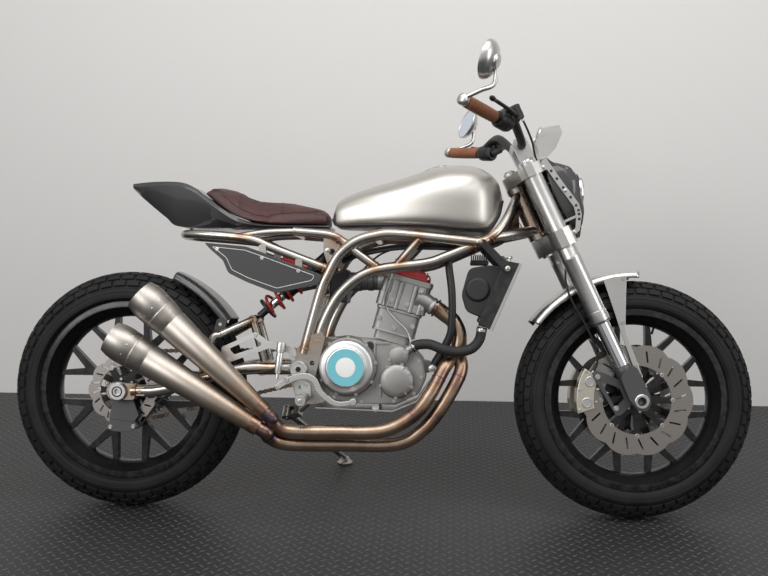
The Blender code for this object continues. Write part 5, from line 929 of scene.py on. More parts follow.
def grip_wrap(side):
    """A tube along the grip whose radius = base + swell sin(pi t) + ridge of a spiral of nine turns."""
    t = np.linspace(0, 1, 180)[:, None]
    angle = angles(48)[None]
    start, end = on_grip(side, 0.06), on_grip(side, 0.99)
    way = unit(end - start)
    across = unit(np.cross(way, (0, 0, 1)))
    up = np.cross(across, way)
    spiral = np.mod(9 * t + side * angle / (2 * math.pi), 1.0)
    ends = np.minimum(1, np.minimum(t, 1 - t) * 30) ** 0.5
    radius = 0.0128 + ends * (0.0035 + 0.0008 * np.sin(math.pi * t) + 0.0007 * spiral)
    middle = start + (end - start) * t
    outward = across * np.cos(angle)[..., None] + up * np.sin(angle)[..., None]
    return grid(middle[:, None] + radius[..., None] * outward, False, True, True)


def mirror(name, side):
    end, out = on_grip(side, 1.0), unit(on_grip(side, 1.0) - on_grip(side, 0.0))
    knob = [(0.0008, 0), (0.0008, 0.0125), (0.003, 0.0155), (0.007, 0.0165), (0.014, 0.0165),
        (0.019, 0.015), (0.022, 0.0115), (0.024, 0.007), (0.0245, 0)]
    base = end + out * 0.016
    elbow = base + np.array([0.09, side * 0.006, 0.0])
    top = elbow + np.array([0.026, side * 0.004, 0.046])
    arm = bent([base, base + np.array([0.05, side * 0.012, -0.002]), elbow, top], 0.0058, 40, 20)
    facing = unit(np.array([-0.659, -side * 0.35, 0.663]))
    back = top + unit(np.array([-0.62, side * 0.12, 0.77])) * 0.016
    shell = turned([(-0.024, 0), (-0.024, 0.0085), (-0.0225, 0.017), (-0.019, 0.0205), (-0.015, 0.0212),
            (-0.0135, 0.03), (-0.0085, 0.04), (-0.001, 0.048), (0.006, 0.0515), (0.01, 0.0525),
            (0.012, 0.052), (0.012, 0.0498), (0.0105, 0.0492), (0.0105, 0)], 72)
    joint = column([(-0.0085, 0), (-0.0075, 0.0045), (0, 0.0085), (0.0075, 0.0045), (0.0085, 0)], top[0],
        top[1], 24)
    joint = (joint[0] + np.array([0, 0, top[2]]), joint[1])
    glass = turned([(0.01, 0), (0.01, 0.049), (0.0112, 0.0488), (0.0114, 0.0)], 64)
    place = pointing(back, facing)
    piece(name + "_body", "steering", POLISHED, [aimed(knob, 40, end, out), arm, joint,
            placed(shell, place)], FORK, sharp=28, replaces=(name,))
    piece(name + "_glass", "steering", MIRROR, [placed(glass, place)], FORK)


for name, side in (("grip_right", -1), ("grip_left", 1)):
    piece(name + "_leather", "steering", TAN, [grip_wrap(side)], FORK, sharp=50, replaces=(name,))
mirror("mirror_right", -1)
mirror("mirror_left", 1)

# %% [markdown]
# Each lever is a cast blade with a ball at its end, pivoting in a perch that clamps the bar. The brake
# side has its fluid cup on top, and both have a round switch housing inboard of the grip.

# %% Levers and switch housings
def lever(name, side):
    start, inner = on_grip(side, -0.02), on_grip(side, -0.42)
    way = unit(start - inner)
    length = np.linalg.norm(start - inner)
    housing = turned([(0.002, 0.0128), (0.002, 0.019), (0.005, 0.0225), (0.01, 0.024),
            (length * 0.5 - 0.001, 0.024), (length * 0.5, 0.0232), (length * 0.5 + 0.001, 0.024),
            (length - 0.012, 0.024), (length - 0.006, 0.0225), (length - 0.002, 0.0195),
            (length - 0.002, 0.0128)], 48, closed=True)
    pivot = inner + np.array([0.03, side * 0.012, 0.004])
    perch = pipe([inner + way * 0.012, pivot], [0.0135, 0.0115], 32)
    tip = on_grip(side, 0.92) + np.array([0.058, 0, -0.012])
    path = smooth_path([pivot, on_grip(side, 0.1) + np.array([0.048, 0, -0.006]), tip], 60)
    thick = 0.005 + 0.0012 * np.linspace(1, 0, 60)
    thick[-6:] = [0.006, 0.007, 0.0076, 0.0074, 0.0062, 0.003]
    cup = column([(-0.006, 0), (-0.006, 0.015), (0.004, 0.0165), (0.026, 0.0165), (0.0265, 0.0172),
            (0.032, 0.0172), (0.034, 0.0158), (0.034, 0.0)], steps=40)
    forms = [placed(housing, pointing(inner, way)), perch, placed(cup, Matrix.Translation(Vector(pivot)))]
    piece(name + "_perch", "steering", SATIN, forms, FORK, sharp=28, replaces=(name,))
    piece(name + "_blade", "steering", GLOSS if side < 0 else SATIN, [pipe(path, thick, 20)], FORK,
        sharp=60)
    corners = ((0.009, 0.009), (-0.009, -0.009), (0.009, -0.009), (-0.009, 0.009))
    screws = bolts([pivot + np.array([x, y, 0.0338]) for x, y in corners], (0, 0, 1), 0.0018)
    button = [(0.0, 0), (0.0, 0.0052), (0.0052, 0.005), (0.006, 0.004), (0.006, 0)]
    out = np.array([-0.0225, 0, 0.004])
    switch = [aimed(button, 20, inner + way * spot + out, (-1, 0, 0.2)) for spot in (0.014, 0.03)]
    piece(name + "_screws", "steering", ZINC, screws, FORK)
    piece(name + "_switches", "steering", RED if side < 0 else FOAM, switch, FORK)


lever("brake_lever", -1)
lever("clutch_lever", 1)

# %% [markdown]
# The lamp sits in a carbon number-board shell. The shell is worked out as rings that grow from the lamp's
# opening to the board's outline and then turn back round its edge, so the hole is part of the surface.

# %% Headlamp and mask
LAMP = np.array([0.118, 0, 0.628])
LAMP_WAY = np.array([math.cos(RAKE), 0, -math.sin(RAKE)])
lamp_place = pointing(LAMP, LAMP_WAY)
bowl = turned([(-0.05, 0), (-0.05, 0.02), (-0.046, 0.028), (-0.03, 0.046), (-0.016, 0.0545),
        (-0.006, 0.058), (0.044, 0.058), (0.0445, 0.0535), (0.044, 0.0525), (-0.002, 0.052),
        (-0.012, 0.046), (-0.024, 0.03), (-0.03, 0)], 72)
piece("lamp_bowl", "steering", GLOSS, [placed(bowl, lamp_place)], FORK, sharp=30, replaces=("headlamp",))
rim_ring = turned([(0.04, 0.0582), (0.046, 0.0582), (0.05, 0.0572), (0.0525, 0.0545), (0.0525, 0.052),
        (0.046, 0.0515), (0.04, 0.0515)], 96, closed=True)
piece("lamp_rim", "steering", CHROME, [placed(rim_ring, lamp_place)], FORK)
reflector = turned([(-0.0235, 0), (-0.0225, 0.012), (-0.016, 0.028), (-0.004, 0.042), (0.012, 0.049),
        (0.03, 0.0512), (0.044, 0.0514), (0.044, 0.0518), (-0.006, 0.0455), (-0.026, 0.02), (-0.026, 0)],
    72)
bulb = turned([(-0.022, 0), (-0.022, 0.008), (0.004, 0.008), (0.01, 0.0115), (0.018, 0.0115),
        (0.022, 0.008), (0.023, 0)], 32)
piece("lamp_reflector", "steering", CHROME, [placed(reflector, lamp_place), placed(bulb, lamp_place)], FORK,
    sharp=50)
lens = turned([(0.0452, 0), (0.045, 0.03), (0.044, 0.0513), (0.0465, 0.0513), (0.0505, 0.04),
        (0.0528, 0.022), (0.0536, 0)], 72)
piece("lamp_lens", "steering", GLASS, [placed(lens, lamp_place)], FORK, sharp=50)

MASK = [(0.736, 0.06, 0.1, 0.12), (0.715, 0.082, 0.088, 0.142), (0.687, 0.094, 0.08, 0.168),
    (0.64, 0.098, 0.076, 0.171), (0.583, 0.094, 0.078, 0.154), (0.545, 0.084, 0.084, 0.15),
    (0.515, 0.066, 0.09, 0.136), (0.5, 0.044, 0.096, 0.118)]


def mask():
    """ring(s): from the lamp's circle (s = 0) to the board's outline (s = 1), bulging forward between."""
    heights, halves, backs, fronts = (np.array(value)[::-1] for value in zip(*MASK))
    angle = angles(96)
    right = smooth_path(np.column_stack([heights, halves]), 60)
    outline = np.vstack([np.column_stack([right[:, 1], right[:, 0]]),
            np.column_stack([-right[::-1, 1], right[::-1, 0]])])
    centre = np.array([0.0, 0.618])
    ray = np.unwrap(np.arctan2(outline[:, 1] - centre[1], outline[:, 0]))
    reach = np.hypot(outline[:, 0], outline[:, 1] - centre[1])
    order = np.argsort(np.mod(ray, 2 * math.pi))
    reach = np.interp(angle, np.mod(ray, 2 * math.pi)[order], reach[order], period=2 * math.pi)
    edge_y, edge_z = reach * np.cos(angle), centre[1] + reach * np.sin(angle)
    front = np.interp(edge_z, heights, fronts)
    back = np.interp(edge_z, heights, backs)
    across_lamp = np.array([0.0, 1.0, 0.0])
    up_lamp = np.cross(LAMP_WAY, across_lamp) * -1
    outward = np.cos(angle)[:, None] * across_lamp + np.sin(angle)[:, None] * up_lamp
    hole = LAMP + 0.059 * outward + LAMP_WAY * 0.034
    deep = hole - LAMP_WAY * 0.012
    ring_out = np.stack([front - 0.012, edge_y * 0.86, centre[1] + (edge_z - centre[1]) * 0.9], -1)
    shoulder = np.stack([front - 0.03, edge_y * 0.975, centre[1] + (edge_z - centre[1]) * 0.975], -1)
    side_ring = np.stack([(front + back) / 2, edge_y, edge_z], -1)
    last = np.stack([back, edge_y * 0.985, edge_z], -1)
    rings = np.array([deep, hole, hole * 0.55 + ring_out * 0.45 + np.array([0.004, 0, 0]), ring_out,
            shoulder, side_ring, last])
    lines = [smooth_path(rings[:, number], 40) for number in range(len(angle))]
    return grid(np.array(lines).transpose(1, 0, 2), False, True)


def thickened(item, thickness, offset=-1.0):
    change = item.modifiers.new("wall", "SOLIDIFY")
    change.thickness = thickness
    change.offset = offset
    change.use_even_offset = True
    return item


thickened(piece("lamp_mask_shell", "steering", CARBON, [mask()], FORK, sharp=60, replaces=("lamp_mask",)),
    0.003)

# %% [markdown]
# Drilled aluminium strips carry the lamp and its mask. Their outline follows the CAD's, and the round
# lightening holes are cut in the sheet along its middle line.

# %% Lamp bracket
strip_line = smooth_path([(0.091, 0.722), (0.1035, 0.655), (0.1185, 0.578), (0.114, 0.546), (0.094, 0.511)],
    60)
strip = [(0.098, 0.735), (0.112, 0.655), (0.128, 0.578), (0.122, 0.545), (0.098, 0.508), (0.083, 0.503),
    (0.0784, 0.503), (0.0784, 0.516), (0.09, 0.519), (0.106, 0.55), (0.111, 0.576), (0.096, 0.652),
    (0.087, 0.704), (0.0776, 0.706), (0.0776, 0.722), (0.083, 0.733)]
holes = [circle(x, z, 0.0042, 16) for x, z in strip_line[6:-6:6]]
bracket = cut_sheet([rounded(strip, 0.0016, 2), *holes], 0.0983, 0.1018)
stay = rod(0.0742, (-0.1005, 0.0, 0.1005), 0.5485, 0.0036, 16)
tab = box((0.0712, 0.106), (0.0983, 0.1018), (0.545, 0.552))
piece("lamp_bracket_strips", "steering", POLISHED, [*both(bracket, tab), stay], FORK, bevel=0.0004,
    replaces=("lamp_bracket",))
piece("lamp_bracket_bolts", "steering", ZINC, side_bolts([(0.08, 0.1017, 0.714), (0.081, 0.1017, 0.51),
            (0.1085, 0.1017, 0.628)], 0.005, hexagon=True), FORK)

# %% [markdown]
# The front mudguard is a short crowned strip of brushed aluminium with a rolled edge. Its section is
# carried round the wheel's centre, and a thin stay on each side takes it to the fork's foot.

# %% Front mudguard
def crowned_strip(centre, radius, start, end, half, crown, edge, taper=0.0):
    """point(a, s): s runs across; reach = radius + crown (1 - s^2) - edge s^8, so the rim rolls over."""
    angle = np.radians(np.linspace(start, end, 40))[:, None]
    s = np.linspace(-1, 1, 33)[None]
    share = np.linspace(0, 1, 40)[:, None]
    reach = radius + crown * (1 - s**2) - edge * np.abs(s) ** 8
    width = (half - taper * share**2) * (s - 0.06 * np.sign(s) * np.abs(s) ** 12)
    points = np.stack([centre[0] + reach * np.cos(angle), width + 0 * angle,
            centre[1] + reach * np.sin(angle)], -1)
    return grid(points)


fender = piece("front_fender_sheet", "steering", POLISHED,
    [crowned_strip((FORK_OFFSET, 0), FRONT_RADIUS + 0.0255, 64, 118, 0.0745, 0.0025, 0.02)], FORK, sharp=60,
    replaces=("front_fender",))
thickened(fender, 0.0022, 1.0)
fender_stay = [(0.169, 0.335), (0.134, 0.347), (0.104, 0.351), (0.094, 0.262), (0.0863, 0.2), (0.0763, 0.1),
    (0.0763, 0.052), (0.0883, 0.052), (0.0983, 0.19), (0.113, 0.222)]
piece("front_fender_stays", "steering", POLISHED,
    both(plate(rounded(fender_stay, 0.004, 2), 0.0724, 0.076)), FORK, bevel=0.0006)
piece("front_fender_bolts", "steering", ZINC, side_bolts([(0.083, 0.0758, 0.064), (0.083, 0.0758, 0.09),
            (0.157, 0.0764, 0.331), (0.101, 0.0758, 0.218)], 0.0052), FORK)

# %% [markdown]
# Four-piston calipers of machined alloy sit astride the discs. Their CAD blocks have the right outline and
# slot, so they are dressed, and piston covers and bridge bolts are put on.

# %% Front calipers
CALIPER_ANGLE, POT_REACH, SCREW_REACH = 146, 0.146, 0.168

for name, side in (("front_caliper_right", -1), ("front_caliper_left", 1)):
    dressed(name, NICKEL, 0.002)
    face_y = side * (FRONT_DISC_Y + 0.0215)
    pots, screws = [], []
    for turn in (-12, 12):
        angle = math.radians(CALIPER_ANGLE) + math.radians(turn)
        spot = spot_round((FORK_OFFSET, 0, 0), POT_REACH, angle, face_y)
        pot = [(-0.001, 0), (-0.001, 0.015), (0.002, 0.015), (0.003, 0.0138), (0.003, 0.0105),
            (0.0022, 0.0098), (0.0022, 0)]
        pots.append(aimed(pot, 40, spot, (0, side, 0)))
    for turn in (-20, -1, 19):
        angle = math.radians(CALIPER_ANGLE) + math.radians(turn)
        spot = spot_round((FORK_OFFSET, 0, 0), SCREW_REACH, angle, face_y)
        screws += bolt(spot, (0, side, 0), 0.0046, 0.003)
    piece(name + "_pots", "steering", POLISHED, pots, FORK, sharp=30)
    piece(name + "_screws", "steering", ZINC, screws, FORK)

# %% [markdown]
# The frame is the machine's signature: bare steel tubes, swept smoothly, welded, tinted by the heat and
# lacquered. Each tube is one call of `bent`. A weld is a closed ring whose thickness ripples, and the tint
# joins bell curves round the weld centres, stored on the mesh where the steel material reads it.

# %% Frame tubes
RAIL_Y, RAIL_RADIUS, STAY_RADIUS = 0.125, 0.0155, 0.0125
PIVOT = (0.525, 0.0, 0.422)
HEAD_LOW, HEAD_HIGH = 0.5355, 0.7005
SHOCK_TOP = (0.6, 0.0, 0.762)
RIGHT_TO_LEFT = np.array([1, -1, 1])
RIPPLES = 14


def on_head(height):
    return STRAIGHT_FORK @ Vector((0, 0, height))


def weld(centre, way, radius, bead=0.0021):
    """A ring of ripples: thickness = bead (0.8 + 0.2 cos 14 a), laid square to a tube."""
    thickness = bead * (0.8 + 0.2 * np.cos(RIPPLES * angles(6 * RIPPLES)))
    return placed(pipe(hoop(radius, 0, 6 * RIPPLES), thickness, 8, closed=True), pointing(centre, way))


def tint(centres, reach=0.022):
    """heat(p) = 1 - product of (1 - 0.9 exp(-|p - c|^2 / reach^2)) over the weld centres c."""
    centres = np.array(centres)

    def heat(points):
        cold = np.ones(len(points))
        for centre in centres:
            cold *= 1 - 0.9 * np.exp(-((points - centre) ** 2).sum(1) / reach**2)
        return 1 - cold

    return heat


def even_heat(amount):
    return lambda points: np.full(len(points), float(amount))


head_foot_point, head_top_point = on_head(HEAD_LOW + 0.02), on_head(HEAD_HIGH - 0.024)
upper_rail = [(0.537, 0.128, 0.466), (0.582, RAIL_Y, 0.639), (0.605, RAIL_Y, 0.696), (0.635, RAIL_Y, 0.75),
    (0.68, RAIL_Y, 0.786), (0.735, RAIL_Y, 0.804), (0.797, RAIL_Y, 0.809), (0.976, 0.122, 0.793),
    (1.032, 0.113, 0.789), (1.079, 0.088, 0.806),
    (head_foot_point.x - 0.008, 0.014, head_foot_point.z + 0.004)]
lower_rail = [(0.574, 0.121, 0.492), (0.59, 0.121, 0.55), (0.625, 0.121, 0.621), (0.667, 0.121, 0.668),
    (0.714, 0.121, 0.697), (0.77, 0.121, 0.712), (0.883, 0.121, 0.727), (0.939, 0.121, 0.746),
    (1.034, 0.111, 0.787)]
head_stay = [(head_top_point.x - 0.006, 0.016, head_top_point.z), (1.118, 0.062, 0.872),
    (1.086, 0.094, 0.822), (1.046, 0.109, 0.79)]
short_brace = [(0.868, RAIL_Y, 0.8), (0.833, 0.123, 0.76), (0.798, 0.121, 0.719)]
seat_stay = [(0.5, 0.112, 0.816), (0.606, 0.112, 0.806), (0.649, 0.114, 0.783), (0.692, 0.117, 0.75),
    (0.745, 0.119, 0.712)]
link_stay = [(0.336, 0.113, 0.799), (0.42, 0.112, 0.812), (0.51, 0.112, 0.816)]
tail = [(0.606, 0.121, 0.704), (0.585, 0.12, 0.714), (0.44, 0.118, 0.768), (0.393, 0.117, 0.788),
    (0.336, 0.114, 0.798), (0.23, 0.1, 0.806), (0.178, 0.07, 0.808), (0.16, 0.0, 0.808)]
tail_loop = tail + [(x, -y, z) for x, y, z in reversed(tail[:-1])]

tubes = both(bent(upper_rail, RAIL_RADIUS, 160, 32), bent(lower_rail, RAIL_RADIUS, 110, 32),
    bent(head_stay, STAY_RADIUS, 60, 28), bent(short_brace, STAY_RADIUS, 24, 28),
    bent(seat_stay, STAY_RADIUS, 70, 28), bent(link_stay, 0.01, 40, 24))
tubes.append(bent(tail_loop, STAY_RADIUS, 220, 28))
cross_tubes = ((0.583, RAIL_Y, 0.642, STAY_RADIUS, 28), (0.96, RAIL_Y, 0.792, STAY_RADIUS, 28),
    (0.735, RAIL_Y, 0.803, STAY_RADIUS, 28), (0.545, RAIL_Y, 0.34, 0.012, 28),
    (0.5, 0.112, 0.8152, 0.01, 24), (SHOCK_TOP[0], 0.1125, SHOCK_TOP[2], 0.008, 24))
for x, half, z, radius, sides in cross_tubes:
    tubes.append(cross_tube(x, half, z, radius, sides=sides))
head_profile = [(HEAD_LOW, 0.0152), (HEAD_LOW, 0.03), (HEAD_LOW + 0.015, 0.03), (HEAD_LOW + 0.018, 0.0262),
    (HEAD_HIGH - 0.018, 0.0262), (HEAD_HIGH - 0.015, 0.03), (HEAD_HIGH, 0.03), (HEAD_HIGH, 0.0152)]
tubes.append(placed(column(head_profile), STRAIGHT_FORK))

WELDS = (((0.59, 0.121, 0.705), (0.9, 0, -0.4), 0.0128), ((0.735, 0.119, 0.719), (0.8, 0, -0.6), 0.0128),
    ((0.632, 0.113, 0.793), (0.8, 0, -0.5), 0.0129), ((0.862, 0.125, 0.793), (0.65, 0, 0.75), 0.0129),
    ((0.807, 0.121, 0.73), (0.65, 0, 0.75), 0.0129), ((1.018, 0.113, 0.779), (0.92, -0.1, 0.38), 0.0158),
    ((1.064, 0.104, 0.797), (0.6, -0.4, 0.6), 0.013), ((0.583, 0.105, 0.642), (0, 1, 0), 0.0128),
    ((0.96, 0.106, 0.792), (0, 1, 0), 0.0128), ((0.735, 0.1085, 0.803), (0, 1, 0), 0.0128),
    ((0.35, 0.114, 0.8), (1, 0, 0.1), 0.0102), ((0.541, 0.128, 0.482), (0.25, 0, 0.97), 0.016),
    ((0.577, 0.121, 0.503), (0.27, 0, 0.96), 0.016), ((1.146, 0.03, 0.842), (0.8, -0.5, 0.4), 0.0158))
seams = []
weld_spots = []
for side in (1, -1):
    for spot, way, radius in WELDS:
        here = (spot[0], side * spot[1], spot[2])
        seams.append(weld(here, (way[0], side * way[1], way[2]), radius))
        weld_spots.append(here)
weld_spots += [tuple(head_foot_point), tuple(head_top_point)]
heat = tint(weld_spots)
piece("frame_tubes", "chassis", STEEL, tubes, sharp=50, replaces=("frame",), heat=heat)
piece("frame_welds", "chassis", STEEL, seams, sharp=60, heat=heat)
print("frame", len(tubes), "tubes,", len(seams), "welds")

# %% [markdown]
# Plates join the tubes where loads meet: gussets at the seat, tabs for the radiator and side panels, the
# plates at the swing arm's pivot, and a folded sheet behind the head that the heat has tinted brown.

# %% Frame plates and the stand's clevis
STAND_PIVOT = (0.45, 0.142, 0.268)
STAND_AXIS = Vector((0.04, 0.55, 0.83)).normalized()
gusset = [(0.588, 0.806), (0.622, 0.803), (0.644, 0.76), (0.618, 0.712), (0.6, 0.722), (0.588, 0.76)]
radiator_tab = [(1.02, 0.797), (1.048, 0.797), (1.128, 0.715), (1.11, 0.7)]
pivot_plate = [(0.512, 0.47), (0.5, 0.43), (0.505, 0.38), (0.52, 0.335), (0.56, 0.322), (0.6, 0.33),
    (0.59, 0.36), (0.572, 0.4), (0.584, 0.45), (0.598, 0.51), (0.59, 0.53), (0.56, 0.52), (0.536, 0.5)]
pivot_ring = circle(PIVOT[0], PIVOT[2], 0.0173, 40)
plates = both(cut_sheet([rounded(gusset, 0.004), circle(0.613, 0.758, 0.009, 32)], 0.1095, 0.1155),
    cut_sheet([rounded(pivot_plate, 0.006), pivot_ring, circle(0.537, 0.372, 0.009, 28),
            circle(0.563, 0.44, 0.007, 28)], 0.123, 0.137),
    box((0.405, 0.425), (0.118, 0.1332), (0.735, 0.775), 0.003),
    box((0.51, 0.53), (0.118, 0.1332), (0.7, 0.735), 0.003))
plates += [box((0.722, 0.748), (-0.03, 0.03), (0.8, 0.8283), 0.003),
    box((0.946, 0.974), (-0.03, 0.03), (0.79, 0.8163), 0.003),
    box((0.155, 0.175), (-0.02, 0.02), (0.808, 0.829), 0.003)]
stand_root = Vector((0.556, RAIL_Y - 0.0005, 0.336))
inward = stand_root - Vector(STAND_PIVOT)
inward = (inward - STAND_AXIS * inward.dot(STAND_AXIS)).normalized()
clevis_turn = Matrix((inward, STAND_AXIS.cross(inward), STAND_AXIS)).transposed().to_4x4()
clevis = Matrix.Translation(Vector(STAND_PIVOT)) @ clevis_turn
clevis_forms = [box((0.032, 0.05), (-0.0125, 0.0125), (-0.0173, 0.0173), 0.002)]
for side in (1, -1):
    low, high = sorted((side * 0.012, side * 0.018))
    clevis_forms += [box((0.0, 0.046), (-0.012, 0.012), (low, high)),
        column([(low, 0), (low, 0.016), (high, 0.016), (high, 0)])]
clevis_forms.append(column([(-0.023, 0), (-0.023, 0.0065), (0.023, 0.0065), (0.023, 0)]))
clevis_forms.append(aimed([(0, 0), (0, 0.0095), (0.005, 0.0095), (0.006, 0.008), (0.006, 0)], 6,
        (0, 0, 0.0175), (0, 0, 1)))
plates += [placed(form, clevis) for form in clevis_forms]
strut_start = clevis @ Vector((0.042, 0, 0))
plates.append(bent([tuple(strut_start), tuple(strut_start.lerp(stand_root, 0.5)), tuple(stand_root)], 0.011,
        12))
piece("frame_plates", "chassis", STEEL, plates, bevel=0.0008, heat=heat)
piece("radiator_tabs", "chassis", SATIN, both(plate(rounded(radiator_tab, 0.003), 0.1223, 0.126)),
    bevel=0.0008)

head_sheet = np.array([[(1.05, -0.112, 0.806), (1.118, -0.07, 0.87), (1.15, -0.044, 0.905)],
        [(1.064, -0.108, 0.8), (1.112, -0.074, 0.838), (1.148, -0.04, 0.866)],
        [(1.082, -0.098, 0.806), (1.118, -0.066, 0.822), (1.15, -0.036, 0.838)]])
sheets = [grid(head_sheet), grid(head_sheet[::-1] * RIGHT_TO_LEFT)]
thickened(piece("frame_head_sheets", "chassis", STEEL, sheets, heat=even_heat(0.75)), 0.0022, 0.0)
piece("frame_bolts", "chassis", ZINC, side_bolts([(SHOCK_TOP[0], 0.1155, SHOCK_TOP[2]), (1.03, 0.126, 0.79),
            (1.113, 0.126, 0.715)], 0.0062, hexagon=True))

# %% [markdown]
# The swing arm is bare tube too, with a polished cap at the pivot and a large anodised nut on the axle.

# %% Swing arm and its axles
beam = [(0.505, 0.1, PIVOT[2]), (0.44, 0.112, 0.421), (0.344, 0.118, 0.416), (0.136, 0.118, 0.358),
    (0.0365, 0.118, 0.35)]
brace = [(0.238, 0.116, 0.39), (0.268, 0.116, 0.5), (0.29, 0.106, 0.516), (0.374, 0.052, 0.56)]
inner_brace = [(0.415, 0.052, PIVOT[2]), (0.3945, 0.052, 0.491), (0.374, 0.052, 0.56)]
arm_end = [(0.048, 0.372), (-0.02, 0.374), (-0.034, 0.36), (-0.034, 0.338), (-0.02, 0.324), (0.048, 0.326)]
arm_forms = both(bent(beam, 0.018, 90, 32), pipe(smooth_path(brace[:3], 30), 0.011, 24),
    bent(brace[2:] + [(0.376, 0.05, 0.561)], 0.011, 20), bent(inner_brace, 0.011, 20),
    cut_sheet([rounded(arm_end, 0.008), circle(0, REAR_RADIUS, 0.0128, 36)], 0.106, 0.13))
arm_forms += [turned([(-0.1215, 0.0173), (-0.1215, 0.026), (0.1215, 0.026), (0.1215, 0.0173)], 48, PIVOT),
    cross_tube(0.415, 0.118, 0.42, 0.02, 12, 32), cross_tube(0.374, 0.06, 0.56, 0.013)]
arm_joints = ((0.048, 0.118, 0.35), (0.24, 0.116, 0.402), (0.43, 0.112, 0.421), (0.374, 0.052, 0.56))
arm_spots = [(x, side * y, z) for x, y, z in arm_joints for side in (1, -1)]
arm_welds = [weld((0.052, side * 0.118, 0.351), (1, 0, 0.05), 0.0185) for side in (1, -1)]
arm_welds += [weld((0.2405, side * 0.116, 0.404), (0.26, 0, 0.96), 0.0113) for side in (1, -1)]
piece("swing_arm_tubes", "chassis", STEEL, [*arm_forms, *arm_welds], sharp=50, bevel=0.0006,
    replaces=("swing_arm",), heat=tint(arm_spots))

cap = [(-0.15, 0), (-0.15, 0.01), (-0.1475, 0.0115), (-0.1475, 0.0165), (-0.15, 0.018), (-0.15, 0.0225),
    (-0.1485, 0.024), (-0.1375, 0.024), (-0.1375, 0.017)]
pivot_profile = cap + [(-y, r) for y, r in reversed(cap)]
piece("pivot_bolt", "chassis", POLISHED, [turned(pivot_profile, 64, PIVOT)], replaces=("swing_arm_pivot",))
# A near-black hexagon on each cap face: the painted shade of a hex socket.
piece("pivot_centre", "chassis", SOOT_AND_SHADE, [turned([(side * 0.1502, 0), (side * 0.1502, 0.0085),
                (side * 0.149, 0.0085)], 6, PIVOT) for side in (1, -1)])
nut = [(-0.142, 0.0085), (-0.142, 0.0235), (-0.14, 0.026), (-0.1303, 0.028), (-0.1303, 0.0125),
    (0.1303, 0.0125), (0.1303, 0.024), (0.139, 0.023), (0.142, 0.0205), (0.142, 0)]
nut_pit = [(-0.131, 0), (-0.131, 0.0085), (-0.142, 0.0085)]
axle_centre = (0, 0, REAR_RADIUS)
piece("rear_axle_nut", "chassis", POLISHED, [turned(nut, 64, axle_centre),
        turned(nut_pit, 64, axle_centre)], replaces=("rear_axle",))
piece("rear_axle_ring", "chassis", SOOT_AND_SHADE, [turned([(-0.1423, 0.012), (-0.1423, 0.0155), (-0.1412, 0.0155),
                (-0.1412, 0.012)], 48, axle_centre, True)])
adjusters = both(box((0.05, 0.078), (0.1305, 0.133), (0.338, 0.362), 0.003))
piece("chain_adjusters", "chassis", ZINC, [*adjusters, *side_bolts([(0.064, 0.133, 0.35)], 0.005)],
    bevel=0.0005)
print("swing arm", len(arm_forms), "forms")

# %% [markdown]
# The engine is a stack of castings. Each cover is a turned form, each case half a rounded outline, and the
# small socket bolts sit where the joint faces are clamped.

# %% Crankcase and covers
CLUTCH, PUMP = (0.66, 0, 0.43), (0.807, 0, 0.464)
LOWER_COVER, FLYWHEEL = (0.803, 0, 0.392), (0.785, 0, 0.415)
DRIVE_X, DRIVE_Z = 0.607, 0.432
SPOUT_WAY = unit(np.array([0.865, 0, 0.503]))
case_outline = np.array([(0.572, 0.508), (0.56, 0.46), (0.575, 0.385), (0.615, 0.335), (0.7, 0.322),
        (0.8, 0.326), (0.862, 0.35), (0.884, 0.4), (0.876, 0.45), (0.842, 0.488), (0.74, 0.505),
        (0.64, 0.512)])
case_middle = case_outline.mean(0)


def case_ring(share):
    return rounded(case_middle + (case_outline - case_middle) * share, 0.012, 4)


case = [plate(case_ring(1.0), -0.094, 0.0728), plate(case_ring(1.018), -0.062, -0.052),
    plate(case_ring(1.014), -0.004, 0.006), plate(case_ring(0.975), -0.098, -0.09)]
case.append(turned([(-0.112, 0.06), (-0.112, 0.082), (-0.11, 0.084), (-0.094, 0.087), (-0.09, 0.089),
            (-0.088, 0.06)], 72, CLUTCH))
case.append(turned([(-0.132, 0), (-0.132, 0.022), (-0.131, 0.0235), (-0.1275, 0.0235), (-0.127, 0.0275),
            (-0.124, 0.029), (-0.09, 0.03)], 56, PUMP))
case.append(turned([(-0.138, 0), (-0.138, 0.03), (-0.1365, 0.036), (-0.134, 0.044), (-0.13, 0.048),
            (-0.122, 0.0495), (-0.09, 0.05)], 64, LOWER_COVER))
case.append(turned([(0.064, 0.07), (0.074, 0.068), (0.094, 0.064), (0.112, 0.058), (0.119, 0.049),
            (0.12, 0.04), (0.118, 0.038), (0.118, 0.012), (0.12, 0.01), (0.12, 0)], 64, FLYWHEEL))
lug = [(0.86, 0.404), (0.905, 0.414), (0.917, 0.421), (0.917, 0.435), (0.905, 0.442), (0.86, 0.452)]
case.append(cut_sheet([rounded(lug, 0.004), circle(0.903, 0.428, 0.0102, 32)], -0.022, 0.022))
pump_centre = np.array([PUMP[0], -0.111, PUMP[2]])
spout = pump_centre + np.outer([0.0, 0.015, 0.03, 0.034, 0.038, 0.045], SPOUT_WAY)
case.append(pipe(spout, [0.0115, 0.0115, 0.0115, 0.0125, 0.0115, 0.0112], 28))
ribs = [box((0.735, 0.741), (-0.104, -0.09), (0.372, 0.496)),
    box((0.752, 0.758), (-0.103, -0.09), (0.345, 0.385)), box((0.7, 0.78), (-0.104, -0.09), (0.496, 0.502)),
    box((0.6, 0.606), (-0.102, -0.09), (0.345, 0.372)), box((0.59, 0.64), (-0.103, -0.09), (0.508, 0.512))]
for angle in (20, 52, 300, 332):
    rib = box((0.028, 0.0475), (-0.1365, -0.12), (-0.0016, 0.0016))
    turn = Matrix.Rotation(math.radians(angle), 4, "Y")
    ribs.append(placed(rib, Matrix.Translation(Vector(LOWER_COVER)) @ turn))
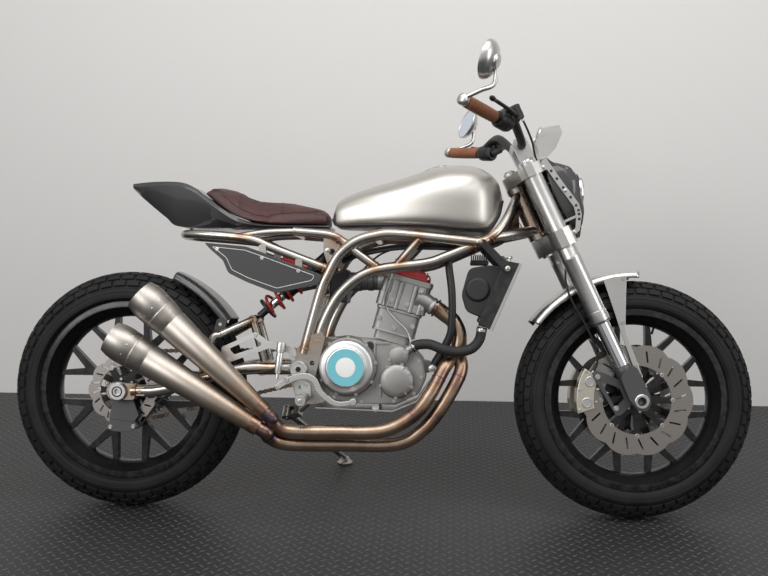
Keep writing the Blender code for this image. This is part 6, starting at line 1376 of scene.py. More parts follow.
piece("crankcase_castings", "chassis", CAST, [*case, *ribs], bevel=0.0014, replaces=("crankcase",))

cover = [(-0.1123, 0.06), (-0.1123, 0.0775), (-0.1145, 0.078), (-0.136, 0.078), (-0.141, 0.0775),
    (-0.1458, 0.0755), (-0.1492, 0.071), (-0.15, 0.068), (-0.151, 0.059), (-0.1526, 0.057), (-0.155, 0.056),
    (-0.1566, 0.0552), (-0.1574, 0.054), (-0.1574, 0)]
piece("clutch_cover_casting", "chassis", MACHINED, [turned(cover, 96, CLUTCH)], sharp=45,
    replaces=("clutch_cover",))
piece("clutch_ring_cyan", "chassis", BADGE, [turned([(-0.1572, 0.0285), (-0.1582, 0.0285), (-0.1582, 0.052),
                (-0.1572, 0.0525)], 96, CLUTCH, True)])
piece("clutch_ring_white", "chassis", BADGE_WHITE,
    [turned([(-0.1572, 0.0283), (-0.1584, 0.0278), (-0.1594, 0.018), (-0.16, 0)], 96, CLUTCH)])

around = []
bolt_rings = ((CLUTCH, 0.0825, -0.1115, 9, 0.15), (LOWER_COVER, 0.0455, -0.1305, 5, 0.9),
    (PUMP, 0.0265, -0.127, 4, 0.4))
for centre, radius, y, count, start in bolt_rings:
    turns = [start + 2 * math.pi * number / count for number in range(count)]
    around += [spot_round(centre, radius, turn, y) for turn in turns]
edge_spots = case_middle + (case_outline - case_middle) * 0.93
around += [(x, -0.0975, z) for x, z in edge_spots if math.hypot(x - CLUTCH[0], z - CLUTCH[2]) > 0.093]
left_spots = [spot_round(FLYWHEEL, 0.061, a, 0.0925) for a in np.radians([10, 75, 140, 200, 260, 320])]
piece("crankcase_bolts", "chassis", ZINC, [*bolts(around, (0, -1, 0), 0.0042),
        *bolts(left_spots, (0, 1, 0), 0.0042)])
filler = (0.724, -0.098, 0.49)
piece("oil_filler", "chassis", FOAM, [aimed([(0, 0), (0, 0.0125), (0.006, 0.0125), (0.0075, 0.011),
                (0.0075, 0)], 32, filler, (0, -1, 0)),
        placed(box((-0.009, 0.009), (0.007, 0.012), (-0.0022, 0.0022), 0.001),
            pointing(filler, (0, -1, 0)))], bevel=0.0005)
sprocket = [(0.0733, 0), (0.0733, 0.012), (0.0855, 0.012), (0.0855, 0.0298), (0.0915, 0.0298),
    (0.0915, 0.014), (0.1005, 0.012), (0.1005, 0)]
piece("drive_sprocket_turned", "chassis", STEEL, [turned(sprocket, 60, (DRIVE_X, 0, DRIVE_Z)),
        *bolt((DRIVE_X, 0.1005, DRIVE_Z), (0, 1, 0), 0.01, hexagon=True)], replaces=("drive_sprocket",),
    heat=even_heat(0))
print("covers round", CLUTCH, PUMP)

# %% [markdown]
# The barrel leans fifteen degrees forward. Its pieces are worked out straight up and tilted together.

# %% Barrel, head and oil line
BARREL = Matrix.Translation((0.778, -0.01, 0.4905)) @ Matrix.Rotation(math.radians(15), 4, "Y")


def block(x, y, z, corner):
    """A box along the barrel's own axis with its upright edges rounded."""
    return placed(slab(x, y, z, corner), BARREL)


def on_barrel(x, y, z):
    return BARREL @ Vector((x, y, z))


barrel = [block((-0.052, 0.052), (-0.056, 0.056), (0.01, 0.11), 0.014),
    block((-0.063, 0.062), (-0.065, 0.063), (0.036, 0.099), 0.02),
    block((-0.064, 0.063), (-0.0655, 0.0635), (0.0345, 0.04), 0.018),
    block((-0.066, 0.066), (-0.068, 0.066), (0.0985, 0.1065), 0.016),
    block((-0.072, 0.074), (-0.07, 0.066), (0.108, 0.15), 0.016),
    block((-0.069, 0.071), (-0.067, 0.063), (0.148, 0.19), 0.014),
    block((-0.072, 0.074), (-0.07, 0.066), (0.188, 0.2045), 0.012),
    block((-0.04, 0.046), (0.058, 0.067), (0.03, 0.2), 0.004)]
stud = [(0.1065, 0), (0.1065, 0.0085), (0.186, 0.0085), (0.186, 0)]
for x in (-0.047, -0.012, 0.03, 0.055):
    barrel.append(placed(column(stud, x, -0.066, 24), BARREL))
exhaust_port = on_barrel(0.094, -0.05, 0.142)
exhaust_way = (exhaust_port - on_barrel(0.04, -0.05, 0.155)).normalized()
intake_port = on_barrel(-0.086, 0.0, 0.168)
port_start = exhaust_port - exhaust_way * 0.055
barrel.append(pipe([port_start.lerp(exhaust_port, s) for s in (0, 0.3, 0.6, 0.8, 0.85, 1)],
        [0.03, 0.028, 0.026, 0.0245, 0.026, 0.026], 40))
intake_start = intake_port + Vector((0.05, 0, 0))
barrel.append(pipe([intake_start.lerp(intake_port, s) for s in (0, 0.5, 1)], 0.025, 36))
piece("barrel_and_head", "chassis", CAST, barrel, bevel=0.0015, replaces=("cylinder",))
head_bolts = [on_barrel(x, -0.0655, z) for x, z in ((-0.05, 0.07), (0.05, 0.07), (0.0, 0.052))]
head_bolts += [on_barrel(x, -0.0705, z) for x, z in ((-0.028, 0.128), (0.018, 0.128), (0.06, 0.128))]
piece("barrel_bolts", "chassis", ZINC, bolts(head_bolts, (0, -1, 0), 0.0058))

cam_cover = [block((-0.062, 0.064), (-0.058, 0.054), (0.2055, 0.214), 0.016),
    block((-0.057, 0.059), (-0.053, 0.049), (0.212, 0.2255), 0.018),
    block((-0.04, 0.044), (-0.036, 0.032), (0.224, 0.2315), 0.014)]
for x in (-0.048, -0.02, 0.004, 0.028, 0.048):
    cam_cover.append(block((x, x + 0.004), (-0.045, 0.041), (0.222, 0.2318), 0.0015))
piece("cam_cover", "chassis", RED, cam_cover, bevel=0.0014, replaces=("valve_cover",))
cam_spots = [on_barrel(x, y, 0.2145) for x in (-0.055, 0.057) for y in (-0.051, 0.0, 0.047)]
piece("cam_cover_bolts", "chassis", ZINC, bolts(cam_spots, BARREL.to_3x3() @ Vector((0, 0, 1)), 0.0045,
        0.0065))
sensor = [(0, 0), (0, 0.0095), (0.004, 0.0095), (0.004, 0.007), (0.013, 0.007), (0.014, 0.006), (0.014, 0)]
piece("head_sensor", "chassis", ZINC, [aimed(sensor, 32, on_barrel(0.048, -0.069, 0.176), (0, -1, 0))])

throat = intake_port - Vector((0.0003, 0, 0))
back = Vector((0.645, throat.y, throat.z))
throttle = [pipe([throat.lerp(back, s) for s in (0, 0.12, 0.14, 0.3, 0.32, 0.5, 0.52, 0.9, 1)],
        [0.024, 0.024, 0.0265, 0.0265, 0.024, 0.026, 0.028, 0.028, 0.027], 40)]
shoulder = box((0.66, 0.69), (-0.042, 0.042), (throat.z - 0.018, throat.z + 0.02), 0.006)
piece("throttle_body", "chassis", DARK_CAST, [*throttle, shoulder,
        *bolt((0.676, -0.042, throat.z), (0, -1, 0), 0.012)], bevel=0.001)
front_face = np.array([(0.652, -0.055, 0.61), (0.652, 0.055, 0.61), (0.652, 0.055, 0.712),
        (0.652, -0.055, 0.712)])
rear_face = np.array([(0.602, -0.07, 0.62), (0.602, 0.07, 0.62), (0.602, 0.07, 0.69), (0.602, -0.07, 0.69)])
faces = np.stack([rear_face, rear_face * 0.5 + front_face * 0.5, front_face])
piece("air_box", "chassis", FOAM, [grid(faces, False, True, True)], bevel=0.006, replaces=("intake",))

oil_line = [(0.785, -0.121, 0.69), (0.774, -0.113, 0.65), (0.766, -0.1, 0.617), (0.774, -0.093, 0.59),
    (0.8, -0.0935, 0.562), (0.828, -0.0945, 0.535), (0.84, -0.098, 0.505), (0.838, -0.1005, 0.484)]
piece("oil_line", "chassis", BRAID, [bent(oil_line, 0.0029, 90, 12)])
union = [(-0.006, 0), (-0.006, 0.0058), (0.007, 0.0058), (0.007, 0.004), (0.012, 0.004), (0.012, 0)]
line_ends = [aimed(union, 6, oil_line[0], (-0.2, 0.1, -0.9)), aimed(union, 6, oil_line[-1], (0.1, 0, 0.9))]
piece("oil_line_unions", "chassis", ZINC, line_ends, bevel=0.0004)
print("engine top at", [round(v, 3) for v in on_barrel(0, 0, 0.232)])

# %% [markdown]
# The tank is lofted: every cross-section is a superellipse, |y/a|^p + |z/b|^p = 1, whose half width and
# height are read off smooth curves along the machine. The reflections show at once whether it is fair.

# %% Fuel tank
tank_top = smooth_table([(0.606, 0.885), (0.626, 0.915), (0.689, 0.944), (0.803, 0.978), (0.861, 0.997),
        (0.922, 1.015), (0.975, 1.019), (1.023, 1.014), (1.064, 0.995), (1.09, 0.968), (1.102, 0.94)])
tank_bottom = smooth_table([(0.606, 0.846), (0.626, 0.832), (0.7, 0.829), (0.86, 0.826), (0.985, 0.815),
        (1.05, 0.818), (1.07, 0.83), (1.09, 0.862), (1.102, 0.905)])
tank_half = smooth_table([(0.606, 0.062), (0.64, 0.08), (0.74, 0.112), (0.86, 0.134), (0.96, 0.137),
        (1.03, 0.122), (1.07, 0.092), (1.09, 0.062), (1.102, 0.034)])
TANK_START, TANK_END = 0.6035, 1.1028


def tank_section(u, angle, inset=0.0):
    """u runs from tail to nose: x = centre - half length cos(pi u), so the sections crowd at both ends."""
    x = 0.5 * (TANK_START + TANK_END) - 0.5 * (TANK_END - TANK_START) * np.cos(math.pi * u)
    near = np.minimum(1, np.minimum(x - TANK_START, TANK_END - x) / 0.016)
    round_off = np.sqrt(np.clip(1 - (1 - near) ** 2, 0, 1))
    top, bottom, half = tank_top(x), tank_bottom(x), tank_half(x)
    middle = bottom + (top - bottom) * 0.42
    c, s = np.cos(angle), np.sin(angle)
    power = np.where(s > 0, 2.5, 5.0)
    rise = np.where(s > 0, top - middle, middle - bottom) * round_off - inset
    y = (half * round_off - inset) * np.sign(c) * np.abs(c) ** (2 / power)
    z = middle + rise * np.sign(s) * np.abs(s) ** (2 / power)
    return np.stack([x + 0 * y, y, z], -1)


u = np.linspace(0.012, 0.988, 140)[:, None]
around_tank = angles(160)[None]
piece("fuel_tank_shell", "chassis", TANK, [grid(tank_section(u, around_tank), False, True, True)], sharp=70,
    replaces=("fuel_tank",))

seam_u = np.linspace(0.03, 0.97, 120)
near_side = tank_section(seam_u, math.radians(-40))
far_side = tank_section(seam_u[::-1], math.radians(-140))
seam = np.concatenate([near_side, far_side])
piece("tank_lower_edge", "chassis", FOAM, [pipe(seam, 0.0042, 10, closed=True)])
cap_x = 0.905
cap_spot = (cap_x, 0, float(tank_top(cap_x)) - 0.008)
cap_place = Matrix.Translation(cap_spot) @ Matrix.Rotation(math.radians(-16), 4, "Y")
cap_form = column([(0.002, 0), (0.002, 0.036), (0.008, 0.037), (0.0095, 0.0355), (0.0095, 0.0325),
        (0.0088, 0.032), (0.0088, 0.026), (0.0105, 0.0245), (0.0125, 0.022), (0.0125, 0.019),
        (0.011, 0.0178), (0.011, 0)], steps=72)
piece("fuel_cap", "chassis", POLISHED, [placed(cap_form, cap_place)])
cap_screws = [cap_place @ Vector((0.029 * math.cos(a), 0.029 * math.sin(a), 0.0088)) for a in angles(6)]
piece("fuel_cap_screws", "chassis", ZINC, bolts(cap_screws, cap_place.to_3x3() @ Vector((0, 0, 1)), 0.0024,
        0.0018))
print("tank", len(u) * around_tank.shape[1], "points")

# %% [markdown]
# The tail is carbon: one loft from the number-board tip to the tray under the seat. Its upper and lower
# lines are smooth curves through the CAD's, and the section has a flat top, a sharp shoulder and tucked-in
# sides.

# %% Tail cowl and side panels
cowl_top = smooth_table([(0.008, 0.958), (0.087, 0.961), (0.167, 0.957), (0.209, 0.941), (0.236, 0.922),
        (0.3, 0.875), (0.353, 0.849), (0.432, 0.836), (0.6, 0.836)])
cowl_bottom = smooth_table([(0.008, 0.942), (0.061, 0.898), (0.115, 0.857), (0.158, 0.83), (0.3, 0.826),
        (0.6, 0.826)])
cowl_half = smooth_table([(0.008, 0.05), (0.06, 0.074), (0.15, 0.104), (0.24, 0.114), (0.35, 0.11),
        (0.48, 0.098), (0.6, 0.08)])


def cowl_surface(x):
    """Cross-sections of (y, z) points: the right half, its mirror image, and one point below."""
    top, low, half = cowl_top(x), cowl_bottom(x), cowl_half(x)
    drop = np.minimum(0.012, (top - low) * 0.4)
    edge = top - drop
    half_section = [(0.72 * half, low), (0.94 * half, low + (edge - low) * 0.45), (half, edge),
        (0.93 * half, top), (0.4 * half, top - 0.0004), (0 * half, top - 0.0006)]
    right = np.stack([np.stack([x, -y, z], -1) for y, z in half_section], 1)
    left = np.stack([np.stack([x, y, z], -1) for y, z in reversed(half_section[:-1])], 1)
    bottom = np.stack([x, 0 * x, low + 0.0004], -1)[:, None]
    return np.concatenate([right, left, bottom], 1)


cowl_x = np.linspace(0.0085, 0.6, 90)
piece("tail_cowl_shell", "chassis", CARBON, [grid(cowl_surface(cowl_x), False, True, True)], bevel=0.0016,
    sharp=28, replaces=("tail_cowl",))
strip_x = np.linspace(0.03, 0.205, 40)
strip_edges = []
for share in (0.3, 0.52):
    strip_edges.append(np.stack([strip_x, -cowl_half(strip_x) * share, cowl_top(strip_x) + 0.0002], -1))
tail_strips = [grid(np.stack(strip_edges, 1) * np.array([1, side, 1])) for side in (1, -1)]
piece("tail_stripes", "chassis", BADGE_WHITE, tail_strips, sharp=60)
panel_outline = [(0.247, 0.78), (0.368, 0.77), (0.42, 0.752), (0.589, 0.69), (0.579, 0.664), (0.457, 0.637),
    (0.37, 0.669), (0.318, 0.694), (0.302, 0.73), (0.265, 0.761)]
stripe = np.array([(0.27, 0.7685), (0.366, 0.759), (0.417, 0.7415), (0.566, 0.6885), (0.559, 0.675),
        (0.4585, 0.6515), (0.3765, 0.68), (0.3285, 0.703), (0.3125, 0.737), (0.283, 0.76)])
stripe = rounded(stripe, 0.006)
PANEL_FACE = 0.1393
for name, side in (("right", -1), ("left", 1)):
    low, high = sorted((side * 0.1335, side * 0.1395))
    stripe_line = np.column_stack([stripe[:, 0], np.full(len(stripe), side * PANEL_FACE), stripe[:, 1]])
    piece("side_panel_stripe_" + name, "chassis", BADGE_WHITE, [pipe(stripe_line, 0.0008, 8, closed=True)])
    piece("side_panel_sheet_" + name, "chassis", CARBON, [plate(rounded(panel_outline, 0.007), low, high)],
        bevel=0.0012, replaces=("side_panel_" + name,))
    piece("side_panel_bolts_" + name, "chassis", ZINC,
        bolts([(x, side * PANEL_FACE, z) for x, z in ((0.415, 0.738), (0.52, 0.702), (0.285, 0.762))],
            (0, side, 0), 0.0045, 0.003))
print("cowl", len(cowl_x), "sections")

# %% [markdown]
# The seat is simulated: a cloth cushion is inflated inside the CAD seat's outline, so the leather swells
# and pulls tight at the edges as padded upholstery does. Its underside stays pinned to the tray.

# %% Seat
seat_top = smooth_table([(0.236, 0.936), (0.262, 0.946), (0.285, 0.94), (0.31, 0.922), (0.355, 0.9),
        (0.407, 0.888), (0.512, 0.886), (0.57, 0.886), (0.59, 0.874)])
seat_half = smooth_table([(0.236, 0.098), (0.3, 0.112), (0.4, 0.112), (0.5, 0.098), (0.59, 0.074)])


def seat_surface(x, shrink=0.0):
    low = cowl_top(x) + 0.001 + shrink
    top = np.maximum(seat_top(x), low + 0.016) - shrink
    half = seat_half(x) - shrink
    edge = low + (top - low) * 0.55
    crown = top - 0.005
    half_section = [(0 * half, low), (half * 0.5, low), (half - 0.006, low),
        (half, low + (edge - low) * 0.5), (half - 0.003, edge), (half - 0.012, edge + (crown - edge) * 0.6),
        (half * 0.8, crown), (half * 0.4, top - 0.001), (0 * half, top)]
    right = np.stack([np.stack([x, -y, z], -1) for y, z in half_section], 1)
    left = np.stack([np.stack([x, y, z], -1) for y, z in reversed(half_section[1:-1])], 1)
    return np.concatenate([right, left], 1)


def inflated(form, voxel, pressure, frames, most, pinned):
    """Remeshes a closed form, blows it up as cloth held where pinned is true, and limits its moves."""
    mesh = bpy.data.meshes.new("cushion")
    mesh.from_pydata(form[0], [], form[1])
    item = bpy.data.objects.new("cushion", mesh)
    bpy.context.scene.collection.objects.link(item)
    remesh = item.modifiers.new("even mesh", "REMESH")
    remesh.mode = "VOXEL"
    remesh.voxel_size = voxel
    even = bpy.data.meshes.new_from_object(item.evaluated_get(bpy.context.evaluated_depsgraph_get()))
    item.modifiers.clear()
    item.data = even
    faces = [list(face.vertices) for face in even.polygons]
    rest = np.array([corner.co for corner in even.vertices])
    hold = item.vertex_groups.new(name="hold")
    hold.add(np.flatnonzero(pinned(rest)).tolist(), 1.0, "REPLACE")
    cloth = item.modifiers.new("cloth", "CLOTH")
    cloth.settings.quality = 6
    cloth.settings.vertex_group_mass = "hold"
    cloth.settings.tension_stiffness = 22
    cloth.settings.compression_stiffness = 12
    cloth.settings.bending_stiffness = 1.5
    cloth.settings.use_pressure = True
    cloth.settings.uniform_pressure_force = pressure
    cloth.settings.effector_weights.gravity = 0
    cloth.collision_settings.use_collision = False
    cloth.point_cache.frame_start = 1
    cloth.point_cache.frame_end = frames
    for number in range(1, frames + 1):
        bpy.context.scene.frame_set(number)
    blown = item.evaluated_get(bpy.context.evaluated_depsgraph_get()).to_mesh()
    move = np.array([corner.co for corner in blown.vertices]) - rest
    length = np.linalg.norm(move, axis=1, keepdims=True)
    rest = rest + move * np.minimum(1, most / np.maximum(length, 1e-9))
    print("cushion moved at most", round(float(length.max()) * 1000, 1), "mm")
    bpy.context.scene.frame_set(1)
    bpy.data.objects.remove(item)
    return rest, faces


seat_form = grid(seat_surface(np.linspace(0.2395, 0.591, 70), 0.0022), False, True, True)
cushion_form = inflated(seat_form, 0.0048, 4.0, 20, 0.022,
    lambda points: points[:, 2] < cowl_top(points[:, 0]) + 0.0065)
cushion = piece("seat_cushion", "chassis", SEAT, [cushion_form], sharp=80, replaces=("seat",))
finer = cushion.modifiers.new("finer", "SUBSURF")
finer.levels = 1
finer.render_levels = 1

# %% [markdown]
# Piping and stitches go on after the leather has taken its shape: each point of a seam is dropped onto the
# cushion by a ray, so the cord lies in the surface instead of floating over it.

# %% Seat seams
leather_skin = BVHTree.FromPolygons([tuple(point) for point in cushion_form[0]], cushion_form[1])


def laid(points, lift):
    """Each point moved to the leather straight below it, lift above the surface."""
    found = [leather_skin.ray_cast(Vector((x, y, 1.3)), Vector((0, 0, -1)))[0] for x, y in points]
    return np.array([(spot.x, spot.y, spot.z + lift) for spot in found if spot is not None])


seam_x = np.linspace(0.255, 0.578, 110)
piping = []
stitches = []
for side in (1, -1):
    line = laid([(x, side * (seat_half(x) - 0.019)) for x in seam_x], 0.0002)
    piping.append(pipe(smooth_path(line[::4], 140), 0.0019, 10))
    beside = laid([(x, side * (seat_half(x) - 0.026)) for x in np.linspace(0.258, 0.576, 118)], 0.0004)
    for start, end in zip(beside[0::2], beside[1::2]):
        stitches.append(pipe(np.array([start, (start + end) / 2 + (0, 0, 0.0003), end]), 0.0006, 6))
for x in (0.333, 0.455):
    half = float(seat_half(x)) - 0.022
    line = laid([(x + 0.006 * (y / half) ** 2, y) for y in np.linspace(-half, half, 60)], 0.0001)
    piping.append(pipe(smooth_path(line[::3], 80), 0.0016, 10))
piece("seat_piping", "chassis", SEAT, piping, sharp=70)
piece("seat_stitches", "chassis", TAN, stitches, sharp=70)
print("seat", len(cushion_form[0]), "points,", len(stitches), "stitches")

# %% [markdown]
# A coil spring is a helix: centre + axis t + r (u cos a + v sin a). It fills the gap between the collars.

# %% Shock absorber
COLLAR_GAP, WIRE, COIL_RADIUS, THREAD = 0.07, 0.0044, 0.0305, 0.0015
shock_low, shock_high = Vector((0.374, 0.0, 0.56)), Vector(SHOCK_TOP)
shock_way = (shock_high - shock_low).normalized()
shock_length = (shock_high - shock_low).length
shock_place = pointing(shock_low, shock_way)
damper = [(0.0135, 0), (0.0135, 0.011), (0.045, 0.011), (0.045, 0.034), (0.047, 0.035), (0.051, 0.035),
    (0.052, 0.033), (0.052, 0.012), (0.11, 0.012), (0.11, 0.02), (0.112, 0.022)]
thread_count = int((shock_length - COLLAR_GAP - 0.116) / THREAD)
threads = [(0.114 + THREAD * n, 0.0222 + 0.0007 * (n % 2)) for n in range(thread_count)]
top_end = [(shock_length - COLLAR_GAP, 0.022), (shock_length - COLLAR_GAP, 0.033),
    (shock_length - 0.068, 0.035), (shock_length - 0.062, 0.035), (shock_length - 0.06, 0.033),
    (shock_length - 0.06, 0.018), (shock_length - 0.012, 0.018), (shock_length - 0.01, 0)]
eye = [(-0.016, 0.0083), (-0.016, 0.014), (-0.015, 0.015), (0.015, 0.015), (0.016, 0.014), (0.016, 0.0083)]
piece("shock_damper", "chassis", SATIN, [placed(turned(damper + threads + top_end, 48), shock_place),
        turned(eye, 40, SHOCK_TOP, True)], replaces=("shock_body",))
piece("shock_rod", "chassis", CHROME, [placed(turned([(0.0525, 0.0123), (0.109, 0.0123), (0.109, 0.0128),
                    (0.0525, 0.0128)], 40, (0, 0, 0), True), shock_place)])
coils, wire_steps = 5, 320
spring_start = 0.052 + 0.0047
spring_length = shock_length - COLLAR_GAP - spring_start - 0.0047
share = np.linspace(0, 1, wire_steps)
turn = 2 * math.pi * coils * share
rise = spring_start + spring_length * share
helix = np.column_stack([COIL_RADIUS * np.cos(turn), rise, COIL_RADIUS * np.sin(turn)])
piece("shock_coil", "chassis", RED, [placed(pipe(helix, WIRE, 16), shock_place)],
    replaces=("shock_spring",))
canister = pointing((0.505, -0.06, 0.722), (0.75, 0, -0.35))
piece("shock_reservoir", "chassis", RED, [placed(turned([(-0.045, 0), (-0.045, 0.016), (-0.042, 0.0185),
                    (0.03, 0.0185), (0.032, 0.017)], 40), canister)])
piece("shock_reservoir_cap", "chassis", SATIN, [placed(turned([(0.03, 0.019), (0.046, 0.019),
                    (0.049, 0.017), (0.049, 0)], 40), canister),
        bent([(0.548, -0.06, 0.702), (0.565, -0.052, 0.712), (0.575, -0.032, 0.735), (0.58, -0.016, 0.748)],
            0.004, 40, 14)])
print("spring", coils, "coils")

# %% [markdown]
# The exhaust is the loudest shape: a header that splits in two, and two long cones. Each cone is turned
# from one profile with pressed grooves, and the tint follows the welds and the hot small end.

# %% Exhaust
pipe_start = exhaust_port + exhaust_way * 0.0003
header = [tuple(pipe_start), tuple(pipe_start + exhaust_way * 0.014), (0.936, -0.06, 0.583),
    (0.962, -0.062, 0.562), (0.979, -0.066, 0.52), (0.975, -0.07, 0.466)]
CONES = ((Vector((0.44, -0.2, 0.306)), Vector((0.088, -0.222, 0.63))),
    (Vector((0.424, -0.205, 0.262)), Vector((0.008, -0.228, 0.51))))
ROUTES = ([(0.969, -0.068, 0.47), (0.938, -0.11, 0.432), (0.899, -0.142, 0.358), (0.853, -0.16, 0.3),
        (0.77, -0.168, 0.256), (0.64, -0.172, 0.25), (0.5, -0.184, 0.252), (0.462, -0.194, 0.28)],
    [(0.979, -0.074, 0.47), (0.986, -0.092, 0.43), (0.968, -0.11, 0.383), (0.927, -0.122, 0.313),
        (0.878, -0.128, 0.255), (0.806, -0.132, 0.215), (0.65, -0.14, 0.211), (0.5, -0.168, 0.214),
        (0.452, -0.19, 0.235)])
pipes = [bent(header, 0.0225, 90, 36)]
hot = [tuple(pipe_start), (0.975, -0.07, 0.468)]
rings = []
for (small, big), route in zip(CONES, ROUTES):
    direction = (big - small).normalized()
    seat_end = small - direction * 0.0005
    line = smooth_path([*route, tuple(seat_end - direction * 0.028), tuple(seat_end)], 190)
    pipes.append(pipe(line, 0.0195, 36))
    for share in (0.16, 0.34, 0.8, 0.955):
        at = int(share * 189)
        way = line[at + 1] - line[at - 1]
        rings.append(weld(tuple(line[at]), tuple(way), 0.0197, 0.0014))
        hot.append(tuple(line[at]))
collar = pointing(pipe_start, -exhaust_way)
pipe_heat = tint(hot, 0.035)
piece("exhaust_tubes", "chassis", TITANIUM, pipes, sharp=60, replaces=("exhaust_pipes",),
    heat=lambda points: 0.33 + 0.6 * pipe_heat(points))
piece("exhaust_welds", "chassis", TITANIUM, [*rings,
        weld((0.9745, -0.0695, 0.47), (0, 0, 1), 0.0226, 0.0018)], sharp=60, heat=even_heat(0.9))
piece("exhaust_flange", "chassis", STEEL, [placed(turned([(-0.004, 0.0228), (-0.004, 0.0275),
                    (-0.01, 0.0275), (-0.01, 0.0228)], 48, (0, 0, 0), True), collar)], bevel=0.0008,
    heat=even_heat(0.8))
SMALL, BIG = 0.0235, 0.0525
HEAT_REACH = 0.11


def groove(y, radius):
    """A pressed groove round the cone, 1.6 mm deep, in (y, radius) pairs."""
    return [(y - 0.004, radius), (y - 0.0015, radius - 0.0016), (y + 0.0015, radius - 0.0016),
        (y + 0.004, radius)]


def cone_heat(start):
    """heat(p) = 0.55 exp(-|p - start| / reach): it fades away from the cone's small end."""
    return lambda points: 0.55 * np.exp(-np.linalg.norm(points - start, axis=1) / HEAT_REACH)


for name, (small, big) in zip(("upper", "lower"), CONES):
    length = (big - small).length
    skin_profile = [(0, 0.019), (0, SMALL - 0.0006), (0.001, SMALL), (0.03, SMALL), (0.034, SMALL + 0.001),
        (0.14, SMALL + 0.0085)]
    skin_profile += groove(length - 0.122, BIG - 0.0066)
    skin_profile += [(length - 0.1, BIG - 0.0044)]
    skin_profile += groove(length - 0.078, BIG - 0.0014)
    skin_profile += [(length - 0.04, BIG), (length - 0.018, BIG - 0.002), (length - 0.003, BIG - 0.0062),
        (length, BIG - 0.007), (length, BIG - 0.009), (length - 0.018, BIG - 0.006),
        (length - 0.03, BIG - 0.0054)]
    there = pointing(small, (big - small).normalized())
    piece("silencer_" + name + "_skin", "chassis", CONE, [placed(turned(skin_profile, 120), there)],
        sharp=38, replaces=("silencer_" + name,), heat=cone_heat(np.array(small)))
    inside = [(length - 0.0295, BIG - 0.0055), (length - 0.034, BIG - 0.006), (length - 0.046, 0.032),
        (length - 0.054, 0.026), (length - 0.12, 0.022), (length - 0.12, 0)]
    piece("silencer_" + name + "_inside", "chassis", SOOT_AND_SHADE, [placed(turned(inside, 72), there)])
    collar_profile = [(0.001, SMALL + 0.0002), (0.001, SMALL + 0.0012), (0.028, SMALL + 0.0012),
        (0.029, SMALL + 0.0002)]
    piece("silencer_" + name + "_collar", "chassis", TITANIUM,
        [placed(turned(collar_profile, 72, (0, 0, 0), True), there)], heat=even_heat(0.65))
    rivet = aimed([(0, 0), (0, 0.0028), (0.0007, 0.0026), (0.0013, 0.0016), (0.0015, 0)], 12,
        (BIG - 0.0012, 0, 0), (1, 0, 0))
    rivet_row = there @ Matrix.Translation((0, length - 0.06, 0))
    rivets = [placed(form, rivet_row) for form in ring_of(rivet, 10, 0.2)]
    piece("silencer_" + name + "_rivets", "chassis", ZINC, rivets)
print("silencer length", round((CONES[0][1] - CONES[0][0]).length, 3))

# %% [markdown]
# The radiator's core is a stack of thin fins between two end tanks. One fin is a slab; an array of offsets
# lays forty-four of them along the core's slope.

# %% Radiator and hose
FIN_COUNT = 44
core_back, core_front = (1.032, 0.56), (1.072, 0.536)
core_top_back, core_top_front = (1.104, 0.738), (1.154, 0.728)
core_outline = np.array([core_top_back, core_top_front, core_front, core_back])
core_centre = core_outline.mean(0)
shroud_outline = [(1.06, 0.725), (1.106, 0.72), (1.046, 0.573), (1.0, 0.59), (0.985, 0.64), (1.005, 0.715)]
tanks = both(plate(rounded(core_outline, 0.006), 0.106, 0.122))
core = plate(core_centre + (core_outline - core_centre) * (0.9, 0.985), -0.107, 0.107)
shroud = plate(rounded(shroud_outline, 0.014, 5), -0.1, 0.085)
neck = pipe([(1.05, -0.105, 0.574), (1.0485, -0.105, 0.567), (1.044, -0.105, 0.549)], 0.0125, 28)
piece("radiator_body", "chassis", SATIN, [*tanks, core, neck], bevel=0.0012, replaces=("radiator",))
piece("fan_shroud", "chassis", FOAM, [shroud, placed(turned([(-0.106, 0), (-0.106, 0.03), (-0.1, 0.036)],
                40), Matrix.Translation((1.03, 0, 0.655)))], bevel=0.004)
fins = []
for share in np.linspace(0.03, 0.97, FIN_COUNT):
    ends = core_outline[[3, 2]] * (1 - share) + core_outline[[0, 1]] * share
    step = (core_outline[1] - core_outline[2]) / 190 * 0.35
    low, high = ends[0] + (0.003, 0), ends[1] - (0.0012, 0)
    fins.append(plate([low, high, high + step, low + step], -0.106, 0.106))
piece("radiator_fins", "chassis", ZINC, fins)
edge = [core_outline[1] - (0.008, -0.001), core_outline[1] - (0.0005, 0.0),
    core_outline[2] - (0.0005, -0.0005), core_outline[2] - (0.008, -0.0045)]
piece("radiator_edge", "chassis", POLISHED, both(plate(edge, 0.1205, 0.1226)), bevel=0.0003)
piece("radiator_cap", "chassis", ZINC, [column([(0.728, 0), (0.728, 0.012), (0.744, 0.012), (0.744, 0.017),
                (0.75, 0.017), (0.751, 0.015), (0.751, 0)], 1.112, -0.085)], bevel=0.0008)
spout_end = pump_centre + SPOUT_WAY * 0.045
hose_route = [(1.0436, -0.105, 0.5475), (1.036, -0.105, 0.512), (1.014, -0.112, 0.487),
    (0.975, -0.1235, 0.478), (0.935, -0.1235, 0.484), (0.895, -0.114, 0.497),
    tuple(spout_end + SPOUT_WAY * 0.017), tuple(spout_end + SPOUT_WAY * 0.0005)]
hose_line = smooth_path(hose_route, 190)
wave = np.cos(np.linspace(0, 70 * math.pi, 190))
ribbed = 0.0145 + 0.0006 * wave * (np.abs(np.linspace(-1, 1, 190)) < 0.86)
piece("radiator_hose_ribbed", "chassis", HOSE, [pipe(hose_line, ribbed, 32)], sharp=60,
    replaces=("radiator_hose",))
clamps = [pipe(hose_line[a:b], 0.0157, 36) for a, b in ((3, 10), (-10, -3))]
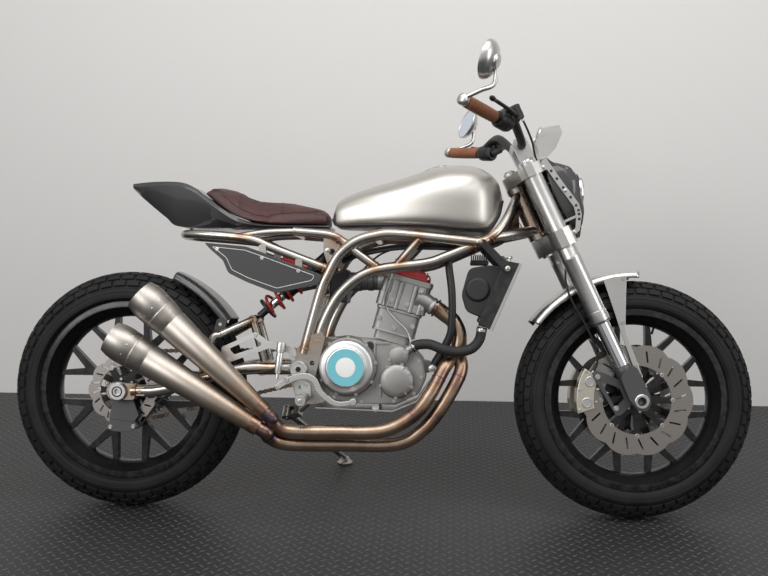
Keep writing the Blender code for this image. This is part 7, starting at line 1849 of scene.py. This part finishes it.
screws = bolts([hose_line[at] + (0, -0.0165, 0) for at in (6, -7)], (0, 0, 1), 0.0035, 0.006)
piece("hose_clamps", "chassis", ZINC, [*clamps, *screws], bevel=0.0003)
print("radiator", len(fins), "fins")

# %% [markdown]
# A chain is one link repeated along a loop at equal steps. The loop is two arcs and two tangents, and the
# links alternate between wide and narrow pairs of plates, with a pin through each joint.

# %% Chain and rear sprocket
CHAIN_Y, PITCH, REAR_TEETH, DRIVE_TEETH = 0.0885, 0.015875, 42, 15
drive_pitch, driven_pitch = PITCH * DRIVE_TEETH / (2 * math.pi), PITCH * REAR_TEETH / (2 * math.pi)
reach_x, reach_z = DRIVE_X, DRIVE_Z - REAR_RADIUS
tilt = math.atan2(reach_z, reach_x)
wrap = math.acos((driven_pitch - drive_pitch) / math.hypot(reach_x, reach_z))


def arc(centre, radius, start, end, count):
    angle = np.linspace(start, end, count)
    return np.column_stack([centre[0] + radius * np.cos(angle), centre[1] + radius * np.sin(angle)])


loop = np.vstack([arc((0, REAR_RADIUS), driven_pitch, tilt + wrap, tilt + 2 * math.pi - wrap, 300),
        arc((DRIVE_X, DRIVE_Z), drive_pitch, tilt - wrap, tilt + wrap, 120)])
loop = np.vstack([loop, loop[:1]])
run = np.concatenate([[0], np.cumsum(np.linalg.norm(np.diff(loop, axis=0), axis=1))])
link_count = 2 * round(run[-1] / PITCH / 2)
joint_steps = np.linspace(0, run[-1], link_count, endpoint=False)
joints = np.column_stack([np.interp(joint_steps, run, loop[:, k]) for k in (0, 1)])


def link_outline(length, big, waist):
    """A figure of eight round both joints, along +X from the first joint."""
    start = arc((0, 0), big, math.radians(55), math.radians(305), 9)
    end = arc((length, 0), big, math.radians(235), math.radians(485), 9)
    return np.vstack([start, [(length / 2, -waist)], end, [(length / 2, waist)]])


chain_plates = []
pins = []
for number in range(link_count):
    here, after = joints[number], joints[(number + 1) % link_count]
    step = after - here
    turn = Matrix.Rotation(-math.atan2(step[1], step[0]), 4, "Y")
    there = Matrix.Translation((here[0], CHAIN_Y, here[1])) @ turn
    outer = number % 2
    near, far = (0.0052, 0.0066) if outer else (0.0036, 0.005)
    form = plate(link_outline(np.linalg.norm(step), 0.0066, 0.0042), near, far)
    chain_plates += [placed(form, there), placed(mirrored(form), there)]
    pins.append(placed(turned([(-0.0074, 0), (-0.0074, 0.0024), (-0.0036, 0.0024), (-0.0035, 0.0048),
                    (0.0035, 0.0048), (0.0036, 0.0024), (0.0074, 0.0024), (0.0074, 0)], 12), there))
piece("chain_plates", "chassis", STEEL, chain_plates, replaces=("drive_chain",), heat=even_heat(0.35))
piece("chain_pins", "chassis", ZINC, pins)

teeth_angle = angles(REAR_TEETH * 8)
teeth_radius = 0.0958 + 0.0032 * np.clip(1.35 * np.cos(REAR_TEETH * teeth_angle), -1, 1)
teeth = np.column_stack([teeth_radius * np.cos(teeth_angle), teeth_radius * np.sin(teeth_angle)])
windows = []
for number in range(5):
    middle_angle = 2 * math.pi * (number + 0.5) / 5
    window = np.vstack([arc((0, 0), 0.082, middle_angle - 0.5, middle_angle + 0.5, 20),
            arc((0, 0), 0.052, middle_angle + 0.38, middle_angle - 0.38, 14)])
    windows.append(rounded(window, 0.0012, 1))
holes = [circle(0.0885 * math.cos(a), 0.0885 * math.sin(a), 0.0026, 14) for a in angles(20)]
sprocket_sheet = cut_sheet([teeth, *windows, *holes, circle(0, 0, 0.0218, 40)], CHAIN_Y - 0.003,
    CHAIN_Y + 0.003)
hub_ring = turned([(0.0755, 0.0217), (CHAIN_Y + 0.003, 0.0217), (CHAIN_Y + 0.003, 0.04), (0.0755, 0.04)],
    56, (0, 0, 0), True)
sprocket_bolts = [spot_round((0, 0, 0), 0.046, a, CHAIN_Y + 0.003) for a in angles(5)]
piece("rear_sprocket_sheet", "rear_wheel", DISC, [sprocket_sheet, hub_ring], REAR_WHEEL,
    replaces=("rear_sprocket",))
piece("rear_sprocket_bolts", "rear_wheel", ZINC, bolts(sprocket_bolts, (0, 1, 0), 0.0055, hexagon=True),
    REAR_WHEEL)
print("chain", link_count, "links")

# %% [markdown]
# The hugger reuses the front fender's crowned strip. Its arms are flat carbon plates to the swing arm.

# %% Rear hugger
hugger = piece("hugger_shell", "chassis", CARBON,
    [crowned_strip((0, REAR_RADIUS), REAR_RADIUS + 0.0262, 34.3, 67.7, 0.084, 0.001, 0.024, 0.03)],
    sharp=60, replaces=("rear_hugger",))
thickened(hugger, 0.0028, 1.0)
hugger_arm = [(0.252, 0.482), (0.274, 0.482), (0.3035, 0.545), (0.2975, 0.566), (0.276, 0.56)]
piece("hugger_arms", "chassis", CARBON, both(plate(rounded(hugger_arm, 0.004), 0.0845, 0.088),
        box((0.254, 0.271), (0.086, 0.1055), (0.484, 0.496), 0.002)), bevel=0.0006)
piece("hugger_bolts", "chassis", ZINC, side_bolts([(0.2625, 0.0882, 0.4895), (0.286, 0.0882, 0.545)],
        0.0042))

# %% [markdown]
# The rider's controls: grooved footpegs, a brake pedal that sweeps over the peg, and the gear lever.

# %% Footrests and pedals
peg_bracket = [(0.536, 0.392), (0.512, 0.385), (0.52, 0.336), (0.548, 0.33), (0.562, 0.345), (0.56, 0.38)]
for name, side in (("right", -1), ("left", 1)):
    low, high = sorted((side * 0.1373, side * 0.1473))
    grooves = np.linspace(0, 1, 64)
    peg_y = np.concatenate([[0.1413, 0.1775], 0.179 + 0.083 * grooves])
    peg_radius = np.concatenate([[0.0098, 0.0098], 0.0142 - 0.0006 * (np.arange(64) % 4 < 2)])
    peg_line = np.column_stack([0.548 + 0 * peg_y, side * peg_y,
            0.346 - 0.002 * np.clip((peg_y - 0.179) / 0.083, 0, 1)])
    piece("footrest_" + name + "_machined", "chassis", POLISHED,
        [cut_sheet([rounded(peg_bracket, 0.005), circle(0.532, 0.372, 0.006, 24)], low, high),
            pipe(peg_line, peg_radius, 28)], bevel=0.0006, replaces=("footrest_" + name,))
    piece("footrest_" + name + "_bolts", "chassis", ZINC,
        [*bolts([(0.524, side * 0.1474, 0.35), (0.548, side * 0.1474, 0.378)], (0, side, 0), 0.0055),
            *bolt((0.548, side * 0.2618, 0.344), (0, side, 0), 0.006, 0.003)])
pedal_y = -0.196
pedal = smooth_path([(0.47, pedal_y, 0.372), (0.5, pedal_y, 0.392), (0.543, pedal_y, 0.407),
        (0.575, pedal_y, 0.398), (0.598, pedal_y, 0.36), (0.64, pedal_y, 0.332), (0.69, pedal_y, 0.336)],
    120)
arm_height = np.interp(np.linspace(0, 1, 120), [0, 0.15, 0.8, 1], [0.0078, 0.0088, 0.0072, 0.0062])
way = unit(np.gradient(pedal, axis=0))
square = np.column_stack([-way[:, 2], 0 * way[:, 1], way[:, 0]])
half_arm = square * arm_height[:, None]
blade = np.vstack([pedal + half_arm, (pedal - half_arm)[::-1]])[:, [0, 2]]
pedal_forms = [plate(blade, pedal_y - 0.005, pedal_y + 0.005),
    rod(0.5, (-0.1375, -0.16, pedal_y - 0.0045), 0.396, 0.009, 32)]
pad_places = np.linspace(pedal_y + 0.02, pedal_y - 0.022, 29)
pedal_forms.append(rod(0.688, pad_places, 0.338, 0.01 - 0.0007 * (np.arange(29) % 4 < 2), 24))
piece("brake_pedal_forged", "chassis", POLISHED, pedal_forms, bevel=0.0016, replaces=("brake_pedal",))
piece("brake_pedal_bolts", "chassis", ZINC, [*bolt((0.5, pedal_y - 0.0048, 0.396), (0, -1, 0), 0.0065),
        *bolt((0.474, pedal_y - 0.005, 0.3745), (0, -1, 0), 0.0045)])
shift = [(0.628, 0.16, 0.372), (0.68, 0.16, 0.362), (0.74, 0.16, 0.352), (0.7495, 0.162, 0.352),
    (0.752, 0.172, 0.352), (0.752, 0.209, 0.352)]
shift_forms = [bent(shift, 0.0062, 70, 20), rod(0.628, (0.0748, 0.12, 0.168), 0.372, 0.009, 28)]
piece("gear_lever_forged", "chassis", POLISHED, shift_forms, bevel=0.0008, replaces=("gear_lever",))
piece("gear_lever_rubber", "chassis", HOSE, [rod(0.752, np.linspace(0.178, 0.2095, 17), 0.352,
            0.009 - 0.0008 * (np.arange(17) % 2), 20)])
piece("skid_plate_bolts", "chassis", ZINC, bolts([(0.74, 0.06, 0.2998), (0.74, -0.06, 0.2998)], (0, 0, -1),
        0.006, 0.003))
dressed("skid_plate", POLISHED, bevel=0.0006)
print("pedal blade", len(blade), "points")

# %% [markdown]
# The engine hangs from two black struts. The silencers hang from a cut plate, and the stand folds on its
# pin.

# %% Hangers and side stand
strut = [(0.944, 0.093, 0.758), (0.948, 0.093, 0.715), (0.957, 0.1005, 0.64), (0.957, 0.1005, 0.55),
    (0.944, 0.096, 0.5), (0.903, 0.086, 0.428)]
hanger_forms = [*both(bent(strut, 0.011, 90, 24)), rod(0.903, (-0.088, 0, 0.088), 0.428, 0.0097, 24)]
piece("engine_struts", "chassis", SATIN, hanger_forms, bevel=0.0006, replaces=("engine_hanger",))
piece("engine_strut_nuts", "chassis", ZINC, side_bolts([(0.903, 0.0965, 0.428)], 0.009, 0.007, True))
hanger_outline = [(0.3, 0.446), (0.303, 0.482), (0.4, 0.526), (0.438, 0.5), (0.504, 0.486), (0.516, 0.478),
    (0.519, 0.462), (0.514, 0.446), (0.503, 0.446), (0.496, 0.468), (0.439, 0.48), (0.33, 0.44),
    (0.318, 0.428)]
hanger_window = [(0.33, 0.47), (0.326, 0.478), (0.396, 0.51), (0.418, 0.493), (0.414, 0.487), (0.34, 0.461)]
hanger_boss = rod(0.316, (-0.1405, -0.16, -0.179), 0.44, 0.0093, 32)
piece("silencer_bracket", "chassis", POLISHED, [cut_sheet([rounded(hanger_outline, 0.0035, 3),
                rounded(hanger_window, 0.0025, 3)], -0.1413, -0.1373), hanger_boss], bevel=0.0005,
    replaces=("exhaust_hanger",))
piece("silencer_bracket_bolts", "chassis", ZINC, bolts([(0.511, -0.1413, 0.458), (0.4, -0.1413, 0.517),
            (0.311, -0.1413, 0.47)], (0, -1, 0), 0.0045))

stand_foot = Vector((0.604, 0.4152, 0.0724))
to_ground = MACHINE.to_3x3().inverted() @ Vector((0, 0, 1))
leg_end = stand_foot + to_ground * 0.016
stand_pivot = Vector(STAND_PIVOT)
stand_eye = placed(column([(-0.011, 0.0069), (-0.011, 0.0155), (-0.0105, 0.016), (0.0105, 0.016),
            (0.011, 0.0155), (0.011, 0.0069), (-0.011, 0.0069)]), clevis)
leg_line = np.array([tuple(stand_pivot.lerp(leg_end, s)) for s in np.linspace(0.052, 1, 24)])
foot_pad = aimed([(0, 0), (0, 0.024), (0.001, 0.0255), (0.004, 0.026), (0.006, 0.0255), (0.01, 0.019),
        (0.022, 0.012), (0.022, 0)], 48, stand_foot, to_ground)
piece("stand_leg", "side_stand", STEEL, [stand_eye,
        pipe(leg_line, np.interp(np.linspace(0, 1, 24), [0, 0.1, 1], [0.0105, 0.0092, 0.009]), 28),
        foot_pad], bevel=0.0005, replaces=("side_stand",), heat=even_heat(0))
print("stand foot", [round(v, 4) for v in MACHINE @ stand_foot])

# %% [markdown]
# Brake lines finish the machine. The front hose follows the CAD's own route, with crimped ends; the rear
# has its caliper, a hose along the swing arm and the silver pump above the pedal.

# %% Brake lines and rear caliper
hose_points = [(0.0565, -0.2495, 0.845), (0.0568, -0.2485, 0.833), (0.059, -0.235, 0.808),
    (0.064, -0.195, 0.78), (0.07, -0.135, 0.766), (0.074, -0.09, 0.75), (0.0748, -0.077, 0.72),
    (0.072, -0.07, 0.685), (0.064, -0.052, 0.63), (0.0625, -0.043, 0.57), (0.0625, -0.042, 0.51),
    (0.059, -0.045, 0.47), (0.038, -0.06, 0.445), (0.012, -0.074, 0.41), (-0.002, -0.0835, 0.37),
    (-0.004, -0.0865, 0.325), (0.001, -0.087, 0.27), (0.002, -0.086, 0.215), (-0.003, -0.083, 0.172),
    (-0.014, -0.0795, 0.143), (-0.0288, -0.0775, 0.1298), (-0.039, -0.0775, 0.12405)]
front_line = smooth_path(hose_points, 260)
piece("front_hose", "steering", HOSE, [pipe(front_line, 0.003, 16)], FORK, sharp=60,
    replaces=("front_brake_hose",))
crimps = [pipe(front_line[a:b], 0.0042, 18) for a, b in ((1, 9), (-10, -1))]
piece("front_hose_crimps", "steering", ZINC, crimps, FORK, bevel=0.0003)
dressed("rear_caliper", DARK_CAST, bevel=0.0012)
caliper_bolts = [spot_round(axle_centre, 0.11, a, -0.104) for a in np.radians([254, 290])]
piece("rear_caliper_bolts", "chassis", ZINC, bolts(caliper_bolts, (0, -1, 0), 0.005))
rear_route = [(0.02, -0.1, 0.236), (0.06, -0.104, 0.25), (0.12, -0.121, 0.322), (0.2, -0.135, 0.366),
    (0.3, -0.1395, 0.398), (0.4, -0.139, 0.409), (0.452, -0.15, 0.42), (0.47, -0.166, 0.438),
    (0.47, -0.17, 0.452)]
piece("rear_hose", "chassis", HOSE, [bent(rear_route, 0.003, 170, 14)], sharp=60)
pump_low, pump_top = np.array((0.467, -0.168, 0.395)), np.array((0.478, -0.16, 0.5))
pump_profile = [(0, 0), (0, 0.0045), (0.016, 0.0045), (0.016, 0.0085), (0.02, 0.0095), (0.07, 0.0095),
    (0.073, 0.0085), (0.076, 0.0085), (0.076, 0.012), (0.098, 0.0135), (0.103, 0.0125), (0.104, 0)]
piece("rear_pump", "chassis", POLISHED, [aimed(pump_profile, 40, pump_low, unit(pump_top - pump_low))],
    bevel=0.0005)
print("front hose", round(float(np.linalg.norm(np.diff(front_line, axis=0), axis=1).sum()), 3), "m long")

# %% [markdown]
# Last, the small dark things that fill a real machine: a finned regulator under the tank's nose, the loom
# along the rail, the throttle cable and the ignition coil. They are few, and each has a job.

# %% Wiring and small parts
regulator = [box((1.01, 1.062), (-0.052, 0.052), (0.728, 0.74), 0.003)]
for n in range(8):
    regulator.append(box((1.012 + 0.0062 * n, 1.0142 + 0.0062 * n), (-0.05, 0.05), (0.739, 0.757)))
piece("regulator", "chassis", FOAM, regulator, bevel=0.0006)
loom = [(1.128, -0.036, 0.836), (1.108, -0.052, 0.8), (1.07, -0.074, 0.779), (1.0, -0.088, 0.77),
    (0.9, -0.094, 0.772), (0.8, -0.096, 0.77), (0.7, -0.09, 0.752), (0.64, -0.08, 0.73)]
strands = ((0, 0, 0.0055), (0.008, 0.006, 0.0032), (-0.004, 0.009, 0.0028))
bundle = [bent([(x, y + dy, z + dz) for x, y, z in loom], radius, 120, 12) for dy, dz, radius in strands]
piece("loom", "chassis", HOSE, bundle, sharp=60)
throttle_cable = [(0.676, -0.03, 0.69), (0.76, -0.06, 0.76), (0.9, -0.062, 0.79), (1.02, -0.055, 0.8),
    (1.095, -0.048, 0.83)]
piece("throttle_cable", "chassis", HOSE, [bent(throttle_cable, 0.0028, 120, 12)], sharp=60)
coil_box = [box((0.62, 0.668), (-0.04, 0.04), (0.745, 0.785), 0.006),
    box((0.628, 0.66), (-0.047, 0.047), (0.752, 0.778), 0.004)]
piece("ignition_coil", "chassis", FOAM, coil_box, bevel=0.0012)
print("regulator fins", len(regulator) - 1)
